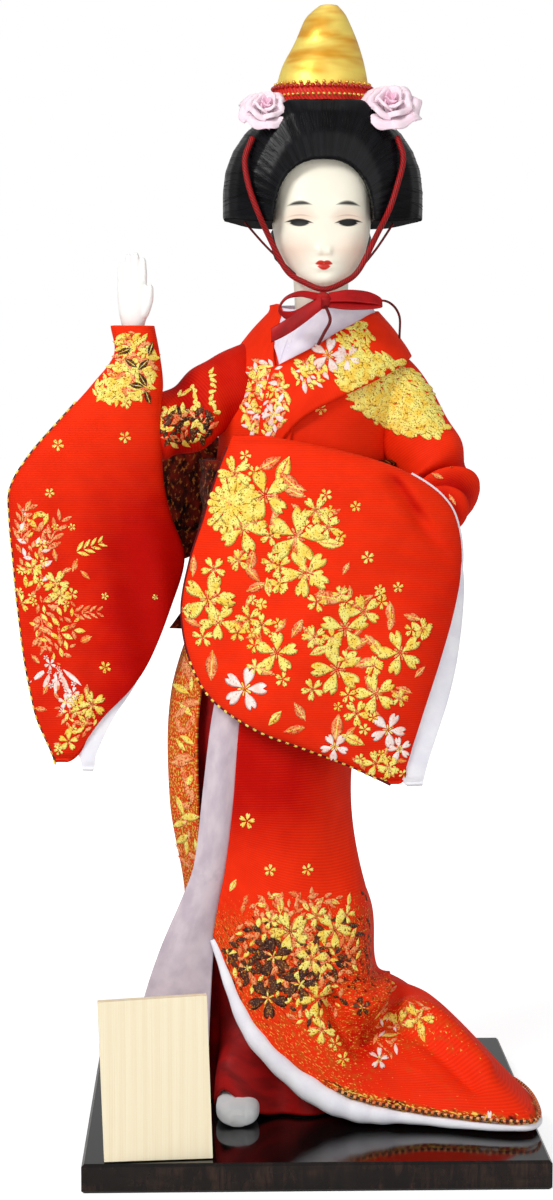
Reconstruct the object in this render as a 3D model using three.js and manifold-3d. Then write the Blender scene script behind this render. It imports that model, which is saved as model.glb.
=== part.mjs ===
// A dancer doll in a trailing kimono, standing on a lacquered board with a small wooden plaque.
// Millimetres, +Z up, the doll facing -Y. The origin is the centre of the board's underside.
// "Right" and "left" are the doll's own sides, so its right arm is on -X.
// Heights inside the doll are measured from the top of the board.

import * as THREE from "three";
import { mergeVertices } from "three/addons/utils/BufferGeometryUtils.js";
import Module from "manifold-3d";

const wasm = await Module();
wasm.setup();

// Clearances
const FIT = 0.3; // between pieces that rest on each other
const SLIP = 0.4; // between nested layers of cloth and what they cover
const SWING = 1.0; // round a piece that turns

// Board, posts and screws
const BOARD_WIDTH = 118;
const BOARD_DEPTH = 118;
const BOARD_THICKNESS = 7.5;
const BOARD_CHAMFER = 0.7;
const POST_RADIUS = 3;
const POST_TOP = 100;
const SCREW_RADIUS = 1.5;
const SCREW_HEAD_RADIUS = 3.2;
const SCREW_HEAD_HEIGHT = 2.2;
const SCREW_LENGTH = 17;
const RIGHT_FOOT = { x: -19.5, y: 0, heel: 5.4 }; // post, and how far the heel is behind it
const LEFT_FOOT = { x: -2, y: 4, heel: 16 };
const FOOT_LENGTH = 35;
const TOE_BARE = 7; // length of the forward foot that the underskirt leaves uncovered

// Straw body and neck
const BODY_WALL = 2.2; // padded cloth of the bodice
const BODICE_BOTTOM = 158;
const BODICE_TOP = 213.5;
const BODICE_RISE = BODICE_TOP - BODICE_BOTTOM;
const CORE_BOTTOM = 88;
const CORE_TOP = BODICE_TOP - 11; // the bodice stands up round the neck
const NECK = { x: 3.4, y: 3.5 };
const NECK_RADIUS = 7.3;
const PEG_RADIUS = 3;
const PEG_DEPTH = 22;

// Cloth
const CLOTH = 1.6; // lined brocade of the skirt
const SLEEVE_WALL = 1.3;
const UNDERSKIRT_WALL = 2.6;
const LINING_THICKNESS = 1;
const COLLAR_THICKNESS = 1.2;
const OBI_THICKNESS = 2.2;
const OBI_BOTTOM = 143;
const OBI_TOP = 174;

// Arms
const ARM_RADIUS = 3;
const FOREARM_RADIUS = 2.4;
const RIGHT_ELBOW = { x: -39, y: -8, height: 181.5 };
const LEFT_ELBOW = { x: 34, y: -10, height: 163 };
const ELBOW_RADIUS = 7.8;
const WRIST = { x: -46.4, y: -15, height: 203.5 };
const WRIST_RADIUS = 3.3;
const RIGHT_HAND_SCALE = 0.84;
const WRIST_PIN_RADIUS = 0.9;
const WRIST_PIN_LENGTH = 7;

// Head, wig and cap
const HEAD_X = 3.2;
const HEAD_RISE = 42; // from the top of the straw body to the middle of the wig
const HEAD_MIDDLE = CORE_TOP + HEAD_RISE;
const WIG = { x: 3.6, y: 2.5, height: HEAD_MIDDLE, width: 53, depth: 41, tall: 49 };
const WIG_FULLNESS = 3; // 2 is a plain ellipsoid, more pushes the front roll forward and up
const WIG_BOTTOM = HEAD_MIDDLE - 8.5;
const FACE_OPENING = { width: 26, height: 38.8, centre: HEAD_MIDDLE - 12 };
const FACE_FULLNESS = 2.6; // 2 is a plain ellipse, more squares the hairline's corners
const CAP_WALL = 0.9;
const CAP_BASE = HEAD_MIDDLE + 18;
const BAND_THICKNESS = 1.3;
const BAND_TOP = CAP_BASE + 9;
const RIGHT_ROSE = { x: -11.8, y: -11.5, height: CAP_BASE + 2.5, radius: 6.5 };
const LEFT_ROSE = { x: 20.4, y: -10.5, height: CAP_BASE + 3.2, radius: 7.2 };
const CORD_RADIUS = 0.9;
const THIN_CORD_RADIUS = 0.35;
const BOW_FRONT = -17.6; // middle of the bow, in front of the collar
const BOW_HEIGHT = BODICE_TOP + 1.9;
const RIBBON_WIDTH = 3;
const RIBBON_THICKNESS = 0.9;

// Plaque
const PLAQUE_WIDTH = 27.2;
const PLAQUE_HEIGHT = 41.6;
const PLAQUE_THICKNESS = 2.6;
const PLAQUE = { x: -BOARD_WIDTH / 2 + 19.2, y: -BOARD_DEPTH / 2 + 3.6, turn: 5 };
const STRUT_DEPTH = 9;
const STRUT_HEIGHT = 16;
const STRUT_WIDTH = 8;

const SIDES = 20; // points round a body section
const DEG = Math.PI / 180;

const point = (x, y, z) => new THREE.Vector3(x, y, z);
const lerp = THREE.MathUtils.lerp;

// Finishes
const finish = (color, roughness, metalness = 0) =>
  new THREE.MeshStandardMaterial({ color, roughness, metalness, side: THREE.FrontSide });
const lacquer = finish(0x14100f, 0.15);
const steel = finish(0x9a9a9a, 0.4, 1);
const timber = finish(0xc9a877, 0.7);
const straw = finish(0xc8b070, 0.9);
const padding = finish(0xe9e4da, 0.95);
const brocade = finish(0xd81d0c, 0.65);
const goldBrocade = finish(0xc89a3c, 0.55);
const silk = finish(0x9c0a0a, 0.6);
const whiteCotton = finish(0xeeeaf0, 0.85);
const darkBrocade = finish(0x2c1a14, 0.6);
const porcelain = finish(0xf3ecdd, 0.35);
const hair = finish(0x0c0c0f, 0.4);
const gilt = finish(0xdba52e, 0.35, 0.6);
const cordRed = finish(0xa80f12, 0.5);
const pinkRibbon = finish(0xf6c9dc, 0.7);
const paleWood = finish(0xeedcb0, 0.75);

// A closed geometry as a solid, turned so that its faces point out
function solid(geometry) {
  const bare = new THREE.BufferGeometry().setAttribute("position", geometry.getAttribute("position"));
  if (geometry.index) bare.setIndex(geometry.index);
  const merged = mergeVertices(bare, 1e-4);
  const corners = [];
  const index = merged.index.array;
  for (let i = 0; i < index.length; i += 3) {
    const [a, b, c] = [index[i], index[i + 1], index[i + 2]];
    if (a !== b && b !== c && c !== a) corners.push(a, b, c);
  }
  const made = (triVerts) =>
    new wasm.Manifold(
      new wasm.Mesh({ numProp: 3, vertProperties: merged.attributes.position.array, triVerts }),
    );
  const first = made(new Uint32Array(corners));
  if (first.volume() > 0) return first;
  return made(new Uint32Array(corners.reverse()));
}

// A solid as a three.js geometry
function geometryOf(manifold) {
  const mesh = manifold.getMesh();
  const positions = new Float32Array(mesh.numVert * 3);
  for (let i = 0; i < mesh.numVert; i += 1) {
    positions.set(mesh.vertProperties.subarray(i * mesh.numProp, i * mesh.numProp + 3), i * 3);
  }
  const geometry = new THREE.BufferGeometry();
  geometry.setAttribute("position", new THREE.BufferAttribute(positions, 3));
  geometry.setIndex(new THREE.BufferAttribute(mesh.triVerts, 1));
  geometry.computeVertexNormals();
  return geometry;
}

// Triangles over a grid of vertex numbers, row by row
function gridFaces(rows, closed) {
  const faces = [];
  const count = rows[0].length;
  const last = closed ? count : count - 1;
  for (let i = 0; i + 1 < rows.length; i += 1) {
    for (let j = 0; j < last; j += 1) {
      const k = (j + 1) % count;
      faces.push(rows[i][j], rows[i][k], rows[i + 1][k]);
      faces.push(rows[i][j], rows[i + 1][k], rows[i + 1][j]);
    }
  }
  return faces;
}

function meshOf(points, faces) {
  const geometry = new THREE.BufferGeometry().setFromPoints(points);
  geometry.setIndex(faces);
  return geometry;
}

// A closed body through a stack of closed sections with equal counts of points
function loft(sections) {
  const points = sections.flat();
  const count = sections[0].length;
  const rows = sections.map((_, i) => Array.from({ length: count }, (__, j) => i * count + j));
  const faces = gridFaces(rows, true);
  const cap = (row, turned) => {
    const centre = row.reduce((sum, n) => sum.add(points[n]), point(0, 0, 0)).divideScalar(count);
    const hub = points.push(centre) - 1;
    row.forEach((a, j) => {
      const b = row[(j + 1) % count];
      faces.push(...(turned ? [hub, b, a] : [hub, a, b]));
    });
  };
  cap(rows[0], true);
  cap(rows[rows.length - 1], false);
  return solid(meshOf(points, faces));
}

// Normals of an open grid of points
function gridNormals(grid) {
  const last = grid.length - 1;
  const end = grid[0].length - 1;
  return grid.map((row, i) =>
    row.map((_, j) => {
      const across = point().subVectors(row[Math.min(j + 1, end)], row[Math.max(j - 1, 0)]);
      const down = point().subVectors(grid[Math.min(i + 1, last)][j], grid[Math.max(i - 1, 0)][j]);
      return across.cross(down).normalize();
    }),
  );
}

// A grid of points carried on past its four edges
function extended(grid, by) {
  const beyond = (end, before) => point().subVectors(end, before).setLength(by).add(end);
  const longer = (row) => {
    const last = row.length - 1;
    return [beyond(row[0], row[1]), ...row, beyond(row[last], row[last - 1])];
  };
  const wide = grid.map(longer);
  const last = wide.length - 1;
  const first = wide[0].map((p, j) => beyond(p, wide[1][j]));
  return [first, ...wide, wide[last].map((p, j) => beyond(p, wide[last - 1][j]))];
}

// A sheet of cloth between two offsets from a grid of points, along the grid's normals
function sheet(grid, outer, inner) {
  const normals = gridNormals(grid);
  const offset = (by) =>
    grid.map((row, i) => row.map((p, j) => p.clone().addScaledVector(normals[i][j], by)));
  const front = offset(outer).flat();
  const back = offset(inner).flat();
  const count = grid[0].length;
  const numbers = (start) =>
    grid.map((_, i) => Array.from({ length: count }, (__, j) => start + i * count + j));
  const top = numbers(0);
  const bottom = numbers(front.length);
  const faces = gridFaces(top, false);
  const under = gridFaces(bottom, false);
  for (let i = 0; i < under.length; i += 3) faces.push(under[i], under[i + 2], under[i + 1]);
  const rim = (a, b) => faces.push(...gridFaces([b, a], false));
  const column = (rows, j) => rows.map((row) => row[j]);
  rim(top[0], bottom[0]);
  rim(bottom[grid.length - 1], top[grid.length - 1]);
  rim(bottom.map((row) => row[0]), column(top, 0));
  rim(column(top, count - 1), column(bottom, count - 1));
  return solid(meshOf([...front, ...back], faces));
}

// Rows of numbers with smooth rows in between
function smoothRows(rows, steps) {
  const last = rows.length - 1;
  const made = [];
  for (let s = 0; s <= steps; s += 1) {
    const at = (s / steps) * last;
    const i = Math.min(Math.floor(at), last - 1);
    const t = at - i;
    const [a, b, c, d] = [i - 1, i, i + 1, i + 2].map((n) => rows[Math.min(Math.max(n, 0), last)]);
    made.push(
      b.map((_, k) => {
        const m0 = (c[k] - a[k]) / 2;
        const m1 = (d[k] - b[k]) / 2;
        return (
          (2 * t ** 3 - 3 * t ** 2 + 1) * b[k] +
          (t ** 3 - 2 * t ** 2 + t) * m0 +
          (3 * t ** 2 - 2 * t ** 3) * c[k] +
          (t ** 3 - t ** 2) * m1
        );
      }),
    );
  }
  return made;
}

// Horizontal oval section
function oval([height, x, y, rx, ry], grow = 0, sides = SIDES) {
  return Array.from({ length: sides }, (_, i) => {
    const a = (i / sides) * 2 * Math.PI;
    return point(x + (rx + grow) * Math.cos(a), y + (ry + grow) * Math.sin(a), height);
  });
}

const ovalLoft = (rows, grow = 0, sides = SIDES) => loft(rows.map((row) => oval(row, grow, sides)));

function ellipsoid(x, y, z, rx, ry, rz, around = 24, up = 14) {
  return solid(new THREE.SphereGeometry(1, around, up).scale(rx, ry, rz).translate(x, y, z));
}

function rod(x, y, low, high, radius, sides = 16) {
  const geometry = new THREE.CylinderGeometry(radius, radius, high - low, sides).rotateX(90 * DEG);
  return solid(geometry.translate(x, y, (low + high) / 2));
}

// A tube of changing radius along a path; each stop is [x, y, z, radius]
function tube(stops, steps, sides = 8, up = point(0, 1, 0)) {
  const rows = smoothRows(stops, steps);
  const centres = rows.map(([x, y, z]) => point(x, y, z));
  const sections = centres.map((centre, i) => {
    const along = point()
      .subVectors(centres[Math.min(i + 1, steps)], centres[Math.max(i - 1, 0)])
      .normalize();
    const side = point().crossVectors(along, up).normalize();
    const other = point().crossVectors(side, along);
    return Array.from({ length: sides }, (_, k) => {
      const a = (k / sides) * 2 * Math.PI;
      const r = rows[i][3];
      return centre
        .clone()
        .addScaledVector(side, r * Math.cos(a))
        .addScaledVector(other, r * Math.sin(a));
    });
  });
  return loft(sections);
}

const widened = (stops, by) => stops.map(([x, y, z, r]) => [x, y, z, r + by]);

// A thin round cord along points, as one extrusion
function cord(points, radius, steps) {
  const section = new THREE.Shape().absellipse(0, 0, radius, radius, 0, 2 * Math.PI);
  const path = new THREE.CatmullRomCurve3(points);
  return solid(new THREE.ExtrudeGeometry(section, { steps, curveSegments: 3, extrudePath: path }));
}

// A solid swung about an upright axis
const swung = (piece, axis, degrees) =>
  piece.translate([-axis.x, -axis.y, 0]).rotate([0, 0, degrees]).translate([axis.x, axis.y, 0]);

// The body of a cut piece, without loose slivers
const largest = (piece) => piece.decompose().sort((a, b) => b.volume() - a.volume())[0];

const block = (low, high) =>
  solid(
    new THREE.BoxGeometry(high.x - low.x, high.y - low.y, high.z - low.z).translate(
      (low.x + high.x) / 2,
      (low.y + high.y) / 2,
      (low.z + high.z) / 2,
    ),
  );

// The doll's clothed body: [height, x, y, half width, half depth] from the hips to the neck
const BODY = [
  [130, -8.2, 1.8, 23.4, 20],
  [140, -6.4, 2, 21.8, 18.6],
  [150, -4.8, 2, 20.6, 17.6],
  [BODICE_BOTTOM, -4, 2, 20.2, 17.2],
  [BODICE_BOTTOM + 0.2667 * BODICE_RISE, -2, 1.5, 22.5, 18],
  [BODICE_BOTTOM + 0.5524 * BODICE_RISE, 1, 1.5, 25, 18.5],
  [BODICE_BOTTOM + 0.7429 * BODICE_RISE, 3, 2, 23.5, 17],
  [BODICE_BOTTOM + 0.8857 * BODICE_RISE, 3.5, 3, 18.5, 13.5],
  [BODICE_TOP, 3.8, 4, 13, 10.5],
];

function bodyRow(height) {
  const top = BODY.findIndex((row) => row[0] >= height);
  const b = Math.max(top < 0 ? BODY.length - 1 : top, 1);
  const t = (height - BODY[b - 1][0]) / (BODY[b][0] - BODY[b - 1][0]);
  return BODY[b].map((value, k) => lerp(BODY[b - 1][k], value, t));
}

function bodyPoint(angle, height, grow) {
  const at = (a, h) => {
    const [z, x, y, rx, ry] = bodyRow(h);
    return point(x + rx * Math.cos(a), y + ry * Math.sin(a), z);
  };
  const across = at(angle + 0.02, height).sub(at(angle - 0.02, height));
  const upward = at(angle, height + 0.5).sub(at(angle, height - 0.5));
  return at(angle, height).addScaledVector(across.cross(upward).normalize(), grow);
}

function bodyRows(low, high) {
  const heights = BODY.map((row) => row[0]).filter((h) => h > low + 1 && h < high - 1);
  return [low, ...heights, high].map(bodyRow);
}

function bodySolid(low, high, grow) {
  return loft(
    bodyRows(low, high).map(([h]) =>
      Array.from({ length: SIDES }, (_, i) => bodyPoint((i / SIDES) * 2 * Math.PI, h, grow)),
    ),
  );
}

// Nested groups: the board carries the doll, whose head, forearms and hand turn
const object = new THREE.Group();
const doll = new THREE.Group();
doll.position.z = BOARD_THICKNESS;
const stand = new THREE.Group();
const head = new THREE.Group();
const rightArm = new THREE.Group();
const leftArm = new THREE.Group();
object.add(stand, doll);
doll.add(head, rightArm, leftArm);

function add(group, name, piece, material) {
  const mesh = new THREE.Mesh(piece.isBufferGeometry ? piece : geometryOf(piece), material);
  mesh.name = name;
  group.add(mesh);
  return mesh;
}

// Board with two countersunk holes, and the screws that hold the posts
const feet = { right: RIGHT_FOOT, left: LEFT_FOOT };
const screwProfile = (extra) =>
  [
    [0, 0],
    [SCREW_HEAD_RADIUS + extra, 0],
    [SCREW_RADIUS + extra, SCREW_HEAD_HEIGHT],
    [SCREW_RADIUS + extra, SCREW_LENGTH + extra],
    [0, SCREW_LENGTH + extra],
  ].map(([r, h]) => new THREE.Vector2(r, h));
const screwBody = (extra) => new THREE.LatheGeometry(screwProfile(extra), 12).rotateX(90 * DEG);
const boardShape = new THREE.Shape();
const [halfWidth, halfDepth] = [BOARD_WIDTH / 2 - BOARD_CHAMFER, BOARD_DEPTH / 2 - BOARD_CHAMFER];
boardShape.moveTo(-halfWidth, -halfDepth).lineTo(halfWidth, -halfDepth);
boardShape.lineTo(halfWidth, halfDepth).lineTo(-halfWidth, halfDepth).closePath();
let board = solid(
  new THREE.ExtrudeGeometry(boardShape, {
    depth: BOARD_THICKNESS - 2 * BOARD_CHAMFER,
    bevelThickness: BOARD_CHAMFER,
    bevelSize: BOARD_CHAMFER,
    bevelSegments: 1,
  }).translate(0, 0, BOARD_CHAMFER),
);
for (const [side, at] of Object.entries(feet)) {
  board = board.subtract(solid(screwBody(FIT).translate(at.x, at.y, -0.01)));
  const screw = add(stand, `${side}_foot_screw`, screwBody(0), steel);
  screw.position.set(at.x, at.y, FIT);
}
add(stand, "base_board", board, lacquer);

// Posts stand on the board and enter the straw body
const pilotDepth = SCREW_LENGTH + FIT - BOARD_THICKNESS;
for (const [side, at] of Object.entries(feet)) {
  const pilot = rod(at.x, at.y, 0, pilotDepth + FIT, SCREW_RADIUS + FIT / 2, 12);
  add(doll, `${side}_leg_post`, rod(at.x, at.y, FIT, POST_TOP, POST_RADIUS).subtract(pilot), timber);
}

// Split-toed white socks, each a low shoe shape round its post; stops run from heel to toe
function foot(at, length, grow) {
  const stops = [
    [0, 2.6, 4.4],
    [0.1, 4.2, 8.4],
    [0.32, 4.7, 9],
    [0.58, 5.2, 7.6],
    [0.8, 5.7, 6.4],
    [0.94, 4.6, 5],
    [1, 2.2, 3],
  ];
  const heel = at.y + at.heel;
  const sections = smoothRows(stops, 8).map(([t, half, tall]) =>
    Array.from({ length: 10 }, (_, i) => {
      const a = (i / 10) * 2 * Math.PI;
      const rise = (tall / 2) * (1 + Math.sin(a)) + grow * Math.sin(a);
      const out = (half + grow) * Math.sign(Math.cos(a)) * Math.abs(Math.cos(a)) ** 0.7;
      return point(at.x + out, heel + grow - t * (length + 2 * grow), FIT + rise);
    }),
  );
  return loft(sections);
}
const footSolids = Object.entries(feet).map(([side, at]) => {
  const bore = rod(at.x, at.y, -1, POST_TOP, POST_RADIUS + FIT);
  add(doll, `${side}_tabi_sock`, foot(at, FOOT_LENGTH, 0).subtract(bore), whiteCotton);
  return foot(at, FOOT_LENGTH, SLIP);
});

// Straw body with bores for the posts, the neck peg and the arm wires
const pegBottom = CORE_TOP - PEG_DEPTH;
const rightArmStops = [
  [-8, 2, BODICE_TOP - 12.5, ARM_RADIUS],
  [-24, -2, BODICE_TOP - 20.5, ARM_RADIUS],
  [RIGHT_ELBOW.x, RIGHT_ELBOW.y, RIGHT_ELBOW.height, ARM_RADIUS],
];
const leftArmStops = [
  [12, 2, BODICE_TOP - 14.5, ARM_RADIUS],
  [26, -2, BODICE_TOP - 28.5, ARM_RADIUS],
  [LEFT_ELBOW.x, LEFT_ELBOW.y, LEFT_ELBOW.height, ARM_RADIUS],
];
const armRod = (stops, extra) => {
  const [x, y, z] = stops[stops.length - 1];
  const ball = ellipsoid(x, y, z, ARM_RADIUS + extra, ARM_RADIUS + extra, ARM_RADIUS + extra, 10, 6);
  return tube(widened(stops, extra), 4).add(ball);
};
const HIPS = [
  [CORE_BOTTOM, -11.5, 1, 14, 11],
  [118, -10, 1.5, 15, 12],
  [150, -4.9, 2, 14, 11],
];
const inset = BODY_WALL + SLIP;
const coreRows = [...HIPS, ...BODY.slice(3, 6).map(([h, x, y, rx, ry]) => [h, x, y, rx - inset, ry - inset])];
coreRows.push([CORE_TOP - 3, 3, 2.2, 17.4, 11.6]);
coreRows.push([CORE_TOP, 3.2, 2.4, 14.6, 9.6]);
let core = ovalLoft(coreRows, 0, 16);
core = core.subtract(rod(NECK.x, NECK.y, pegBottom, CORE_TOP + 1, PEG_RADIUS + FIT));
for (const at of Object.values(feet)) {
  core = core.subtract(rod(at.x, at.y, CORE_BOTTOM - 1, POST_TOP + FIT, POST_RADIUS + FIT));
}
for (const stops of [rightArmStops, leftArmStops]) core = core.subtract(armRod(stops, FIT));
add(doll, "straw_body", core, straw);
add(doll, "right_upper_arm", armRod(rightArmStops, 0), padding);
add(doll, "left_upper_arm", armRod(leftArmStops, 0), padding);

// Red underskirt: [height, x, y, half width, half depth]
const UNDERSKIRT = [
  [FIT + SLIP, -3, 2, 25, 22.6],
  [12, -4, 1.6, 23, 21],
  [32, -6.5, 0.4, 21.2, 18.8],
  [57, -8.5, -0.4, 21, 18.4],
  [82, -12.6, 0, 21, 18.6],
  [110, -11.6, 1, 22.2, 19],
  [136, -7, 2, 18.6, 15.6],
  [OBI_BOTTOM + 6, -5, 2, 17.4, 14.4],
];
const underskirtRows = smoothRows(UNDERSKIRT, 9);
const hollow = [...underskirtRows];
hollow.unshift([-1, ...UNDERSKIRT[0].slice(1)]);
hollow.push([OBI_BOTTOM + 12, ...UNDERSKIRT[UNDERSKIRT.length - 1].slice(1)]);
// It lies over the forward foot and leaves only the toe bare
const footCover = foot(RIGHT_FOOT, FOOT_LENGTH - TOE_BARE, UNDERSKIRT_WALL).subtract(
  block(point(-90, -90, -20), point(90, 90, UNDERSKIRT[0][0])),
);
const underskirtBlock = ovalLoft(underskirtRows);
let underskirt = underskirtBlock.add(footCover).subtract(ovalLoft(hollow, -UNDERSKIRT_WALL));
for (const sock of footSolids) underskirt = underskirt.subtract(sock);
add(doll, "red_underskirt", underskirt, silk);

// Outer skirt with its train: level curves round the body, from the front edge by way of the doll's
// left side and back to the front again, from the waist down to the hem
const arc = (height, x, y, rx, ry, from, to) =>
  Array.from({ length: 11 }, (_, k) => {
    const a = lerp(from, to, k / 10) * DEG;
    return point(x + rx * Math.cos(a), y + ry * Math.sin(a), height);
  });
const curveOf = (triples) => triples.map(([x, y, z]) => point(x, y, z));
const SKIRT_LEVELS = [
  arc(157, -4, 2, 20.2, 17.2, -112, 224),
  arc(140, -6.4, 2, 21.8, 18.6, -110, 224),
  arc(111, -11.8, 1, 25.6, 22.4, -105, 226),
  arc(83, -13.2, 0, 24.4, 22, -108, 226),
  curveOf([
    [-22.8, -21.4, 66.5],
    [-12, -23.6, 58],
    [2, -22.4, 53],
    [12.5, -14.5, 53],
    [17.4, -1, 53],
    [15, 11, 53],
    [7, 18.6, 53],
    [-6, 22.2, 53],
    [-22, 18, 53],
    [-32, 4, 54],
    [-29.5, -12, 56],
  ]),
  curveOf([
    [-23.9, -21.8, 61],
    [-12.6, -24.6, 47],
    [3, -24, 38],
    [15, -17, 36],
    [19, -2, 33],
    [17.5, 11.5, 33],
    [9.5, 20, 36],
    [-5.5, 24.2, 38],
    [-24, 20, 38],
    [-34, 4, 38],
    [-31.2, -12.5, 39],
  ]),
  curveOf([
    [-24.8, -22, 56.5],
    [-13, -25.6, 38],
    [4, -26.2, 24.5],
    [19.5, -21, 23],
    [30.5, -7, 27.5],
    [33, 7, 27],
    [23, 21, 27],
    [-4, 27.5, 26],
    [-26, 22, 26],
    [-36, 4, 26],
    [-33, -13, 26],
  ]),
  curveOf([
    [-26, -22, 49.5],
    [-15, -27.4, 26],
    [6, -29.6, 9.6],
    [27, -31, 4.6],
    [57.5, -30, 3.2],
    [55, 9, 3.2],
    [40, 34, 3.2],
    [0, 48, 3.2],
    [-34, 37, 3.2],
    [-43, 8, 3.2],
    [-37, -13, 3.2],
  ]),
];
const FOLD_DEPTH = 2.4;
const FOLD_COUNT = 9;
const SKIRT_ROUND = 36;
const SKIRT_DOWN = 14;
const levelCurves = SKIRT_LEVELS.map((points) => new THREE.CatmullRomCurve3(points, false, "centripetal"));
// Folds that deepen towards the hem, round the back and the train
function fold(round, down) {
  const span = THREE.MathUtils.smoothstep(round, 0.36, 0.5) - THREE.MathUtils.smoothstep(round, 0.9, 1);
  return FOLD_DEPTH * span * down ** 2 * (0.5 + 0.5 * Math.sin(round * 2 * Math.PI * FOLD_COUNT));
}
const skirtGrid = Array.from({ length: SKIRT_ROUND + 1 }, (_, i) => {
  const round = i / SKIRT_ROUND;
  const column = levelCurves.map((curve) => curve.getPoint(round));
  const fall = new THREE.CatmullRomCurve3(column, false, "centripetal");
  return Array.from({ length: SKIRT_DOWN + 1 }, (__, j) => {
    const at = fall.getPoint(j / SKIRT_DOWN);
    const outward = point(at.x - column[0].x * 0.3, at.y, 0).normalize();
    return at.addScaledVector(outward, fold(round, j / SKIRT_DOWN));
  });
});
const skirt = sheet(skirtGrid, 0, -CLOTH);
add(doll, "kimono_skirt", skirt, brocade);
const skirtClear = sheet(extended(skirtGrid, 2 * FIT), SLIP, -CLOTH - SLIP);

// Padded white roll under the hem: its radius swells across the lifted front
const HEM_ROLL_RADII = [0.8, 2.1, 2.6, 1.3, 0.9, 0.9, 0.9, 0.9, 0.9, 0.9, 0.9];
const HEM_STEPS = 36;
const hemCurve = new THREE.CatmullRomCurve3(skirtGrid.map((column) => column[SKIRT_DOWN]));
const hemStops = Array.from({ length: HEM_STEPS + 1 }, (_, i) => {
  const at = (i / HEM_STEPS) * (HEM_ROLL_RADII.length - 1);
  const k = Math.min(Math.floor(at), HEM_ROLL_RADII.length - 2);
  const radius = lerp(HEM_ROLL_RADII[k], HEM_ROLL_RADII[k + 1], at - k);
  const edge = hemCurve.getPoint(i / HEM_STEPS);
  return [edge.x, edge.y + 0.4, Math.max(edge.z - radius - FIT, radius + FIT), radius];
});
add(doll, "white_hem_roll", tube(hemStops, HEM_STEPS, 6, point(0, 0, 1)).subtract(skirtClear), whiteCotton);

// White lining of the front edge, turned out and flaring to the right side: [height, left x, y, right x, y]
const FRONT_LINING = [
  [116, -24.5, -18.6, -15.5, -20.2],
  [104, -26.6, -19.2, -18, -20.4],
  [90, -28.3, -20, -19.6, -20.2],
  [70, -30.6, -20.2, -21.6, -19.8],
  [61, -33.4, -20.6, -23, -20],
  [46, -39.8, -21.2, -25.6, -20.6],
  [32, -44.4, -20.4, -26.6, -21],
  [18, -47.4, -18.4, -27.2, -20.4],
  [3, -48.6, -16, -28.4, -18.4],
];
const liningGrid = smoothRows(FRONT_LINING, 12).map(([height, lx, ly, rx, ry]) =>
  Array.from({ length: 6 }, (_, j) => {
    const t = j / 5;
    const bulge = 1.6 * Math.sin(Math.PI * t);
    return point(lerp(lx, rx, t), lerp(ly, ry, t) - bulge, height);
  }),
);
const frontLining = sheet(liningGrid, 0, LINING_THICKNESS)
  .subtract(skirtClear)
  .subtract(ovalLoft(underskirtRows, SLIP));
add(doll, "white_front_lining", largest(frontLining), whiteCotton);

// Bodice: a padded shell round the straw body, open at the neck and waist, with holes for the arms
let bodice = bodySolid(BODICE_BOTTOM, BODICE_TOP, 0);
bodice = bodice.subtract(ovalLoft(bodyRows(BODICE_BOTTOM - 2, CORE_TOP + SLIP), -BODY_WALL));
bodice = bodice.subtract(rod(NECK.x, NECK.y, CORE_TOP - 1, BODICE_TOP + 2, NECK_RADIUS + SWING, 20));
for (const stops of [rightArmStops, leftArmStops]) bodice = bodice.subtract(armRod(stops, SLIP));
add(doll, "kimono_bodice", bodice, brocade);

// Sash wound over the waist
const obi = bodySolid(OBI_BOTTOM, OBI_TOP, 2 * SLIP + OBI_THICKNESS)
  .subtract(bodySolid(OBI_BOTTOM - 2, OBI_TOP + 2, 2 * SLIP));
add(doll, "obi_band", largest(obi), darkBrocade);

// Collar strips laid on the bodice: each stop is [angle, height at the inner edge, height at the outer edge]
function strip(stops, low, high, steps, wider = 0) {
  const grid = smoothRows(stops, steps).map(([angle, inner, outer]) =>
    [0, 0.5, 1].map((t) => bodyPoint(angle * DEG, lerp(inner + wider, outer - wider, t), low)),
  );
  return sheet(grid, 0, high - low);
}
const WHITE_COLLAR = [
  [-118, 204, 196],
  [-90, 208.8, 201.5],
  [-55, 211.6, 206.4],
  [0, 212.8, 209.4],
  [90, 213.2, 210.6],
  [180, 212.8, 209.4],
  [228, 210.4, 205],
  [246, 204.6, 197],
];
const LEFT_LAPEL = [
  [-121, 190.5, 167],
  [-95, 198.5, 185],
  [-60, 204.6, 194.4],
  [-20, 207.6, 200],
  [30, 209, 202.4],
  [90, 209.6, 204],
];
const RIGHT_LAPEL = [
  [94, 209.6, 204],
  [150, 208.6, 202.6],
  [196, 207, 200],
  [222, 204, 196],
  [238, 200.6, 192.6],
];
const onBody = (stops, low, steps) =>
  strip(stops, low, low + COLLAR_THICKNESS, steps).subtract(bodySolid(150, BODICE_TOP + 1, low));
const lapelLow = SLIP;
const WHITE_COLLAR_STEPS = 16;
const LAPEL_STEPS = 12;
const whiteCollar = onBody(WHITE_COLLAR, lapelLow, WHITE_COLLAR_STEPS);
const leftLapel = onBody(LEFT_LAPEL, lapelLow, LAPEL_STEPS);
const rightLapel = onBody(RIGHT_LAPEL, lapelLow, LAPEL_STEPS);
const neckClear = rod(NECK.x, NECK.y, CORE_TOP, BODICE_TOP + 8, NECK_RADIUS + SWING, 20);
const obiClear = bodySolid(OBI_BOTTOM - 1, OBI_TOP + SLIP, 3 * SLIP + OBI_THICKNESS);
const clearOf = (stops, steps) => strip(stops, -SLIP, COLLAR_THICKNESS + 2 * SLIP, steps, SLIP);
const collarClear = clearOf(WHITE_COLLAR, WHITE_COLLAR_STEPS);
const leftLapelClear = clearOf(LEFT_LAPEL, LAPEL_STEPS);
const rightLapelClear = clearOf(RIGHT_LAPEL, LAPEL_STEPS);
add(doll, "white_collar", largest(whiteCollar.subtract(neckClear)), whiteCotton);
add(doll, "left_lapel", largest(leftLapel.subtract(collarClear).subtract(obiClear)), goldBrocade);
add(
  doll,
  "right_lapel",
  largest(rightLapel.subtract(collarClear).subtract(leftLapelClear)),
  brocade,
);

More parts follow.
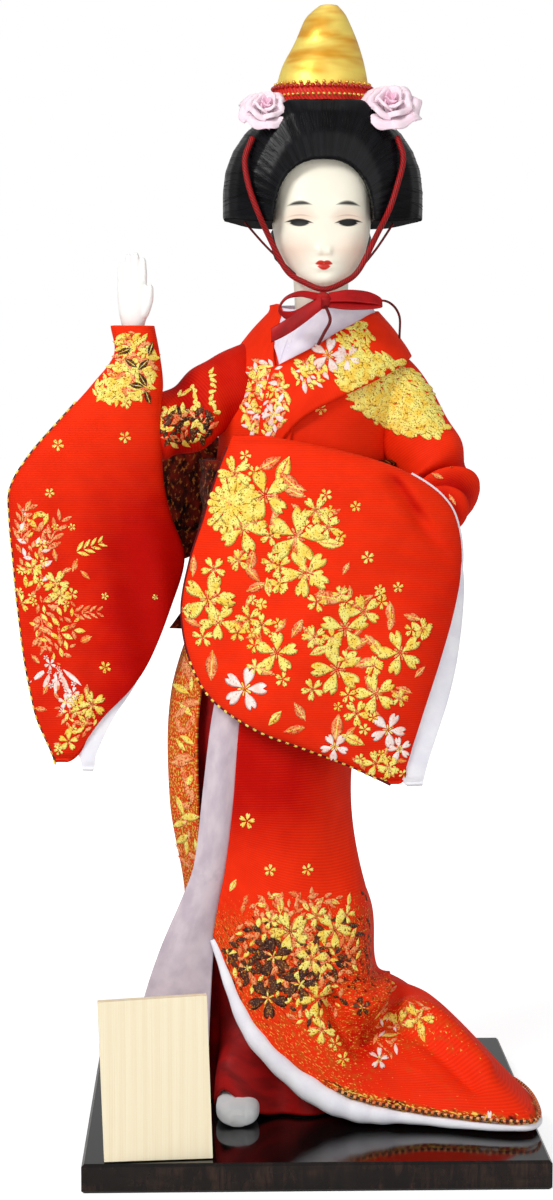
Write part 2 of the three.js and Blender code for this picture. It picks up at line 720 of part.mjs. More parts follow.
// Sash bow at the back: two puffed wings, the wrap between them and one hanging end
const KNOT = { x: -2.5, y: 27, height: 160, width: 8.4 };
function wing(side) {
  const stops = [
    [KNOT.width / 2 + FIT, 27, 160, 3, 6],
    [14, 27, 163, 4, 12],
    [27, 25.5, 164, 3.6, 17],
    [39, 23.4, 162, 1.8, 19],
  ];
  const sections = smoothRows(stops, 8).map(([out, y, height, deep, tall]) =>
    Array.from({ length: 16 }, (_, i) => {
      const a = (i / 16) * 2 * Math.PI;
      return point(KNOT.x + side * out, y + deep * Math.cos(a), height + tall * Math.sin(a));
    }),
  );
  return loft(sections);
}
add(doll, "obi_right_wing", wing(-1), darkBrocade);
add(doll, "obi_left_wing", wing(1), darkBrocade);
const knotDeep = KNOT.y - FIT - (BODY[3][2] + BODY[3][4] + 2 * SLIP + OBI_THICKNESS);
add(
  doll,
  "obi_knot",
  ellipsoid(KNOT.x, KNOT.y, KNOT.height, KNOT.width / 2, knotDeep, 8, 14, 10),
  darkBrocade,
);
const OBI_TAIL = [
  [151.6, -7, 2, 26.6],
  [146, -17, -3, 26.2],
  [136, -30, -12, 26],
  [126, -38, -22, 25.4],
];
const tailGrid = smoothRows(OBI_TAIL, 6).map(([height, from, to, y]) =>
  Array.from({ length: 5 }, (_, j) => point(lerp(from, to, j / 4), y + 0.5 * Math.cos(j * 2), height)),
);
add(doll, "obi_tail", sheet(tailGrid, 0, CLOTH), darkBrocade);

// Upper sleeves: open tubes of cloth from the shoulders to the elbows
const RIGHT_UPPER_SLEEVE = [
  [-9, 2.5, BODICE_TOP - 12, 6.4],
  [-17.5, 0, 194.8, 9.8],
  [-27, -3.6, 189, 9.2],
  [RIGHT_ELBOW.x, RIGHT_ELBOW.y, RIGHT_ELBOW.height, ELBOW_RADIUS],
  [RIGHT_ELBOW.x - 4.5, RIGHT_ELBOW.y - 1.4, RIGHT_ELBOW.height - 2, ELBOW_RADIUS - 2.4],
];
const LEFT_UPPER_SLEEVE = [
  [15, 2.6, BODICE_TOP - 12, 6.6],
  [21.5, 1, 192.6, 9.8],
  [29, -3.2, 178.6, 10],
  [LEFT_ELBOW.x + 0.6, LEFT_ELBOW.y + 2, LEFT_ELBOW.height + 2, 8.6],
  [LEFT_ELBOW.x + 1.2, LEFT_ELBOW.y + 0.6, LEFT_ELBOW.height - 4.5, 7.4],
];
function upperSleeve(stops) {
  const last = stops[stops.length - 1];
  const before = stops[stops.length - 2];
  const beyond = last.map((value, k) => (k < 3 ? 2.4 * value - 1.4 * before[k] : value));
  const inside = widened([...stops, beyond], -SLEEVE_WALL);
  return tube(stops, 8, 12)
    .subtract(tube(inside, 10, 12))
    .subtract(bodySolid(150, BODICE_TOP + 1, FIT));
}

// Forearms inside the hanging sleeves, with a wire pin at the wrist; the ends stop at the elbow balls
const elbowReach = ARM_RADIUS + 4 * FIT;
const RIGHT_FOREARM = [
  [RIGHT_ELBOW.x - elbowReach, RIGHT_ELBOW.y - 0.6, RIGHT_ELBOW.height, FOREARM_RADIUS],
  [-45.6, -11.4, 185, FOREARM_RADIUS],
  [-46.4, -14, 194, FOREARM_RADIUS],
  [WRIST.x, WRIST.y, WRIST.height, FOREARM_RADIUS],
];
const LEFT_FOREARM = [
  [LEFT_ELBOW.x - elbowReach * 0.5, LEFT_ELBOW.y - elbowReach * 0.9, LEFT_ELBOW.height, FOREARM_RADIUS],
  [24, -25.5, 163.8, FOREARM_RADIUS],
  [8, -31.6, 166.4, FOREARM_RADIUS],
  [-10, -32.2, 169, FOREARM_RADIUS],
];
const forearm = (stops, extra) => tube(widened(stops, extra), 9);
const rightPin = (extra) =>
  rod(
    WRIST.x,
    WRIST.y,
    WRIST.height - 1,
    WRIST.height + WRIST_PIN_LENGTH + extra,
    WRIST_PIN_RADIUS + extra,
    8,
  );
add(rightArm, "right_forearm", forearm(RIGHT_FOREARM, 0).add(rightPin(0)), padding);
add(leftArm, "left_forearm", forearm(LEFT_FOREARM, 0), padding);

const swingAngles = [0, 5, 10, 15, 20];
let leftUpperSleeve = upperSleeve(LEFT_UPPER_SLEEVE);
for (const angle of swingAngles) {
  leftUpperSleeve = leftUpperSleeve.subtract(swung(forearm(LEFT_FOREARM, SWING), LEFT_ELBOW, angle));
}
leftUpperSleeve = leftUpperSleeve.subtract(leftLapelClear).subtract(collarClear).subtract(obiClear);
let rightUpperSleeve = upperSleeve(RIGHT_UPPER_SLEEVE).subtract(rightLapelClear).subtract(collarClear);
for (const angle of [-15, -7, ...swingAngles]) {
  rightUpperSleeve = rightUpperSleeve.subtract(swung(forearm(RIGHT_FOREARM, SWING), RIGHT_ELBOW, angle));
}
add(doll, "right_upper_sleeve", largest(rightUpperSleeve), brocade);
add(doll, "left_upper_sleeve", largest(leftUpperSleeve), brocade);

// A hanging sleeve: rows of [height, left x, right x, half thickness] round a middle surface
function pouch(rows, middle, steps, sides = 18) {
  const sections = smoothRows(rows, steps).map(([height, from, to, half]) =>
    Array.from({ length: sides }, (_, i) => {
      const a = (i / sides) * 2 * Math.PI;
      const x = (from + to) / 2 + ((to - from) / 2) * Math.cos(a);
      const deep = half * Math.sign(Math.sin(a)) * Math.abs(Math.sin(a)) ** 0.7;
      return point(x, middle(x, height) + deep, height);
    }),
  );
  return loft(sections);
}
const grownRows = (rows, by) => rows.map(([h, from, to, half]) => [h, from - by, to + by, half + by]);

// The inside of a sleeve, open towards one side over a span of heights and through the top
function sleeveInside(rows, bottom, open, wall) {
  const inside = rows
    .filter(([height]) => height >= bottom)
    .map(([height, from, to, half]) => {
      const [left, right] = open(height);
      return [height, left ? from - left : from + wall, right ? to + right : to - wall, half - wall];
    });
  const [height, ...rest] = inside[inside.length - 1];
  return [...inside, [height + 2, ...rest]];
}

// Right sleeve, hanging from the raised forearm and open towards the body at its lower inner edge
const RIGHT_SLEEVE = [
  [94, -67.6, -65.2, 1.4],
  [97, -68.6, -61.6, 2],
  [105.7, -72.2, -55.3, 2.8],
  [113.7, -74, -47.6, 3.2],
  [121.6, -75.4, -42.3, 3.4],
  [134.8, -77, -37, 3.7],
  [148, -78.2, -33.2, 4],
  [158.5, -79, -36.4, 4.3],
  [166.8, -78.7, -38.4, 4.7],
  [175.5, -73.5, -39, 5.1],
  [187.3, -63, -39.2, 5.4],
  [194, -57, -38.6, 5.4],
  [201.5, -51.4, -39.4, 5.4],
  [209, -52.2, -40.8, 5.4],
];
const RIGHT_SLEEVE_LINING = [
  [91.8, -60.4, -57.6, 0.6],
  [97, -62, -56.4, 0.8],
  [105.7, -68, -52.2, 1],
  [113.7, -71, -47, 1.2],
  [121.6, -72.8, -43, 1.4],
  [134.8, -74.4, -38.2, 1.6],
  [147, -75.4, -35.4, 1.8],
];
const rightMiddle = (x, height) => {
  const raise = THREE.MathUtils.smoothstep(height, 168, 204);
  const hang = THREE.MathUtils.clamp((170 - height) / 76, 0, 1);
  return -12.4 - 2.6 * raise + 1.6 * hang * Math.sin(((x + 79) / 46) * 2 * Math.PI);
};
const rightOpen = (height) => [0, height < 150 ? 4.5 : 0];
const rightInside = (wall) => pouch(sleeveInside(RIGHT_SLEEVE, 103, rightOpen, wall), rightMiddle, 12, 14);
const elbowNotch = rod(
  RIGHT_ELBOW.x,
  RIGHT_ELBOW.y,
  RIGHT_ELBOW.height - ELBOW_RADIUS - 3,
  RIGHT_ELBOW.height + ELBOW_RADIUS + 3,
  ELBOW_RADIUS + SLIP,
  24,
);
const rightSleeve = pouch(RIGHT_SLEEVE, rightMiddle, 18)
  .subtract(rightInside(SLEEVE_WALL))
  .subtract(elbowNotch)
  .subtract(forearm(RIGHT_FOREARM, FIT))
  .subtract(rod(WRIST.x, WRIST.y, WRIST.height - 1, WRIST.height + 9, WRIST_RADIUS * RIGHT_HAND_SCALE + FIT));
add(rightArm, "right_sleeve", largest(rightSleeve), brocade);
const rightShellClear = pouch(grownRows(RIGHT_SLEEVE, FIT), rightMiddle, 18).subtract(
  rightInside(SLEEVE_WALL + FIT),
);
add(
  rightArm,
  "right_sleeve_lining",
  largest(pouch(RIGHT_SLEEVE_LINING, rightMiddle, 8, 14).subtract(rightShellClear)),
  whiteCotton,
);

// Left sleeve, hanging across the front, open at its left for the hand and at its right for the lining
const LEFT_FRONT = -33; // y of the sleeve at its top fold
const LEFT_FOLD = 177.5;
const LEFT_CUFF = { bottom: 140, top: 176, lap: 4 };
const LEFT_SLIT_TOP = 146; // the lining shows below this
const LEFT_BAG = 97; // bottom of the hollow
const LEFT_SLEEVE = [
  [90, 20.4, 22.8, 1.4],
  [92, 16.4, 23.6, 1.8],
  [96, 8, 24.8, 2.4],
  [100, -2, 26, 2.8],
  [105, -14.6, 27.6, 3.2],
  [112.5, -26, 30, 3.6],
  [122.5, -31.6, 33.2, 4],
  [135.5, -33.8, 36.8, 4.4],
  [148.5, -31.6, 38.8, 5],
  [158.5, -28.4, 37.4, 5.6],
  [164.5, -26.6, 34, 6],
  [169.5, -25, 27.6, 6],
  [174, -23.4, 18, 5.2],
  [178, -21.8, 3, 3.6],
  [181, -20.6, -13, 1.6],
];
const LEFT_SLEEVE_LINING = [
  [89.4, 24.8, 29.6, 0.7],
  [96, 16, 30.6, 0.9],
  [105, -10, 32.4, 1.2],
  [112.5, -21, 34.2, 1.5],
  [122.5, -27, 36.6, 1.8],
  [135.5, -28.6, 39.2, 2.2],
  [150, -27, 40.8, 2.6],
];
const leftMiddle = (x, height) => {
  const hang = THREE.MathUtils.clamp((150 - height) / 60, 0, 1);
  return LEFT_FRONT + (LEFT_FOLD - height) * 0.062 + 0.0055 * x * x + 1.1 * hang * Math.sin(x / 7);
};
const leftOpen = (height) => [
  height > LEFT_CUFF.bottom && height < LEFT_CUFF.top ? LEFT_CUFF.lap : 0,
  height < LEFT_SLIT_TOP ? LEFT_CUFF.lap : 0,
];
const leftInside = (wall) =>
  pouch(sleeveInside(LEFT_SLEEVE.slice(0, -1), LEFT_BAG, leftOpen, wall).slice(0, -1), leftMiddle, 12, 16);
const leftSleeve = pouch(LEFT_SLEEVE, leftMiddle, 18)
  .subtract(leftInside(SLEEVE_WALL))
  .subtract(forearm(LEFT_FOREARM, FIT));
add(leftArm, "left_sleeve", largest(leftSleeve), brocade);
const leftShellClear = pouch(grownRows(LEFT_SLEEVE, FIT), leftMiddle, 18).subtract(
  leftInside(SLEEVE_WALL + FIT),
);
add(
  leftArm,
  "left_sleeve_lining",
  largest(pouch(LEFT_SLEEVE_LINING, leftMiddle, 8, 16).subtract(leftShellClear)),
  whiteCotton,
);

// A hand with its fingers together, pointing up from the wrist at the origin
function hand(scale, fingers) {
  const palm = ovalLoft(
    [
      [0, 0, 0, WRIST_RADIUS, WRIST_RADIUS],
      [5, 0, 0, WRIST_RADIUS, WRIST_RADIUS * 0.9],
      [10, 0.2, -0.2, 4.4, 2.8],
      [15.5, 0, -0.2, 4.7, 2.4],
      [19.5, -0.2, -0.1, 4.5, 1.9],
      [21, -0.2, 0, 3.6, 1.3],
    ],
    0,
    12,
  );
  let made = palm;
  for (const [x, tip] of fingers) {
    const stops = [
      [x * 0.95, -0.2, 17, 1.25],
      [x, 0, (tip + 17) / 2, 1.2],
      [x * 0.92, 0.6, tip, 0.75],
    ];
    made = made.add(tube(stops, 3, 6));
  }
  made = made.add(tube([[3.2, -0.8, 9.5, 1.7], [5, -1.6, 14, 1.5], [5.4, -1.8, 19, 0.8]], 3, 6));
  return made.scale([scale, scale, scale]);
}
const FINGERS = [
  [-3.5, 25.6],
  [-1.25, 28.4],
  [1.1, 28.8],
  [3.3, 27.2],
];
const rightHand = hand(RIGHT_HAND_SCALE, FINGERS)
  .translate([WRIST.x, WRIST.y, WRIST.height + FIT])
  .subtract(rightPin(FIT));
add(rightArm, "right_hand", rightHand, porcelain);
const leftWrist = LEFT_FOREARM[LEFT_FOREARM.length - 1];
const LEFT_HAND_SCALE = 0.48;
add(
  leftArm,
  "left_hand",
  hand(LEFT_HAND_SCALE, [])
    .rotate([0, -82, 0])
    .translate([leftWrist[0] - FIT - 0.2, leftWrist[1] + 0.1, leftWrist[2] + 0.2]),
  porcelain,
);

// Head with its neck and nose, bored for the peg: [height, x, y, half width, half depth]
const HEAD = [
  [HEAD_MIDDLE - 26.2, HEAD_X, -8.5, 2.6, 3],
  [HEAD_MIDDLE - 24, HEAD_X, -7, 6.6, 8.2],
  [HEAD_MIDDLE - 19, HEAD_X, -4.2, 10.2, 12.4],
  [HEAD_MIDDLE - 12, HEAD_X, -2.4, 12.5, 14.2],
  [HEAD_MIDDLE - 5, HEAD_X, -1.4, 13.2, 15.4],
  [HEAD_MIDDLE + 3, HEAD_X, -0.8, 13, 14.8],
  [HEAD_MIDDLE + 10, HEAD_X, 0, 11.2, 12.4],
  [HEAD_MIDDLE + 15, HEAD_X, 1, 6.8, 7.6],
  [HEAD_MIDDLE + 17, HEAD_X, 1.4, 2.2, 2.6],
];
const neckSeat = CORE_TOP + FIT;
const pegTop = neckSeat + 16;
const skull = (grow) => {
  const rows = smoothRows(HEAD, 11);
  rows[0][0] -= grow;
  rows[rows.length - 1][0] += grow;
  return ovalLoft(rows, grow, 18);
};
const neck = (grow) => rod(NECK.x, NECK.y, neckSeat, HEAD_MIDDLE - 16.5, NECK_RADIUS + grow, 20);
const nose = ellipsoid(HEAD_X, -15.9, HEAD_MIDDLE - 14.9, 1.7, 2.2, 3.4, 10, 8);
const pegBore = rod(NECK.x, NECK.y, neckSeat - 1, pegTop + FIT, PEG_RADIUS + FIT / 2);
add(head, "head", skull(0).add(neck(0)).add(nose).subtract(pegBore), porcelain);
add(head, "neck_peg", rod(NECK.x, NECK.y, pegBottom + FIT, pegTop, PEG_RADIUS), timber);

// Wig: a dome with a full front roll and straight sides below its middle, cut flat below and opened
// over the face, with a nape roll and a topknot
const straightSide = (up) => (up < 0 ? Math.sqrt(1 - Math.max(up, -0.6) ** 2) : 1);
const overPower = (a, b, power) => (Math.abs(a) ** power + Math.abs(b) ** power) ** (1 / power);
function dome(grow) {
  const ball = new THREE.SphereGeometry(1, 28, 18);
  const at = ball.getAttribute("position");
  for (let i = 0; i < at.count; i += 1) {
    const [x, y, z] = [at.getX(i), at.getY(i), at.getZ(i)];
    const swell = y < 0 ? 1 / overPower(Math.hypot(x, z), y, WIG_FULLNESS) : 1;
    at.setXYZ(i, (x * swell) / straightSide(z * swell), y * swell, z * swell);
  }
  ball.scale(WIG.width / 2 + grow, WIG.depth / 2 + grow, WIG.tall / 2 + grow);
  return solid(ball.translate(WIG.x, WIG.y, WIG.height));
}
const below = (height) => block(point(-90, -90, -20), point(90, 90, height));
const rootOf = (value) => Math.sign(value) * Math.abs(value) ** (2 / FACE_FULLNESS);
const faceOpening = new THREE.Shape(
  Array.from({ length: 36 }, (_, i) => {
    const a = (i / 36) * 2 * Math.PI;
    return new THREE.Vector2(
      HEAD_X + (FACE_OPENING.width / 2) * rootOf(Math.cos(a)),
      FACE_OPENING.centre + (FACE_OPENING.height / 2) * rootOf(Math.sin(a)),
    );
  }),
);
const faceCut = solid(
  new THREE.ExtrudeGeometry(faceOpening, { depth: 44, curveSegments: 8, bevelEnabled: false })
    .rotateX(90 * DEG)
    .translate(0, -2, 0),
);
const headClear = skull(FIT).add(neck(FIT));
add(head, "wig_front", dome(0).subtract(below(WIG_BOTTOM)).subtract(headClear).subtract(faceCut), hair);
const napeRoll = ellipsoid(WIG.x, 13.5, WIG_BOTTOM - 3, 14, 10, 12, 14, 10)
  .intersect(below(WIG_BOTTOM - FIT))
  .subtract(headClear);
add(head, "wig_nape", largest(napeRoll), hair);
const topknot = ellipsoid(WIG.x, 19, HEAD_MIDDLE + 14.5, 9, 8.5, 8, 14, 10);
add(head, "wig_topknot", topknot.subtract(dome(FIT)), hair);

// Gilt cap over the crown, with a beaded band round its foot
const CAP = [
  [CAP_BASE, 3.4, -1, 12.2, 9.5],
  [CAP_BASE + 8, 3.4, -1, 12.2, 9.5],
  [CAP_BASE + 17, 3.6, -0.2, 10, 8.2],
  [CAP_BASE + 24, 4.2, 1.2, 6.9, 6.4],
  [CAP_BASE + 29.1, 5, 2.5, 3.6, 4.8],
  [CAP_BASE + 31.1, 5.2, 2.8, 2.4, 3.6],
];
const CAP_SIDES = 16;
const capRows = smoothRows(CAP, 7);
const capInside = [[CAP_BASE - 2, ...CAP[0].slice(1)], ...capRows.slice(0, -1)];
const domeClear = dome(FIT);
const cap = ovalLoft(capRows, 0, CAP_SIDES)
  .subtract(ovalLoft(capInside, -CAP_WALL, CAP_SIDES))
  .subtract(domeClear);
add(head, "gilt_cap", largest(cap), gilt);
const bandRows = [[CAP_BASE, ...CAP[1].slice(1)], [BAND_TOP, ...CAP[1].slice(1)]];
const capClear = ovalLoft([[CAP_BASE - 2, ...CAP[1].slice(1)], ...capRows.slice(1)], FIT, CAP_SIDES);
const band = ovalLoft(bandRows, FIT + BAND_THICKNESS, CAP_SIDES).subtract(capClear).subtract(domeClear);
add(head, "cap_band", largest(band), cordRed);

// Ribbon roses beside the cap, facing forward and up
function rose(at) {
  const stops = [
    [-0.85, 0.4],
    [-0.5, 0.82],
    [-0.1, 1],
    [0.25, 0.92],
    [0.5, 0.66],
    [0.62, 0.36],
  ];
  const sections = stops.map(([rise, wide], s) =>
    Array.from({ length: 20 }, (_, i) => {
      const a = (i / 20) * 2 * Math.PI;
      const r = at.radius * wide * (1 + 0.07 * Math.cos(5 * a + s));
      return point(r * Math.cos(a), r * Math.sin(a), at.radius * rise);
    }),
  );
  return loft(sections).rotate([48, 0, 0]).translate([at.x, at.y, at.height]);
}
const bandClear = ovalLoft(bandRows, 2 * FIT + BAND_THICKNESS, CAP_SIDES).add(capClear);
const trimmedRose = (at) => largest(rose(at).subtract(domeClear).subtract(bandClear));
add(head, "right_rose", trimmedRose(RIGHT_ROSE), pinkRibbon);
add(head, "left_rose", trimmedRose(LEFT_ROSE), pinkRibbon);

// Chin cord: over the wig from rose to rose, down the cheeks and under the chin; [x, height, y off the wig]
function onWig(x, height, off) {
  const up = (height - WIG.height) / (WIG.tall / 2);
  const across = ((x - WIG.x) / (WIG.width / 2)) * straightSide(up);
  const deep = Math.max(0, 1 - Math.hypot(across, up) ** WIG_FULLNESS) ** (1 / WIG_FULLNESS);
  return point(x, WIG.y - (WIG.depth / 2) * deep - off, height);
}
const overWig = CORD_RADIUS + FIT + 1.1;
const chinCord = [
  onWig(-15.2, HEAD_MIDDLE + 13.2, overWig),
  onWig(-17.2, HEAD_MIDDLE + 7.6, overWig),
  onWig(-16.4, HEAD_MIDDLE + 0.9, overWig),
  onWig(-14, HEAD_MIDDLE - 6.1, overWig),
  point(-11, -14.2, HEAD_MIDDLE - 12.4),
  point(-6.4, -13.4, HEAD_MIDDLE - 21),
  point(-1.6, -14.8, BOW_HEIGHT + 4.8),
  point(HEAD_X, BOW_FRONT + 1.4, BOW_HEIGHT + 3.05),
  point(8.2, -14.8, BOW_HEIGHT + 4.8),
  point(12.4, -13.4, HEAD_MIDDLE - 21),
  point(16.8, -14.2, HEAD_MIDDLE - 12.4),
  onWig(19.8, HEAD_MIDDLE - 6.1, overWig),
  onWig(22, HEAD_MIDDLE + 0.3, overWig),
  onWig(23.8, HEAD_MIDDLE + 7.6, overWig),
  onWig(22.4, HEAD_MIDDLE + 13.4, overWig),
];
const roseClear = rose({ ...RIGHT_ROSE, radius: RIGHT_ROSE.radius + FIT }).add(
  rose({ ...LEFT_ROSE, radius: LEFT_ROSE.radius + FIT }),
);
add(head, "chin_cord", largest(cord(chinCord, CORD_RADIUS, 30).subtract(roseClear)), cordRed);

// Throat bow: knot, two open loops, a broad tail and a thin tail
const bowKnot = ellipsoid(HEAD_X - 0.3, BOW_FRONT, BOW_HEIGHT, 2.6, 2, 2.2, 12, 8);
add(head, "bow_knot", bowKnot, cordRed);
function loop(outline) {
  const points = outline.map(([x, y]) => new THREE.Vector2(x, y));
  const grid = new THREE.SplineCurve(points).getPoints(16).map((p) =>
    [-0.5, 0, 0.5].map((t) => point(HEAD_X + p.x, BOW_FRONT + t * RIBBON_WIDTH, BOW_HEIGHT + p.y)),
  );
  return sheet(grid, -RIBBON_THICKNESS / 2, RIBBON_THICKNESS / 2);
}
const knotClear = ellipsoid(HEAD_X - 0.3, BOW_FRONT, BOW_HEIGHT, 2.6 + FIT, 2 + FIT, 2.2 + FIT, 12, 8);
const rightLoop = loop([
  [-1.6, 0.8],
  [-6, 2],
  [-10, 0.6],
  [-11.6, -2.6],
  [-8, -4],
  [-4, -2.4],
  [-1.6, -1],
]);
const leftLoop = loop([
  [1.2, 0.8],
  [6, 1.4],
  [11.5, -0.6],
  [15.5, -4],
  [13.5, -5.6],
  [8, -3.6],
  [3.6, -1.8],
  [1.2, -0.8],
]);
add(head, "bow_right_loop", largest(rightLoop.subtract(knotClear)), cordRed);
add(head, "bow_left_loop", largest(leftLoop.subtract(knotClear)), cordRed);
const broadTail = sheet(
  smoothRows(
    [
      [1.4, -20.4, BOW_HEIGHT - 1.2, BOW_HEIGHT - 2.8],
      [-3, -21.2, BOW_HEIGHT - 4.8, BOW_HEIGHT - 7.4],
      [-8, -21.6, BOW_HEIGHT - 6.8, BOW_HEIGHT - 10.4],
      [-12.4, -21.2, BOW_HEIGHT - 8, BOW_HEIGHT - 11.6],
    ],
    6,
  ).map(([x, y, high, low]) => [0, 0.5, 1].map((t) => point(x, y, lerp(high, low, t)))),
  0,
  RIBBON_THICKNESS,
);
add(head, "bow_broad_tail", largest(broadTail.subtract(knotClear)), cordRed);
const thinTail = cord(
  [
    point(3.4, -18.6, BOW_HEIGHT - 1),
    point(4.6, -21.2, BOW_HEIGHT - 5),
    point(3, -21.8, BOW_HEIGHT - 8.4),
    point(1.4, -21.6, BOW_HEIGHT - 11.4),
  ],
  THIN_CORD_RADIUS,
  8,
);
add(head, "bow_thin_tail", largest(thinTail.subtract(knotClear)), cordRed);

// Plaque, a hand-sawn board standing near the front edge with a small strut behind it
const plaqueGroup = new THREE.Group();
plaqueGroup.position.set(PLAQUE.x, PLAQUE.y, BOARD_THICKNESS + FIT);
plaqueGroup.rotation.z = PLAQUE.turn * DEG;
object.add(plaqueGroup);
const plaqueShape = new THREE.Shape();
plaqueShape.moveTo(-PLAQUE_WIDTH / 2, 0).lineTo(PLAQUE_WIDTH / 2, 0);
plaqueShape.lineTo(PLAQUE_WIDTH / 2 - 1.4, PLAQUE_HEIGHT).lineTo(-PLAQUE_WIDTH / 2 - 1.4, PLAQUE_HEIGHT - 1);
plaqueShape.closePath();
const plaque = new THREE.ExtrudeGeometry(plaqueShape, { depth: PLAQUE_THICKNESS, bevelEnabled: false });
add(plaqueGroup, "plaque", plaque.rotateX(90 * DEG).translate(0, PLAQUE_THICKNESS / 2, 0), paleWood);
const strutShape = new THREE.Shape();
strutShape.moveTo(0, 0).lineTo(STRUT_DEPTH, 0).lineTo(0, STRUT_HEIGHT).closePath();
const strut = new THREE.ExtrudeGeometry(strutShape, { depth: STRUT_WIDTH, bevelEnabled: false });
strut.rotateX(90 * DEG).rotateZ(90 * DEG).translate(-STRUT_WIDTH / 2, PLAQUE_THICKNESS / 2 + FIT, 0);
add(plaqueGroup, "plaque_strut", strut, paleWood);

export default object;
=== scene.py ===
"""Dressed scene of a kimono dancer doll standing on a lacquered board.

Tables are in millimetres, with heights measured from the top of the board; meshes are in metres.
The doll faces -Y and +Z is up. "Right" and "left" are the doll's own sides.
"""
import logging
import math
from dataclasses import dataclass, field
from enum import Enum
from functools import cache
from typing import Callable, Iterable, Sequence

import bmesh
import bpy
import numpy as np
from mathutils import Matrix, Vector
from mathutils.bvhtree import BVHTree


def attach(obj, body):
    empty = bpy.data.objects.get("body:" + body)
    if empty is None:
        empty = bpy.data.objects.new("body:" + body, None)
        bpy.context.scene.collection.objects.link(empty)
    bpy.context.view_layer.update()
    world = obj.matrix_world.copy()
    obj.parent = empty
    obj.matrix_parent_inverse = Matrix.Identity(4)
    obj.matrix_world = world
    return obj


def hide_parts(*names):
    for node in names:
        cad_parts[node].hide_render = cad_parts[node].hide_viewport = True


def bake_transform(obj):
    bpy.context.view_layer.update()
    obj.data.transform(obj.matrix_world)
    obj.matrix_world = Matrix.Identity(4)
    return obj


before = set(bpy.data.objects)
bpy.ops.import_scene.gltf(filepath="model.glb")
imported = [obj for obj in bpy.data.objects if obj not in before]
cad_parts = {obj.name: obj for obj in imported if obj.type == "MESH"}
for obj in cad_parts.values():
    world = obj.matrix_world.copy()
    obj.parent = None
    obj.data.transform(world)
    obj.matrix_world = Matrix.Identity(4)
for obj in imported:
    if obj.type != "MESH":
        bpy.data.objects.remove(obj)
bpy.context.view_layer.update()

# Lengths in millimetres, but RAY_START in metres; WIG_DOME is its middle (x, y, height) and its half sizes
MM = 0.001
BOARD_TOP = 7.5
FACE_MIDDLE = 3.2
HAIR_CENTRE = (3.4, 236.0)
WIG_DOME = (3.6, 2.5, 244.5, 26.5, 20.5, 24.5)
CUT_MAP = "cut"
SEED = 7
RAY_START = 0.4

log = logging.getLogger("doll")

Rows = Sequence[Sequence[float]]
Grid = np.ndarray
Masks = dict[str, np.ndarray]


class Body(str, Enum):
    """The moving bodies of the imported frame."""

    STAND = "stand_and_body"
    HEAD = "head_unit"
    RIGHT_ARM = "right_arm_unit"
    RIGHT_HAND = "right_hand_unit"
    LEFT_ARM = "left_arm_unit"
    PLAQUE = "plaque_unit"


class Thread(str, Enum):
    """Colours of the woven ornament."""

    GOLD = "gold"
    WHITE = "white"
    DARK = "dark"
    ROSE = "rose"


class Shape(str, Enum):
    """Outlines of the woven ornament."""

    PETAL = "petal"
    LEAF = "leaf"
    QUILL = "quill"


class Side(Enum):
    """The way from which an ornament is laid on the cloth."""

    FRONT = (0.0, 1.0, 0.0)
    BACK = (0.0, -1.0, 0.0)


# Numbers and curves


def at(x: float, y: float, height: float) -> np.ndarray:
    """A point in metres from millimetres, its height taken from the board's top."""
    return np.array((x, y, height + BOARD_TOP)) * MM


def lift(points: np.ndarray) -> np.ndarray:
    """The same as at() for an array of points."""
    return (np.asarray(points, float) + np.array((0.0, 0.0, BOARD_TOP))) * MM


def smoothstep(value: np.ndarray, low: float, high: float) -> np.ndarray:
    """0 below low, 1 above high and a soft ramp between them."""
    t = np.clip((np.asarray(value, float) - low) / (high - low), 0, 1)
    return t * t * (3 - 2 * t)


def bump(value: np.ndarray, centre: float, width: float | np.ndarray) -> np.ndarray:
    """A bell of height 1 round centre."""
    return np.exp(-(((np.asarray(value, float) - centre) / width) ** 2))


def circle(sides: int, start: float = 0.0) -> np.ndarray:
    """Angles of the points round a ring, in one row; start is in degrees and -90 is the front."""
    return np.radians(start) + np.linspace(0, 2 * np.pi, sides, endpoint=False)[None]


def outward(angle: np.ndarray) -> np.ndarray:
    """Level directions at angles."""
    return np.stack([np.cos(angle), np.sin(angle), 0 * angle], -1)


def smooth_rows(rows: Rows, count: int) -> np.ndarray:
    """Resamples the rows of a table on a smooth curve through them.

    Args:
        rows: The table.
        count: How many rows come out.

    Returns:
        An array of count rows.
    """
    table = np.asarray(rows, float)
    t = np.linspace(0, len(table) - 1, count)
    k = np.clip(t.astype(int), 0, len(table) - 2)
    f = (t - k)[:, None]
    p = np.vstack([2 * table[0] - table[1], table, 2 * table[-1] - table[-2]])
    a, b, c, d = p[k], p[k + 1], p[k + 2], p[k + 3]
    return 0.5 * (2 * b + (c - a) * f + (2 * a - 5 * b + 4 * c - d) * f**2 + (3 * b - a - 3 * c + d) * f**3)


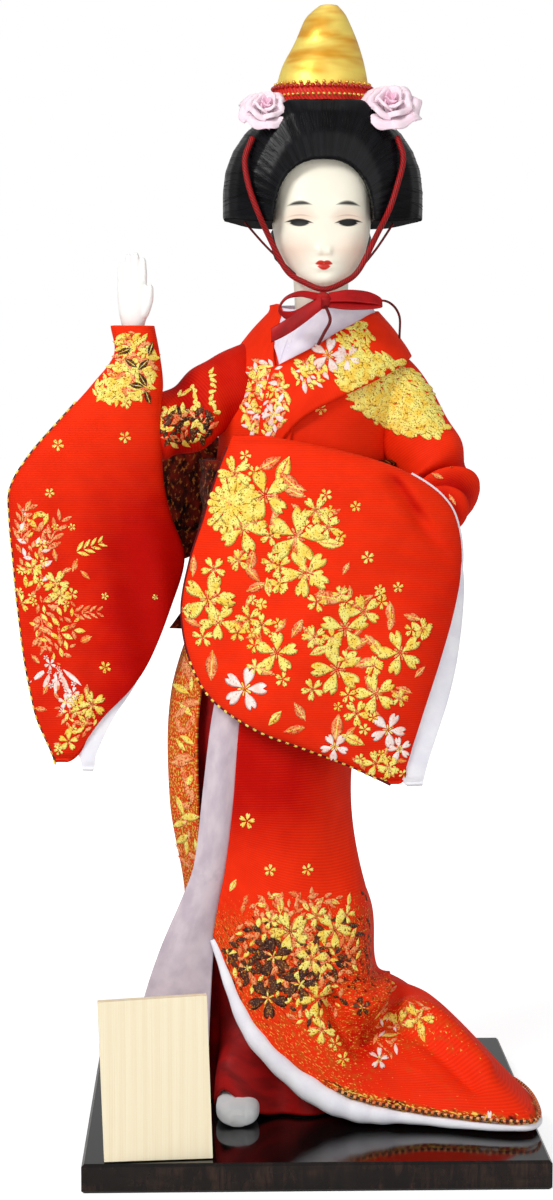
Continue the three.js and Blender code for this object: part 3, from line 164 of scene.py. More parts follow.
def centripetal(points: np.ndarray, count: int) -> np.ndarray:
    """Samples a centripetal curve through points, evenly by their index.

    Args:
        points: Array (..., n, 3) of points on the curve.
        count: How many samples come out.

    Returns:
        Array (..., count, 3).
    """
    p = np.asarray(points, float)
    n = p.shape[-2]
    before, after = 2 * p[..., :1, :] - p[..., 1:2, :], 2 * p[..., -1:, :] - p[..., -2:-1, :]
    p = np.concatenate([before, p, after], axis=-2)
    t = np.linspace(0, n - 1, count)
    k = np.clip(t.astype(int), 0, n - 2)
    f = (t - k)[:, None]
    a, b, c, d = (p[..., k + i, :] for i in range(4))

    def gap(u: np.ndarray, v: np.ndarray) -> np.ndarray:
        """Root of the distance between neighbours."""
        return np.maximum(np.linalg.norm(v - u, axis=-1, keepdims=True) ** 0.5, 1e-4)

    t0, t1, t2 = gap(a, b), gap(b, c), gap(c, d)
    m1 = ((b - a) / t0 - (c - a) / (t0 + t1) + (c - b) / t1) * t1
    m2 = ((c - b) / t1 - (d - b) / (t1 + t2) + (d - c) / t2) * t1
    return b + m1 * f + (-3 * b + 3 * c - 2 * m1 - m2) * f**2 + (2 * b - 2 * c + m1 + m2) * f**3


def ovals(rows: np.ndarray, sides: int, start: float = -90.0) -> Grid:
    """Level ovals from rows of [height, x, y, half width, half depth].

    Args:
        rows: The table.
        sides: Points round each oval.
        start: Angle of the first point in degrees; -90 is the front.

    Returns:
        Array (rows, sides, 3) in millimetres.
    """
    angle = circle(sides, start)
    h, x, y, rx, ry = (np.asarray(rows)[:, i, None] for i in range(5))
    return np.stack([x + rx * np.cos(angle), y + ry * np.sin(angle), h + 0 * angle], axis=-1)


def swept(path: np.ndarray, sides: int, across: np.ndarray | float, along: np.ndarray | float,
          up: Sequence[float]) -> Grid:
    """Ovals set square to a path.

    Args:
        path: Array (n, 3).
        sides: Points round each oval.
        across: Half size of each oval square to up.
        along: Half size of each oval towards up.
        up: The direction that the ovals keep.

    Returns:
        Array (n, sides, 3).
    """
    path = np.asarray(path, float)
    ahead = np.gradient(path, axis=0)
    ahead /= np.linalg.norm(ahead, axis=1, keepdims=True)
    side = np.cross(np.asarray(up, float), ahead)
    side /= np.maximum(np.linalg.norm(side, axis=1, keepdims=True), 1e-9)
    rise = np.cross(ahead, side)
    angle = circle(sides)[..., None]
    across = np.broadcast_to(np.asarray(across, float), len(path))[:, None, None]
    along = np.broadcast_to(np.asarray(along, float), len(path))[:, None, None]
    return path[:, None] + side[:, None] * np.cos(angle) * across + rise[:, None] * np.sin(angle) * along


# Meshes


def new_object(name: str, mesh: bpy.types.Mesh) -> bpy.types.Object:
    """Links a new object with that mesh to the scene."""
    obj = bpy.data.objects.new(name, mesh)
    bpy.context.scene.collection.objects.link(obj)
    return obj


def from_grid(name: str, grid: Grid, wrap: bool = False, flip: bool = False, caps: bool = False,
              cut: Grid | None = None, masks: Masks | None = None) -> bpy.types.Object:
    """Makes a mesh of quads over a grid of points.

    Args:
        name: Name of the object.
        grid: Array (rows, columns, 3) in metres.
        wrap: Joins the last column to the first.
        flip: Turns the faces over.
        caps: Closes the first and last row with a face.
        cut: Array (rows, columns (+1 when wrapped), 2), the place on the flat cloth in centimetres.
        masks: Named values for each point, array (rows, columns).

    Returns:
        The object.
    """
    rows, cols = grid.shape[:2]
    span = cols if wrap else cols - 1
    faces, places = [], []
    for r in range(rows - 1):
        for c in range(span):
            d = (c + 1) % cols
            face = [r * cols + c, r * cols + d, (r + 1) * cols + d, (r + 1) * cols + c]
            place = [(r, c), (r, c + 1), (r + 1, c + 1), (r + 1, c)]
            faces.append(face[::-1] if flip else face)
            places.append(place[::-1] if flip else place)
    if caps:
        first, last = list(range(cols)), list(range((rows - 1) * cols, rows * cols))
        faces += [first if flip else first[::-1], last[::-1] if flip else last]
        places += [[(0, 0)] * cols, [(rows - 1, 0)] * cols]
    mesh = bpy.data.meshes.new(name)
    mesh.from_pydata(grid.reshape(-1, 3).tolist(), [], faces)
    if cut is None:
        across = np.linalg.norm(np.diff(grid, axis=1), axis=-1).sum(1).max() / MM / 10
        down = np.linalg.norm(np.diff(grid, axis=0), axis=-1).sum(0).max() / MM / 10
        u, v = np.meshgrid(np.linspace(0, across, cols + 1), np.linspace(0, down, rows))
        cut = np.stack([u, v], axis=-1)
    layer = mesh.uv_layers.new(name=CUT_MAP)
    flat = np.array([cut[r, min(c, cut.shape[1] - 1)] for place in places for r, c in place], np.float32)
    layer.data.foreach_set("uv", flat.ravel())
    for key, values in (masks or {}).items():
        data = mesh.attributes.new(key, "FLOAT", "POINT").data
        data.foreach_set("value", np.asarray(values, np.float32).ravel())
    mesh.validate()
    return new_object(name, mesh)


def tidy(obj: bpy.types.Object, outward: bool = True, merge: float = 1e-6) -> bpy.types.Object:
    """Merges doubles, turns a closed mesh outwards and shades it smooth."""
    shape = bmesh.new()
    shape.from_mesh(obj.data)
    bmesh.ops.remove_doubles(shape, verts=shape.verts, dist=merge)
    bmesh.ops.dissolve_degenerate(shape, edges=shape.edges, dist=1e-7)
    if outward:
        bmesh.ops.recalc_face_normals(shape, faces=shape.faces)
    for face in shape.faces:
        face.smooth = True
    shape.to_mesh(obj.data)
    shape.free()
    return obj


def solid(name: str, rings: Grid, masks: Masks | None = None) -> bpy.types.Object:
    """A closed piece over rings of points in metres."""
    return tidy(from_grid(name, rings, wrap=True, caps=True, masks=masks))


def settle(obj: bpy.types.Object) -> bpy.types.Object:
    """Turns an object and its modifiers into a plain mesh."""
    deps = bpy.context.evaluated_depsgraph_get()
    shown = obj.evaluated_get(deps)
    mesh = bpy.data.meshes.new_from_object(shown, preserve_all_data_layers=True, depsgraph=deps)
    old, name = obj.data, obj.data.name
    obj.modifiers.clear()
    obj.data = mesh
    bpy.data.meshes.remove(old)
    mesh.name = name
    return obj


def thicken(obj: bpy.types.Object, thickness: float, offset: float = -1.0) -> bpy.types.Object:
    """Gives a sheet its thickness in millimetres, inwards unless offset says otherwise."""
    modifier = obj.modifiers.new("cloth", "SOLIDIFY")
    modifier.thickness = thickness * MM
    modifier.offset = offset
    modifier.use_even_offset = False
    modifier.use_rim = True
    settle(obj)
    return tidy(obj, outward=False, merge=1e-7)


def rounded(obj: bpy.types.Object, voxel: float, passes: int, factor: float = 0.5) -> bpy.types.Object:
    """Fuses an object's closed shells into one skin and softens it.

    Args:
        obj: The object.
        voxel: Voxel size in millimetres.
        passes: Smoothing passes.
        factor: Strength of each pass.

    Returns:
        The object.
    """
    fuse = obj.modifiers.new("fuse", "REMESH")
    fuse.mode = "VOXEL"
    fuse.voxel_size = voxel * MM
    fuse.use_smooth_shade = True
    ease = obj.modifiers.new("ease", "SMOOTH")
    ease.factor = factor
    ease.iterations = passes
    return settle(obj)


def remove(obj: bpy.types.Object) -> None:
    """Deletes an object and its mesh."""
    mesh = obj.data
    bpy.data.objects.remove(obj)
    bpy.data.meshes.remove(mesh)


def join(name: str, parts: Sequence[bpy.types.Object]) -> bpy.types.Object:
    """Joins objects into the first one and renames it."""
    keep = parts[0]
    shape = bmesh.new()
    for part in parts:
        shape.from_mesh(part.data)
    shape.to_mesh(keep.data)
    shape.free()
    for part in parts[1:]:
        remove(part)
    keep.name = keep.data.name = name
    return keep


def node_copy(name: str, node: str) -> bpy.types.Object:
    """A merged copy of a CAD node's mesh as a new object."""
    mesh = bpy.data.objects[node].data.copy()
    mesh.materials.clear()
    return tidy(new_object(name, mesh), outward=False, merge=1e-6)


def points_of(obj: bpy.types.Object) -> np.ndarray:
    """The object's vertices as an array."""
    co = np.empty(len(obj.data.vertices) * 3)
    obj.data.vertices.foreach_get("co", co)
    return co.reshape(-1, 3)


def set_points(obj: bpy.types.Object, points: np.ndarray) -> None:
    """Writes an array back to the object's vertices."""
    obj.data.vertices.foreach_set("co", np.asarray(points, float).ravel())
    obj.data.update()


def surface_of(obj: bpy.types.Object) -> BVHTree:
    """A tree for laying ornament on the object."""
    mesh = obj.data
    mesh.calc_loop_triangles()
    return BVHTree.FromPolygons([v.co.copy() for v in mesh.vertices],
                                [tuple(t.vertices) for t in mesh.loop_triangles])


# Shader nodes


def tint(red: float, green: float, blue: float) -> tuple[float, float, float, float]:
    """A colour from the display's 0 to 255 values."""
    def flat(v: float) -> float:
        """The linear value."""
        v /= 255
        return v / 12.92 if v <= 0.04045 else ((v + 0.055) / 1.055) ** 2.4
    return (flat(red), flat(green), flat(blue), 1.0)


class Net:
    """Adds linked nodes to one node tree."""

    def __init__(self, tree: bpy.types.NodeTree) -> None:
        """Keeps the tree."""
        self.tree = tree

    def add(self, kind: str, values: dict | None = None, **settings: object) -> bpy.types.Node:
        """Adds a node.

        Args:
            kind: The node's type.
            values: Sockets to set, by name or index, to a value or to another node's output.
            **settings: Properties of the node.

        Returns:
            The node.
        """
        node = self.tree.nodes.new(kind)
        for key, value in settings.items():
            setattr(node, key, value)
        return self.plug(node, values or {})

    def plug(self, node: bpy.types.Node, values: dict) -> bpy.types.Node:
        """Sets or links inputs of a node by index or name, with _ for a space."""
        for key, value in values.items():
            socket = node.inputs[key.replace("_", " ") if isinstance(key, str) else key]
            if isinstance(value, bpy.types.NodeSocket):
                self.tree.links.new(value, socket)
            else:
                socket.default_value = value
        return node

    def math(self, operation: str, *values: object) -> bpy.types.NodeSocket:
        """One Math node's output."""
        return self.add("ShaderNodeMath", dict(enumerate(values)), operation=operation).outputs[0]

    def mix(self, factor: object, first: object, second: object) -> bpy.types.NodeSocket:
        """A colour between two colours."""
        return self.add("ShaderNodeMix", {0: factor, 6: first, 7: second}, data_type="RGBA").outputs[2]

    def ramp(self, value: object, low: float, high: float, to_low: float = 0.0,
             to_high: float = 1.0) -> bpy.types.NodeSocket:
        """A soft ramp of a value."""
        return self.add("ShaderNodeMapRange", {0: value, 1: low, 2: high, 3: to_low, 4: to_high},
                        interpolation_type="SMOOTHSTEP").outputs[0]

    def noise(self, place: object, scale: float, detail: float = 2.0, rough: float = 0.5,
              warp: float = 0.0) -> bpy.types.NodeSocket:
        """A noise value round 0.5."""
        return self.add("ShaderNodeTexNoise", {"Vector": place, "Scale": scale, "Detail": detail,
                                               "Roughness": rough, "Distortion": warp}).outputs["Fac"]

    def scaled(self, place: object, scale: Sequence[float], turn: Sequence[float] = (0, 0, 0),
               shift: Sequence[float] = (0, 0, 0)) -> bpy.types.NodeSocket:
        """A place stretched, turned and shifted."""
        return self.add("ShaderNodeMapping", {"Vector": place, "Location": shift, "Rotation": turn,
                                              "Scale": scale}).outputs[0]

    def group(self, tree: bpy.types.NodeTree, **values: object) -> bpy.types.Node:
        """Places a shader group."""
        return self.plug(self.add("ShaderNodeGroup", node_tree=tree), values)

    def parts(self, vector: object) -> Sequence[bpy.types.NodeSocket]:
        """A vector's three values."""
        return self.add("ShaderNodeSeparateXYZ", {0: vector}).outputs

    def facing_up(self) -> bpy.types.NodeSocket:
        """How far the surface faces up, from -1 to 1."""
        return self.parts(self.add("ShaderNodeNewGeometry").outputs["Normal"])[2]

    def attribute(self, name: str) -> bpy.types.NodeSocket:
        """A mesh attribute's value."""
        return self.add("ShaderNodeAttribute", attribute_name=name).outputs["Fac"]

    def cut(self) -> bpy.types.NodeSocket:
        """The place on the flat cloth, in centimetres."""
        return self.add("ShaderNodeUVMap", uv_map=CUT_MAP).outputs[0]

    def object(self) -> bpy.types.NodeSocket:
        """The object's own coordinates, in metres."""
        return self.add("ShaderNodeTexCoord").outputs["Object"]


class Effects:
    """Shader groups that several finishes share, each built once."""

    @staticmethod
    def start(name: str, **defaults: float) -> tuple:
        """Opens a new group with a Place and some values as its inputs.

        Args:
            name: The group's name.
            **defaults: Each value's default, by its name with _ for a space.

        Returns:
            The Net and the inputs' sockets.
        """
        tree = bpy.data.node_groups.new(name, "ShaderNodeTree")
        tree.interface.new_socket("Place", in_out="INPUT", socket_type="NodeSocketVector")
        for key, value in defaults.items():
            socket = tree.interface.new_socket(key.replace("_", " "), in_out="INPUT",
                                               socket_type="NodeSocketFloat")
            socket.default_value = value
        net = Net(tree)
        return net, net.add("NodeGroupInput").outputs

    @staticmethod
    def end(net: Net, **values: bpy.types.NodeSocket) -> bpy.types.NodeTree:
        """Closes a group with its outputs by name."""
        for key in values:
            net.tree.interface.new_socket(key, in_out="OUTPUT", socket_type="NodeSocketFloat")
        net.add("NodeGroupOutput", values)
        return net.tree

    @staticmethod
    @cache
    def weave() -> bpy.types.NodeTree:
        """Threads crossing over and under, with a slow change of shade."""
        net, i = Effects.start("weave", Threads=18.0, Slub=0.3, Rib=0.0)
        x, y, _ = net.parts(i["Place"])
        turn = net.math("MULTIPLY", i["Threads"], math.pi)
        warp = net.math("SINE", net.math("MULTIPLY", x, turn))
        weft = net.math("SINE", net.math("MULTIPLY", y, turn))
        cross = net.math("MULTIPLY_ADD", net.math("MULTIPLY", warp, weft), 0.5, 0.5)
        groove = net.math("MULTIPLY_ADD", weft, 0.5, 0.5)
        cross = net.math("MULTIPLY_ADD", i["Rib"], net.math("SUBTRACT", groove, cross), cross)
        long = net.noise(net.scaled(i["Place"], (2.5, 34, 1)), 1.0, 2.0)
        wide = net.noise(net.scaled(i["Place"], (34, 2.5, 1)), 1.0, 2.0)
        slub = net.math("MULTIPLY", net.math("ADD", long, wide), 0.5)
        height = net.math("MULTIPLY_ADD", i["Slub"], net.math("SUBTRACT", slub, cross), cross)
        shade = net.ramp(net.noise(i["Place"], 1.3, 4.0), 0.3, 0.7)
        return Effects.end(net, Height=height, Shade=shade, Groove=groove)

    @staticmethod
    @cache
    def specks() -> bpy.types.NodeTree:
        """Broken flecks of coloured thread."""
        net, i = Effects.start("specks", Scale=9.0, Cover=0.5, Edge=0.04)
        grain = net.noise(i["Place"], i["Scale"], 3.0, 0.6)
        limit = net.add("ShaderNodeMapRange", {0: i["Cover"], 1: 0.0, 2: 1.0, 3: 0.74, 4: 0.26}).outputs[0]
        over = net.math("SUBTRACT", grain, limit)
        mask = net.math("DIVIDE", net.math("ADD", over, i["Edge"]), net.math("MULTIPLY", i["Edge"], 2.0))
        return Effects.end(net, Mask=net.add("ShaderNodeClamp", {0: mask}).outputs[0])

    @staticmethod
    @cache
    def grain() -> bpy.types.NodeTree:
        """Long wood grain with fine pores along one way."""
        net, i = Effects.start("grain", Bands=5.0)
        slow = net.noise(i["Place"], 0.7, 3.0)
        across = net.math("MULTIPLY", net.parts(i["Place"])[0], i["Bands"])
        figure = net.math("SINE", net.math("MULTIPLY_ADD", slow, 5.0, across))
        figure = net.ramp(net.math("MULTIPLY_ADD", figure, 0.5, 0.5), 0.1, 1.0)
        pores = net.noise(net.scaled(i["Place"], (30, 30, 1.6)), 1.0, 3.0)
        return Effects.end(net, Figure=figure, Pores=net.ramp(pores, 0.45, 0.7))

    @staticmethod
    @cache
    def strands() -> bpy.types.NodeTree:
        """Fine strands across the first coordinate that wander slowly along the second."""
        net, i = Effects.start("strands", Count=40.0)
        x, y, _ = net.parts(i["Place"])
        fine = net.add("ShaderNodeCombineXYZ", {0: net.math("MULTIPLY", x, i["Count"]),
                                                1: net.math("MULTIPLY", y, 0.8)}).outputs[0]
        shade = net.ramp(net.noise(fine, 0.22, 2.0), 0.35, 0.65)
        return Effects.end(net, Height=net.noise(fine, 1.0, 2.0, 0.6), Shade=shade)

    @staticmethod
    @cache
    def brush() -> bpy.types.NodeTree:
        """A painted almond stroke seen from the front, tilted and bent."""
        net, i = Effects.start("brush", Across=0.0, Up=0.0, Half_width=1.0, Half_height=0.5, Tilt=0.0,
                               Bend=0.0, Soft=0.2)
        x, _, z = net.parts(i["Place"])
        dx = net.math("SUBTRACT", x, i["Across"])
        dz = net.math("SUBTRACT", z, i["Up"])
        run = net.math("ADD", dx, net.math("MULTIPLY", dz, i["Tilt"]))
        rise = net.math("SUBTRACT", dz, net.math("MULTIPLY", dx, i["Tilt"]))
        part = net.math("DIVIDE", run, i["Half width"])
        square = net.math("MULTIPLY", part, part)
        bent = net.math("ABSOLUTE", net.math("MULTIPLY_ADD", i["Bend"], square, rise))
        edge = net.math("MULTIPLY", i["Half height"], net.math("SUBTRACT", 1.0, square))
        inside = net.math("DIVIDE", net.math("SUBTRACT", edge, bent), i["Soft"])
        return Effects.end(net, Mask=net.add("ShaderNodeClamp", {0: inside}).outputs[0])


# Finishes

Tint = tuple[float, float, float, float]


@dataclass(frozen=True)
class Finish:
    """A surface finish that makes its material once."""

    name: str

    def material(self) -> bpy.types.Material:
        """The finish's material."""
        made = bpy.data.materials.get(self.name)
        if made is None:
            made = bpy.data.materials.new(self.name)
            made.use_nodes = True
            self.mix(Net(made.node_tree), made.node_tree.nodes["Principled BSDF"])
        return made

    def mix(self, net: Net, bsdf: bpy.types.Node) -> None:
        """Wires the finish's nodes."""
        raise NotImplementedError

    def dress(self, obj: bpy.types.Object) -> bpy.types.Object:
        """Puts the finish on an object."""
        obj.data.materials.clear()
        obj.data.materials.append(self.material())
        return obj

    @staticmethod
    def feed(net: Net, bsdf: bpy.types.Node, **values: object) -> None:
        """Sets or links sockets of the shader by name."""
        net.plug(bsdf, values)

    @staticmethod
    def relief(net: Net, height: bpy.types.NodeSocket, strength: float, depth: float) -> bpy.types.NodeSocket:
        """A bump normal; depth is in millimetres."""
        return net.add("ShaderNodeBump", {"Height": height, "Strength": strength,
                                          "Distance": depth * MM}).outputs[0]


@dataclass(frozen=True)
class Lacquer(Finish):
    """Black lacquer, with brown wood showing through along the board's sides."""

    face: Tint = tint(14, 12, 12)
    side: Tint = tint(58, 40, 30)

    def mix(self, net: Net, bsdf: bpy.types.Node) -> None:
        """Wires the finish's nodes."""
        place = net.object()
        edge = net.ramp(net.math("ABSOLUTE", net.facing_up()), 0.9, 0.5)
        streaks = net.noise(net.scaled(place, (420, 420, 90)), 1.0, 4.0, 0.6, 0.8)
        smudge = net.noise(net.scaled(place, (60, 60, 260)), 1.0, 3.0)
        brown = net.mix(net.ramp(streaks, 0.4, 0.75), tint(20, 13, 11), self.side)
        brown = net.mix(net.ramp(smudge, 0.35, 0.65, 0.0, 0.8), brown, tint(16, 11, 10))
        haze = net.noise(place, 60, 4.0)
        self.feed(net, bsdf, Base_Color=net.mix(edge, self.face, brown), IOR=1.5, Specular_IOR_Level=0.28,
                  Roughness=net.ramp(net.math("MULTIPLY_ADD", edge, 0.4, haze), 0.3, 1.2, 0.05, 0.32))


@dataclass(frozen=True)
class Wood(Finish):
    """Planed pale wood."""

    early: Tint = tint(252, 240, 208)
    late: Tint = tint(229, 203, 150)
    bands: float = 9.0
    stretch: tuple[float, float, float] = (230, 230, 14)

    def mix(self, net: Net, bsdf: bpy.types.Node) -> None:
        """Wires the finish's nodes."""
        place = net.scaled(net.object(), self.stretch)
        wood = net.group(Effects.grain(), Place=place, Bands=self.bands).outputs
        colour = net.mix(net.math("MULTIPLY", wood["Figure"], 0.12), self.early, self.late)
        colour = net.mix(net.math("MULTIPLY", wood["Pores"], 0.22), colour, self.late)
        self.feed(net, bsdf, Base_Color=colour, Roughness=net.ramp(wood["Pores"], 0, 1, 0.5, 0.7),
                  Normal=self.relief(net, wood["Pores"], 0.3, 0.08))


@dataclass(frozen=True)
class Plain(Finish):
    """A plain mottled finish for pieces inside the doll."""

    light: Tint = tint(200, 178, 120)
    dark: Tint = tint(160, 130, 80)
    scale: float = 300.0
    rough: float = 0.8
    metal: float = 0.0

    def mix(self, net: Net, bsdf: bpy.types.Node) -> None:
        """Wires the finish's nodes."""
        mottle = net.noise(net.object(), self.scale, 4.0)
        self.feed(net, bsdf, Base_Color=net.mix(net.ramp(mottle, 0.3, 0.7), self.light, self.dark),
                  Metallic=self.metal, Roughness=net.ramp(mottle, 0.3, 0.7, self.rough, self.rough * 0.8),
                  Normal=self.relief(net, mottle, 0.2, 0.1))


@dataclass(frozen=True)
class Brocade(Finish):
    """Figured cloth: a ground weave with zones of gold and dark thread given by mesh masks, and painted shade
    in its grooves and where the deep mask asks.
    """

    ground: Tint = tint(252, 52, 14)
    shade: Tint = tint(184, 6, 1)
    gold: Tint = tint(238, 196, 84)
    ember: Tint = tint(206, 78, 18)
    dark: Tint = tint(62, 22, 14)
    threads: float = 34.0
    fleck: float = 15.0
    rough: float = 0.62

    def mix(self, net: Net, bsdf: bpy.types.Node) -> None:
        """Wires the finish's nodes."""
        cut = net.cut()
        weave = net.group(Effects.weave(), Place=cut, Threads=self.threads, Slub=0.35, Rib=0.7).outputs
        # Painted shade: darker in the weave's grooves and where the deep mask is, over a slow random change
        # of tone.
        painted_shade_and_tone = net.math("MULTIPLY_ADD", weave["Groove"], 0.22, net.math("MULTIPLY", weave["Shade"], 0.14))
        painted_shade_and_tone = net.math("MULTIPLY_ADD", net.attribute("deep"), 0.8, painted_shade_and_tone)
        ground = net.mix(painted_shade_and_tone, self.ground, self.shade)
        gilded, inked = net.attribute("gilded"), net.attribute("inked")

        def specks(shift: tuple[float, float, float], scale: float, cover: object,
                   edge: float) -> bpy.types.NodeSocket:
            """Flecks from one part of the pattern."""
            return net.group(Effects.specks(), Place=net.scaled(cut, (1, 1, 1), shift=shift), Scale=scale,
                             Cover=cover, Edge=edge).outputs[0]

        ember = specks((0, 0, 0), self.fleck * 0.3, net.math("MULTIPLY", gilded, 0.9), 0.12)
        gold = specks((3.1, 7.7, 0), self.fleck, net.math("MULTIPLY", gilded, 0.62), 0.03)
        ink = specks((11.3, 2.9, 0), self.fleck * 0.3, inked, 0.08)
        colour = net.mix(net.math("MULTIPLY", ember, net.ramp(gilded, 0.0, 0.2)), ground, self.ember)
        colour = net.mix(net.math("MULTIPLY", ink, net.ramp(inked, 0.0, 0.15)), colour, self.dark)
        shown = net.math("MULTIPLY", gold, net.ramp(gilded, 0.0, 0.15))
        colour = net.mix(shown, colour, self.gold)
        raised = net.math("MULTIPLY_ADD", shown, 1.2, weave["Height"])
        self.feed(net, bsdf, Base_Color=colour, Metallic=net.math("MULTIPLY", shown, 0.2),
                  Roughness=net.ramp(shown, 0, 1, self.rough, 0.45), Specular_IOR_Level=0.06,
                  Normal=self.relief(net, raised, 0.3, 0.1))


@dataclass(frozen=True)
class Cloth(Finish):
    """Plain woven cloth or satin."""

    ground: Tint = tint(238, 234, 244)
    shade: Tint = tint(222, 214, 236)
    threads: float = 26.0
    rough: float = 0.8
    sheen: float = 0.1
    relief_depth: float = 0.05

    def mix(self, net: Net, bsdf: bpy.types.Node) -> None:
        """Wires the finish's nodes."""
        weave = net.group(Effects.weave(), Place=net.cut(), Threads=self.threads, Slub=0.4).outputs
        self.feed(net, bsdf, Base_Color=net.mix(weave["Shade"], self.ground, self.shade),
                  Roughness=net.ramp(weave["Height"], 0, 1, self.rough + 0.08, self.rough - 0.06),
                  Sheen_Weight=self.sheen, Sheen_Roughness=0.45, Specular_IOR_Level=0.25,
                  Normal=self.relief(net, weave["Height"], 0.3, self.relief_depth))


@dataclass(frozen=True)
class Yarn(Finish):
    """Floating threads of the woven ornament, with flecks of the ground between them."""

    light: Tint = tint(255, 243, 128)
    low: Tint = tint(255, 212, 74)
    fleck: Tint = tint(150, 76, 18)
    cover: float = 0.3
    metal: float = 0.0

    def mix(self, net: Net, bsdf: bpy.types.Node) -> None:
        """Wires the finish's nodes."""
        place = net.object()
        gap = net.group(Effects.specks(), Place=place, Scale=2300.0, Cover=self.cover, Edge=0.05).outputs[0]
        cloud = net.ramp(net.noise(place, 420, 2.0), 0.38, 0.68)
        colour = net.mix(gap, net.mix(cloud, self.light, self.low), self.fleck)
        self.feed(net, bsdf, Base_Color=colour, Specular_IOR_Level=0.25,
                  Metallic=net.ramp(gap, 0, 1, self.metal, 0.0), Roughness=net.ramp(gap, 0, 1, 0.48, 0.7),
                  Normal=self.relief(net, gap, 0.2, -0.05))


@dataclass(frozen=True)
class Porcelain(Finish):
    """Smooth pale skin, with a painted face where the piece is the head."""

    skin: Tint = tint(252, 246, 228)
    blush: Tint = tint(240, 190, 165)
    painted: bool = False

    def mix(self, net: Net, bsdf: bpy.types.Node) -> None:
        """Wires the finish's nodes."""
        place = net.object()
        soft = net.noise(place, 90, 3.0)
        colour = net.mix(net.ramp(soft, 0.3, 0.7, 0.0, 0.25), self.skin, tint(246, 236, 212))
        if self.painted:
            colour = self.face(net, place, colour)
        self.feed(net, bsdf, Base_Color=colour, Roughness=net.ramp(soft, 0.3, 0.7, 0.3, 0.38),
                  Specular_IOR_Level=0.3, Coat_Weight=0.06, Coat_Roughness=0.3,
                  Normal=self.relief(net, net.noise(place, 700, 2.0), 0.05, 0.05))

    def face(self, net: Net, place: bpy.types.NodeSocket, colour: object) -> bpy.types.NodeSocket:
        """Paints blush, brows, eyes and lips, and a painted shadow under the nose, on the front of the head.

        Args:
            net: The material's nodes.
            place: Object coordinates.
            colour: The skin below the paint.

        Returns:
            The painted colour.
        """
        middle, level = FACE_MIDDLE * MM, BOARD_TOP * MM
        front = net.ramp(net.parts(place)[1], -0.004, -0.008)

        def stroke(under: object, paint: Tint, x: float, h: float, wide: float, tall: float,
                   tilt: float = 0.0, bend: float = 0.0, soft: float = 0.25,
                   strength: float = 1.0) -> bpy.types.NodeSocket:
            """One stroke of paint; lengths in millimetres, x from the middle of the face."""
            mask = net.group(Effects.brush(), Place=place, Across=middle + x * MM, Up=level + h * MM,
                             Half_width=wide * MM, Half_height=tall * MM, Tilt=tilt, Bend=bend * MM,
                             Soft=soft * MM).outputs[0]
            return net.mix(net.math("MULTIPLY", net.math("MULTIPLY", mask, front), strength), under, paint)

        ink, lid, lip = tint(5, 3, 3), tint(150, 100, 84), tint(206, 44, 26)
        for side in (-1, 1):
            colour = stroke(colour, self.blush, side * 7.4, 228.6, 6.5, 5.5, 0, 0, 5.0, 0.4)
            colour = stroke(colour, self.blush, side * 6.2, 237.0, 5.4, 3.4, 0, 0, 3.0, 0.42)
        for side in (-1, 1):
            colour = stroke(colour, ink, side * 6.3, 240.7, 3.6, 0.78, side * -0.03, 0.8, 0.5, 0.95)
            colour = stroke(colour, lid, side * 6.3, 237.6, 3.9, 0.3, 0, 0.8, 0.4, 0.5)
            colour = stroke(colour, tint(236, 226, 212), side * 6.4, 235.5, 3.6, 0.85, side * 0.04, 0.2, 0.2)
            colour = stroke(colour, ink, side * 6.35, 235.6, 2.7, 1.02, side * 0.03, 0.15, 0.25)
            colour = stroke(colour, ink, side * 6.4, 236.2, 4.1, 0.62, side * 0.05, 0.66, 0.25)
            colour = stroke(colour, ink, side * 6.4, 234.85, 3.0, 0.22, side * 0.04, -0.3, 0.25, 0.75)
        # Painted shadow under the nose.
        colour = stroke(colour, tint(214, 178, 150), 0, 227.3, 2.0, 0.6, 0, -0.3, 0.6, 0.45)
        for side in (-1, 1):
            colour = stroke(colour, lip, side * 1.0, 225.3, 1.45, 0.72, side * -0.2, 0.1, 0.25)
        colour = stroke(colour, lip, 0, 224.3, 1.85, 1.0, 0, -0.1, 0.3)
        colour = stroke(colour, tint(140, 22, 16), 0, 224.95, 2.2, 0.2, 0, -0.2, 0.2, 0.8)
        return colour


@dataclass(frozen=True)
class Hair(Finish):
    """Combed black hair; strands run out from the hairline as seen from the front."""

    light: Tint = tint(12, 12, 16)
    dark: Tint = tint(3, 3, 5)
    count: float = 46.0

    def mix(self, net: Net, bsdf: bpy.types.Node) -> None:
        """Wires the finish's nodes."""
        x, _, z = net.parts(net.object())
        x = net.math("SUBTRACT", x, HAIR_CENTRE[0] * MM)
        z = net.math("SUBTRACT", z, (HAIR_CENTRE[1] + BOARD_TOP) * MM)
        angle = net.math("ARCTAN2", x, z)
        square = net.math("ADD", net.math("MULTIPLY", x, x), net.math("MULTIPLY", z, z))
        out = net.math("MULTIPLY", net.math("SQRT", square), 60.0)
        place = net.add("ShaderNodeCombineXYZ", {0: angle, 1: out}).outputs[0]
        strands = net.group(Effects.strands(), Place=place, Count=self.count).outputs
        below = net.ramp(net.facing_up(), -0.35, -0.75, 0.0, 0.65)
        self.feed(net, bsdf, Base_Color=net.mix(strands["Shade"], self.dark, self.light),
                  Roughness=net.math("ADD", below, net.ramp(strands["Height"], 0.3, 0.7, 0.24, 0.34)),
                  Specular_IOR_Level=0.14,
                  Normal=self.relief(net, strands["Height"], 0.3, 0.12))


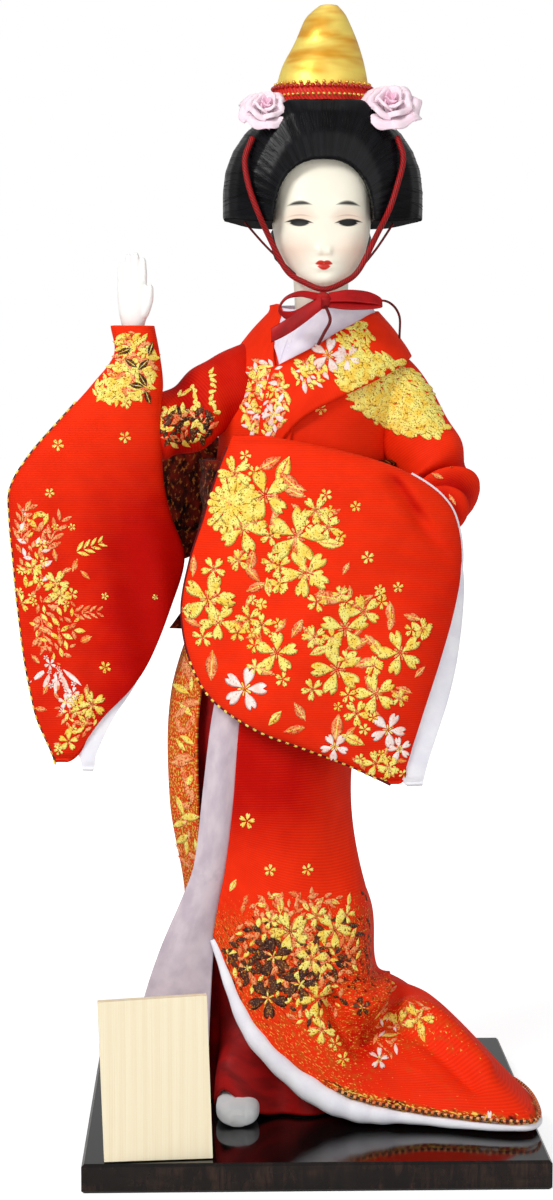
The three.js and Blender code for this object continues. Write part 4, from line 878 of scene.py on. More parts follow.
@dataclass(frozen=True)
class Gilt(Finish):
    """Gold foil on card, creased and a little rubbed."""

    light: Tint = tint(255, 226, 108)
    deep: Tint = tint(226, 160, 34)

    def mix(self, net: Net, bsdf: bpy.types.Node) -> None:
        """Wires the finish's nodes."""
        place = net.object()
        cloud = net.noise(net.scaled(place, (0.6, 0.6, 2.4)), 100, 2.0, 0.5, 0.3)
        crinkle = net.noise(place, 620, 3.0)
        bands = net.noise(net.scaled(place, (30, 30, 700)), 1.0, 2.0)
        colour = net.mix(net.ramp(cloud, 0.36, 0.66), self.light, self.deep)
        height = net.math("MULTIPLY_ADD", crinkle, 0.3, bands)
        self.feed(net, bsdf, Base_Color=colour, Metallic=net.ramp(cloud, 0.2, 0.8, 0.55, 0.4),
                  Roughness=net.ramp(crinkle, 0.3, 0.7, 0.38, 0.5),
                  Normal=self.relief(net, height, 0.12, 0.1))


@dataclass(frozen=True)
class Braid(Finish):
    """Twisted or braided cord; the twist runs along the piece's own cloth map, with a painted highlight on
    its ridges and painted shade in its grooves.
    """

    light: Tint = tint(178, 18, 18)
    dark: Tint = tint(98, 6, 10)
    pitch: float = 9.0

    def mix(self, net: Net, bsdf: bpy.types.Node) -> None:
        """Wires the finish's nodes."""
        x, y, _ = net.parts(net.cut())
        run = net.math("MULTIPLY_ADD", x, 1.6, y)
        twist = net.math("SINE", net.math("MULTIPLY", run, self.pitch * 2 * math.pi))
        ridge = net.math("MULTIPLY_ADD", twist, 0.5, 0.5)
        # The colour is lighter on the twist's ridges and darker in its grooves: painted highlight and shade.
        self.feed(net, bsdf, Base_Color=net.mix(ridge, self.dark, self.light), Specular_IOR_Level=0.25,
                  Roughness=net.ramp(ridge, 0, 1, 0.6, 0.45), Normal=self.relief(net, ridge, 0.4, 0.12))


class Finishes:
    """The doll's finishes."""

    lacquer = Lacquer("black_lacquer")
    plaque = Wood("plaque_wood")
    timber = Wood("post_timber", tint(214, 184, 132), tint(170, 128, 78), 6.0)
    straw = Plain("bundled_straw", tint(206, 182, 112), tint(150, 118, 60), 500.0, 0.9)
    steel = Plain("screw_steel", tint(170, 170, 172), tint(120, 120, 124), 900.0, 0.35, 1.0)
    wadding = Plain("arm_wadding", tint(236, 230, 220), tint(214, 206, 194), 800.0, 0.95)
    brocade = Brocade("red_brocade")
    # The obi is dark brown brocade, darkened further as painted shade for where it lies under the sleeves.
    obi = Brocade("dark_obi_brocade", tint(58, 18, 12), tint(30, 10, 8), tint(150, 92, 40), tint(120, 30, 14),
                  tint(12, 7, 6), 18.0, 9.0, 0.6)
    band = Braid("red_cap_band", tint(226, 44, 22), tint(190, 24, 12), 7.0)
    # The underskirt's red silk is darkened overall as painted shade, for where it lies between the lining and
    # the hem roll.
    silk = Cloth("red_underskirt_silk", tint(172, 6, 4), tint(118, 1, 2), 30.0, 0.6, 0.0, 0.04)
    cotton = Cloth("white_lining_cotton", tint(250, 250, 254), tint(238, 236, 246))
    # The front lining: the pale lining cotton in darker, greyer tints as painted shade.
    shaded = Cloth("mauve_lining_cotton", tint(216, 202, 209), tint(192, 177, 188))
    collar = Cloth("white_collar_silk", tint(246, 240, 250), tint(232, 224, 242), 24.0, 0.6)
    sock = Cloth("tabi_cotton", tint(250, 252, 252), tint(236, 240, 242), 22.0, 0.85)
    head = Porcelain("painted_face", painted=True)
    skin = Porcelain("pale_hand", tint(253, 251, 248), tint(240, 200, 180))
    hair = Hair("combed_hair")
    gilt = Gilt("gold_foil_card")
    cord = Braid("red_braided_cord")
    thin_cord = Braid("dark_red_thread", tint(120, 14, 18), tint(70, 6, 10), 14.0)
    ribbon = Cloth("red_bow_satin", tint(186, 8, 10), tint(132, 2, 6), 30.0, 0.42, 0.0, 0.03)
    rose = Cloth("pink_rose_ribbon", tint(255, 240, 246), tint(252, 220, 234), 30.0, 0.6, 0.1, 0.03)
    bud = Cloth("deep_pink_ribbon", tint(252, 216, 232), tint(246, 190, 216), 30.0, 0.6, 0.1, 0.03)
    bead_gold = Plain("gilt_beads", tint(244, 200, 100), tint(214, 150, 60), 900.0, 0.3, 0.7)
    bead_red = Plain("red_beads", tint(206, 30, 18), tint(160, 14, 10), 900.0, 0.35)
    threads = {
        Thread.GOLD: Yarn("gold_yarn"),
        Thread.WHITE: Yarn("white_yarn", tint(255, 242, 236), tint(250, 214, 198), tint(236, 120, 84), 0.22),
        Thread.DARK: Yarn("dark_yarn", tint(52, 22, 18), tint(92, 40, 20), tint(206, 140, 50), 0.27),
        Thread.ROSE: Yarn("rose_gold_yarn", tint(250, 188, 122), tint(238, 132, 66), tint(228, 44, 10), 0.42,
                          0.04),
    }


# Geometry Nodes


class Trees:
    """Geometry node trees for what repeats, each built once."""

    @staticmethod
    def start(name: str, **inputs: str) -> tuple:
        """Opens a new tree.

        Args:
            name: The tree's name.
            **inputs: Socket type of each input after the geometry, by its name.

        Returns:
            The Net and the inputs' sockets.
        """
        tree = bpy.data.node_groups.new(name, "GeometryNodeTree")
        tree.interface.new_socket("Geometry", in_out="INPUT", socket_type="NodeSocketGeometry")
        for key, kind in inputs.items():
            tree.interface.new_socket(key, in_out="INPUT", socket_type=f"NodeSocket{kind}")
        tree.interface.new_socket("Geometry", in_out="OUTPUT", socket_type="NodeSocketGeometry")
        net = Net(tree)
        return net, net.add("NodeGroupInput").outputs

    @staticmethod
    def end(net: Net, geometry: bpy.types.NodeSocket, finish: bpy.types.NodeSocket) -> bpy.types.NodeTree:
        """Realizes, shades and dresses the result."""
        real = net.add("GeometryNodeRealizeInstances", {"Geometry": geometry}).outputs[0]
        soft = net.add("GeometryNodeSetShadeSmooth", {0: real}).outputs[0]
        done = net.add("GeometryNodeSetMaterial", {"Geometry": soft, "Material": finish}).outputs[0]
        net.add("NodeGroupOutput", {0: done})
        return net.tree

    @staticmethod
    @cache
    def lay() -> bpy.types.NodeTree:
        """Lays a shape on every point, turned and sized by the points' own attributes."""
        net, i = Trees.start("lay_ornament", Shape="Object", Finish="Material")
        shape = net.add("GeometryNodeObjectInfo", {"Object": i["Shape"]}).outputs["Geometry"]
        named = "GeometryNodeInputNamedAttribute"
        facing = net.add(named, {"Name": "facing"}, data_type="QUATERNION").outputs[0]
        spread = net.add(named, {"Name": "spread"}, data_type="FLOAT_VECTOR").outputs[0]
        laid = net.add("GeometryNodeInstanceOnPoints", {"Points": i["Geometry"], "Instance": shape,
                                                        "Rotation": facing, "Scale": spread}).outputs[0]
        return Trees.end(net, laid, i["Finish"])

    @staticmethod
    @cache
    def beads() -> bpy.types.NodeTree:
        """Sets beads or stitches along a path of edges."""
        net, i = Trees.start("bead_row", Spacing="Float", Size="Vector", Finish="Material")
        path = net.add("GeometryNodeMeshToCurve", {0: i["Geometry"]}).outputs[0]
        even = net.add("GeometryNodeResampleCurve", {"Curve": path, "Length": i["Spacing"]},
                       mode="LENGTH").outputs[0]
        bead = net.add("GeometryNodeMeshUVSphere", {"Segments": 8, "Rings": 5, "Radius": 1.0}).outputs[0]
        ahead = net.add("GeometryNodeInputTangent").outputs[0]
        turn = net.add("FunctionNodeAlignRotationToVector", {"Vector": ahead}, axis="Z").outputs[0]
        row = net.add("GeometryNodeInstanceOnPoints", {"Points": even, "Instance": bead, "Rotation": turn,
                                                       "Scale": i["Size"]}).outputs[0]
        return Trees.end(net, row, i["Finish"])

    @staticmethod
    @cache
    def cords() -> bpy.types.NodeTree:
        """Runs a round cord along paths of edges."""
        net, i = Trees.start("cord_run", Radius="Float", Finish="Material")
        path = net.add("GeometryNodeMeshToCurve", {0: i["Geometry"]}).outputs[0]
        ring = net.add("GeometryNodeCurvePrimitiveCircle",
                       {"Resolution": 6, "Radius": i["Radius"]}).outputs[0]
        run = net.add("GeometryNodeCurveToMesh", {"Curve": path, "Profile Curve": ring,
                                                  "Fill Caps": True}).outputs[0]
        return Trees.end(net, run, i["Finish"])


def grow(obj: bpy.types.Object, tree: bpy.types.NodeTree, values: dict[str, object]) -> bpy.types.Object:
    """Runs a geometry node tree on an object and keeps the plain mesh.

    Args:
        obj: The object with the points or paths.
        tree: The tree.
        values: The tree's inputs by name.

    Returns:
        The object.
    """
    modifier = obj.modifiers.new("grow", "NODES")
    modifier.node_group = tree
    for item in tree.interface.items_tree:
        if item.item_type == "SOCKET" and item.in_out == "INPUT" and item.name in values:
            modifier[item.identifier] = values[item.name]
    return settle(obj)


def path_object(name: str, paths: Iterable[np.ndarray], closed: bool = False) -> bpy.types.Object:
    """An object of edges along paths in metres."""
    points, edges = [], []
    for path in paths:
        first = len(points)
        points += [tuple(p) for p in path]
        edges += [(k, k + 1) for k in range(first, len(points) - 1)]
        if closed:
            edges.append((len(points) - 1, first))
    mesh = bpy.data.meshes.new(name)
    mesh.from_pydata(points, edges, [])
    return new_object(name, mesh)


def bead_row(name: str, path: np.ndarray, finish: Finish, spacing: float, size: Sequence[float],
             closed: bool = False) -> bpy.types.Object:
    """A row of beads or stitches along a path; sizes in millimetres."""
    return grow(path_object(name, [path], closed), Trees.beads(),
                {"Spacing": spacing * MM, "Size": [s * MM for s in size], "Finish": finish.material()})


def cord_run(name: str, paths: Sequence[np.ndarray], finish: Finish, radius: float) -> bpy.types.Object:
    """Thin cords along paths; the radius in millimetres."""
    return grow(path_object(name, paths), Trees.cords(), {"Radius": radius * MM, "Finish": finish.material()})


def wear(piece: bpy.types.Object, body: Body, slot: str, *nodes: str) -> bpy.types.Object:
    """Makes a piece ride on a body and hides the CAD nodes that it stands for."""
    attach(piece, body.value)
    if nodes:
        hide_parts(*nodes)
    log.info("%s on %s: %d faces", piece.name, body.value, len(piece.data.polygons))
    return piece


@dataclass
class Ornament:
    """Woven petals and leaves that lie on one cloth."""

    cloth: bpy.types.Object
    side: Side = Side.FRONT
    thick: float = 0.12
    spots: dict[tuple[Thread, Shape], list[tuple]] = field(default_factory=dict)
    shapes = {}
    outlines = {Shape.PETAL: ((0, 0.04, 0), (0.16, 0.15, 0.16), (0.36, 0.34, 0.36), (0.56, 0.47, 0.55),
                              (0.74, 0.5, 0.7), (0.88, 0.43, 0.77), (0.97, 0.31, 0.79), (1, 0.2, 0.77)),
                Shape.LEAF: ((0, 0.03, 0), (0.14, 0.2, 0.14), (0.32, 0.4, 0.32), (0.5, 0.48, 0.5),
                             (0.68, 0.41, 0.68), (0.84, 0.23, 0.84), (0.95, 0.08, 0.95), (1, 0.03, 1)),
                Shape.QUILL: ((0, 0.08, 0), (0.12, 0.2, 0.12), (0.3, 0.34, 0.3), (0.5, 0.44, 0.5),
                              (0.7, 0.5, 0.7), (0.86, 0.44, 0.86), (0.96, 0.26, 0.96), (1, 0.06, 1))}

    def __post_init__(self) -> None:
        """Keeps a tree of the cloth's faces."""
        self.tree = surface_of(self.cloth)

    @classmethod
    def shape(cls, kind: Shape) -> bpy.types.Object:
        """The flat lens that stands for one petal, leaf or quill, one unit long."""
        if kind in cls.shapes:
            return cls.shapes[kind]
        rows = []
        for t, w, keel in cls.outlines[kind]:
            dome, between = 0.55 + 0.45 * math.sin(math.pi * min(max(t, 0.08), 0.92)), 0.65 * t + 0.35 * keel
            rows.append([(-w, t - 0.5, 0), (-w * 0.6, between - 0.5, 0.9 * dome), (0, keel - 0.5, dome * 0.8),
                         (w * 0.6, between - 0.5, 0.9 * dome), (w, t - 0.5, 0), (0, keel - 0.5, -0.7)])
        obj = solid(f"template_{kind.value}", np.array(rows))
        cls.shapes[kind] = obj
        return obj

    @classmethod
    def clear(cls) -> None:
        """Removes the template shapes once every cloth is done."""
        for obj in cls.shapes.values():
            mesh = obj.data
            bpy.data.objects.remove(obj)
            bpy.data.meshes.remove(mesh)
        cls.shapes.clear()

    def find(self, across: float, height: float) -> tuple[Vector, Vector] | None:
        """The cloth's point and outward normal where a ray from one side meets it.

        Args:
            across: X in millimetres.
            height: Height above the board.

        Returns:
            Point and normal, or None where the cloth isn't there.
        """
        way = Vector(self.side.value)
        start = Vector((across * MM, 0, (height + BOARD_TOP) * MM)) - way * RAY_START
        place, normal, _, _ = self.tree.ray_cast(start, way)
        if place is None:
            return None
        return place, (-normal if normal.dot(way) > 0 else normal)

    def put(self, thread: Thread, shape: Shape, place: Vector, normal: Vector, ahead: Vector, length: float,
            width: float, raised: float = 0.0) -> None:
        """Adds one shape; sizes in millimetres."""
        along = (ahead - normal * ahead.dot(normal)).normalized()
        turn = Matrix((along.cross(normal), along, normal)).transposed().to_quaternion()
        size = (width * MM, length * MM, self.thick * MM)
        self.spots.setdefault((thread, shape), []).append((place + normal * raised * MM, turn, size))

    def ring(self, thread: Thread, shape: Shape, across: float, height: float, count: int, inner: float,
             length: float, width: float, turn: float = 0.0, sweep: float = 2 * math.pi,
             raised: float = 0.0) -> None:
        """Lays a ring of petals round a point as seen from its side; those that miss the cloth are left out.

        Args:
            thread: Its colour.
            shape: Its outline.
            across: Place across, in millimetres.
            height: Height above the board.
            count: How many petals.
            inner: Distance from the centre to each petal's start.
            length: Petal length.
            width: Petal width.
            turn: Angle of the first petal from upright, clockwise as seen.
            sweep: Angle that the petals take up.
            raised: Height above the cloth.
        """
        right = self.side.value[1]
        for k in range(count):
            angle = turn + sweep * k / count
            ends = []
            for part in (0.1, 0.9):
                far = inner + length * part
                ends.append(self.find(across + right * math.sin(angle) * far,
                                      height + math.cos(angle) * far))
            if None in ends:
                continue
            (root, facing), (tip, beyond) = ends
            ahead = tip - root
            if facing.dot(beyond) > 0.5 and ahead.length < 1.8 * length * MM:
                place, normal, _, _ = self.tree.find_nearest((root + tip) / 2)
                normal = -normal if normal.dot(facing) < 0 else normal
                self.put(thread, shape, place, normal, ahead, ahead.length / MM / 0.8, width, raised)

    def blossom(self, thread: Thread, across: float, height: float, radius: float) -> None:
        """A five-petalled blossom with an eye of another thread."""
        turn = (across * 1.7 + height * 0.9) % (2 * math.pi)
        self.ring(thread, Shape.PETAL, across, height, 5, radius * 0.12, radius * 0.9, radius * 0.58, turn,
                  raised=0.1)
        if radius > 2.2:
            eye = Thread.ROSE if thread is Thread.GOLD else Thread.GOLD
            self.ring(eye, Shape.QUILL, across, height, 5, radius * 0.03, radius * 0.3, radius * 0.1,
                      turn + 0.6, raised=0.18)

    def cluster(self, thread: Thread, across: float, height: float, radius: float) -> None:
        """A blossom among small buds and leaves."""
        self.blossom(thread, across, height, radius)
        chance = np.random.RandomState(SEED + round(abs(across) * 11 + height * 3))
        for k in range(5):
            angle, far = chance.uniform(0, 2 * math.pi), radius * chance.uniform(1.1, 1.5)
            x, h = across + far * math.sin(angle), height + far * math.cos(angle)
            if k % 2:
                self.leaf(Thread.ROSE, x, h, radius * chance.uniform(0.8, 1.15), angle + 0.5)
            else:
                self.blossom(thread, x, h, radius * chance.uniform(0.34, 0.5))

    def fan(self, thread: Thread, across: float, height: float, radius: float,
            petals: int = 26) -> None:
        """A many-petalled chrysanthemum, packed close."""
        for k, (inner, length, count) in enumerate(((0.62, 0.4, 1.0), (0.34, 0.42, 0.75), (0.04, 0.42, 0.5))):
            number = int(petals * count)
            width = 6.6 * radius * (inner + length * 0.7) / number
            self.ring(thread, Shape.QUILL, across, height, number, radius * inner, radius * length, width,
                      k * 0.1, raised=0.06 * k)

    def leaf(self, thread: Thread, across: float, height: float, length: float, angle: float,
             raised: float = 0.0) -> None:
        """One leaf with its vein; the angle is from upright, clockwise as seen."""
        self.ring(thread, Shape.LEAF, across, height, 1, -length / 2, length, length * 0.46, angle,
                  raised=raised)
        if length > 3:
            vein = Thread.ROSE if thread is Thread.GOLD else Thread.GOLD
            self.ring(vein, Shape.QUILL, across, height, 1, -length * 0.45, length * 0.85, length * 0.06,
                      angle, raised=raised + 0.08)

    def patch(self, threads: Sequence[Thread], across: float, height: float, half: tuple[float, float],
              count: int, size: float, shape: Shape = Shape.LEAF, lean: float = 0.0,
              spread: float = math.pi) -> None:
        """Fills an oval with small shapes.

        Args:
            threads: Their colours in turn.
            across: Middle of the oval, in millimetres.
            height: Height of its middle.
            half: Its half width and half height.
            count: How many shapes.
            size: Their length.
            shape: Their outline.
            lean: How far the oval's width is turned down to the right, as seen.
            spread: How far the shapes may turn from the oval's width.
        """
        chance = np.random.RandomState(SEED + round(abs(across) * 7 + height))
        sign = self.side.value[1]
        c, s = math.cos(lean), math.sin(lean)
        for k in range(count):
            far, turn = math.sqrt((k + 0.5) / count), k * 2.39996
            u, v = half[0] * far * math.sin(turn), half[1] * far * math.cos(turn)
            length = size * chance.uniform(0.7, 1.25)
            self.ring(threads[k % len(threads)], shape, across + sign * (u * c + v * s),
                      height + v * c - u * s, 1, -length / 2, length, length * 0.5,
                      math.pi / 2 + lean + chance.uniform(-spread, spread), raised=0.03 * (k % 3))

    def spray(self, thread: Thread, across: float, height: float, length: float, angle: float,
              pairs: int = 4) -> None:
        """A stalk of narrow leaves in pairs.

        Args:
            thread: Its colour.
            across: Place of its foot, in millimetres.
            height: Height of its foot.
            length: Length of the stalk.
            angle: The way that it grows, from upright, clockwise as seen.
            pairs: How many pairs of leaves.
        """
        step = length / pairs
        self.ring(thread, Shape.QUILL, across, height, 1, 0, length, length * 0.05, angle)
        for k in range(pairs):
            for lean in (-0.6, 0.6):
                far = step * (k + 0.3)
                x, h = across + math.sin(angle) * far, height + math.cos(angle) * far
                size = step * (1.7 - 0.16 * k)
                self.ring(thread, Shape.LEAF, x, h, 1, step * 0.1, size, size * 0.34, angle + lean,
                          raised=0.05)

    def lay(self) -> list[bpy.types.Object]:
        """Makes one mesh for each thread."""
        made: dict[Thread, list[bpy.types.Object]] = {}
        for (thread, shape), spots in self.spots.items():
            mesh = bpy.data.meshes.new(f"{self.cloth.name}_{thread.value}_{shape.value}")
            mesh.from_pydata([tuple(s[0]) for s in spots], [], [])
            facing = mesh.attributes.new("facing", "QUATERNION", "POINT")
            facing.data.foreach_set("value", np.array([tuple(s[1]) for s in spots], np.float32).ravel())
            spread = mesh.attributes.new("spread", "FLOAT_VECTOR", "POINT")
            spread.data.foreach_set("vector", np.array([s[2] for s in spots], np.float32).ravel())
            obj = new_object(mesh.name, mesh)
            grow(obj, Trees.lay(), {"Shape": self.shape(shape),
                                    "Finish": Finishes.threads[thread].material()})
            made.setdefault(thread, []).append(obj)
        return [Finishes.threads[thread].dress(join(f"{self.cloth.name}_{thread.value}_ornament", parts))
                for thread, parts in made.items()]

    def wear(self, body: Body) -> list[bpy.types.Object]:
        """Lays the threads and makes them ride on a body."""
        return [wear(part, body, THREAD_SLOT[Thread(part.name.split("_")[-2])]) for part in self.lay()]


THREAD_SLOT = {Thread.GOLD: "gold_brocade", Thread.WHITE: "white_cotton", Thread.DARK: "dark_brocade",
               Thread.ROSE: "gold_brocade"}


def sheet(piece: bpy.types.Object, flat: tuple[float, float],
          used: float = 1.0) -> None:
    """Logs a cloth's area against its cut size in millimetres and the share of that rectangle that it uses.
    """
    area = sum(face.area for face in piece.data.polygons) / 2 / MM**2
    log.info("%s: %.0f square millimetres of a cut of %.0f", piece.name, area, flat[0] * flat[1] * used)


# Sub-assemblies


@dataclass
class Stage:
    """Camera, soft studio light and a pale floor."""

    eye: tuple[float, float, float] = (-26.345, -659.73, 200.98)
    yaw: float = 0.026792
    pitch: float = 0.0867
    lens: float = 73.9065
    world: float = 0.3
    waist: float = 0.17
    lamps: tuple = (("key_lamp", (-0.75, -0.9, 1.0), 0.5, 11.5), ("fill_lamp", (0.3, -1.2, 0.4), 0.9, 4.4),
                    ("top_lamp", (0.1, 0.3, 1.3), 0.9, 2.0))

    def build(self) -> None:
        """Builds the stage."""
        scene = bpy.context.scene
        scene.view_settings.view_transform = "Standard"
        self.camera(scene)
        self.sky(scene)
        self.floor()
        for lamp in self.lamps:
            self.lamp(*lamp)

    def camera(self, scene: bpy.types.Scene) -> None:
        """Sets the camera at the photograph's place."""
        data = bpy.data.cameras.new("camera")
        data.sensor_width = 36.0
        data.lens = self.lens
        data.clip_start = 0.01
        obj = bpy.data.objects.new("camera", data)
        scene.collection.objects.link(obj)
        level = math.cos(self.pitch)
        ahead = Vector((math.sin(self.yaw) * level, math.cos(self.yaw) * level, -math.sin(self.pitch)))
        obj.location = Vector(self.eye) * MM
        obj.rotation_euler = ahead.to_track_quat("-Z", "Y").to_euler()
        scene.camera = obj

    def sky(self, scene: bpy.types.Scene) -> None:
        """White to the camera, softer as a light."""
        world = bpy.data.worlds.new("studio")
        scene.world = world
        world.use_nodes = True
        net = Net(world.node_tree)
        world.node_tree.nodes.clear()
        light = net.add("ShaderNodeLightPath").outputs
        seen = net.math("MAXIMUM", light["Is Camera Ray"], light["Is Transmission Ray"])
        seen = net.math("MAXIMUM", seen, net.math("MULTIPLY", light["Is Glossy Ray"], 0.3))
        dim = net.add("ShaderNodeBackground", {"Color": (1, 1, 1, 1), "Strength": self.world}).outputs[0]
        white = net.add("ShaderNodeBackground", {"Color": (1, 1, 1, 1), "Strength": 1.0}).outputs[0]
        both = net.add("ShaderNodeMixShader", {0: seen, 1: dim, 2: white}).outputs[0]
        net.add("ShaderNodeOutputWorld", {"Surface": both})

    def floor(self) -> None:
        """A pale floor that is white to the camera and keeps the shadow."""
        mesh = bpy.data.meshes.new("floor")
        mesh.from_pydata([(-4, -3, 0), (4, -3, 0), (4, 6, 0), (-4, 6, 0)], [], [(0, 1, 2, 3)])
        obj = new_object("floor", mesh)
        paper = bpy.data.materials.new("studio_paper")
        paper.use_nodes = True
        net = Net(paper.node_tree)
        paper.node_tree.nodes.clear()
        light = net.add("ShaderNodeLightPath").outputs
        seen = net.math("MAXIMUM", light["Is Camera Ray"], light["Is Transmission Ray"])
        away = net.add("ShaderNodeVectorMath", {0: net.object()}, operation="LENGTH").outputs["Value"]
        level = net.ramp(away, 0.1, 0.7, 0.6, 1.0)
        glow = net.add("ShaderNodeEmission",
                       {"Color": (1, 1, 1, 1), "Strength": net.math("MULTIPLY", seen, level)})
        matt = net.add("ShaderNodeBsdfDiffuse", {"Color": tint(238, 238, 238)})
        both = net.add("ShaderNodeAddShader", {0: glow.outputs[0], 1: matt.outputs[0]}).outputs[0]
        net.add("ShaderNodeOutputMaterial", {"Surface": both})
        mesh.materials.append(paper)

    def lamp(self, name: str, place: Sequence[float], size: float, power: float) -> None:
        """A square soft lamp aimed at the doll's waist."""
        data = bpy.data.lights.new(name, "AREA")
        data.size = size
        data.energy = power
        obj = bpy.data.objects.new(name, data)
        bpy.context.scene.collection.objects.link(obj)
        obj.location = place
        obj.rotation_euler = (Vector((0, 0, self.waist)) - Vector(place)).to_track_quat("-Z", "Y").to_euler()


@dataclass
class Stand:
    """Lacquered board, posts, plaque and the two feet."""

    sock_rows: Rows = ((0, 2.6, 4.4), (0.1, 4.2, 8.4), (0.32, 4.7, 9), (0.58, 5.2, 7.6), (0.8, 5.7, 6.4),
                       (0.94, 4.6, 5), (1, 2.2, 3))
    foot_length: float = 35.0

    def build(self) -> None:
        """Builds the socks and dresses the CAD pieces."""
        for node, finish in (("base_board", Finishes.lacquer), ("plaque", Finishes.plaque),
                             ("plaque_strut", Finishes.plaque), ("right_foot_screw", Finishes.steel),
                             ("left_foot_screw", Finishes.steel), ("right_leg_post", Finishes.timber),
                             ("left_leg_post", Finishes.timber)):
            finish.dress(bpy.data.objects[node])
        self.sock("right_tabi_sock", -19.5, 0.0, 5.4, 1)
        self.sock("left_tabi_sock", -2.0, 4.0, 16.0, -1)

    def sock(self, node: str, x: float, y: float, heel: float, inner: int) -> None:
        """A split-toed sock.

        Args:
            node: The CAD node that it replaces.
            x: Middle of the foot.
            y: Middle of the leg.
            heel: How far the heel lies behind the leg.
            inner: 1 where the great toe is towards +X.
        """
        rows = smooth_rows(self.sock_rows, 60)
        angle = circle(48)[0]
        c, s = np.cos(angle), np.sin(angle)
        t, half, tall = (rows[:, k, None] for k in range(3))
        across = half * np.sign(c) * np.abs(c) ** 0.7
        up = tall / 2 * (1 + np.where(s < 0, -np.abs(s) ** 0.45, s))
        split = smoothstep(t, 0.72, 0.86) * bump(across, inner * 1.7, 0.32)
        up = up - split * np.where(s > 0, 0.15, 0) * (tall / 6)
        seam = 0.14 * bump(across, 0, 0.25) * (s > 0)
        ripple = 0.12 * np.sin(t * 40 + across) * bump(t, 0.4, 0.12)
        grid = np.stack([x + across, y + heel - t * self.foot_length + 0.5 * split,
                         0.35 + up + seam + ripple], axis=-1)
        piece = solid(f"{node}_cloth", lift(grid))
        wear(Finishes.sock.dress(piece), Body.STAND, "white_cotton", node)


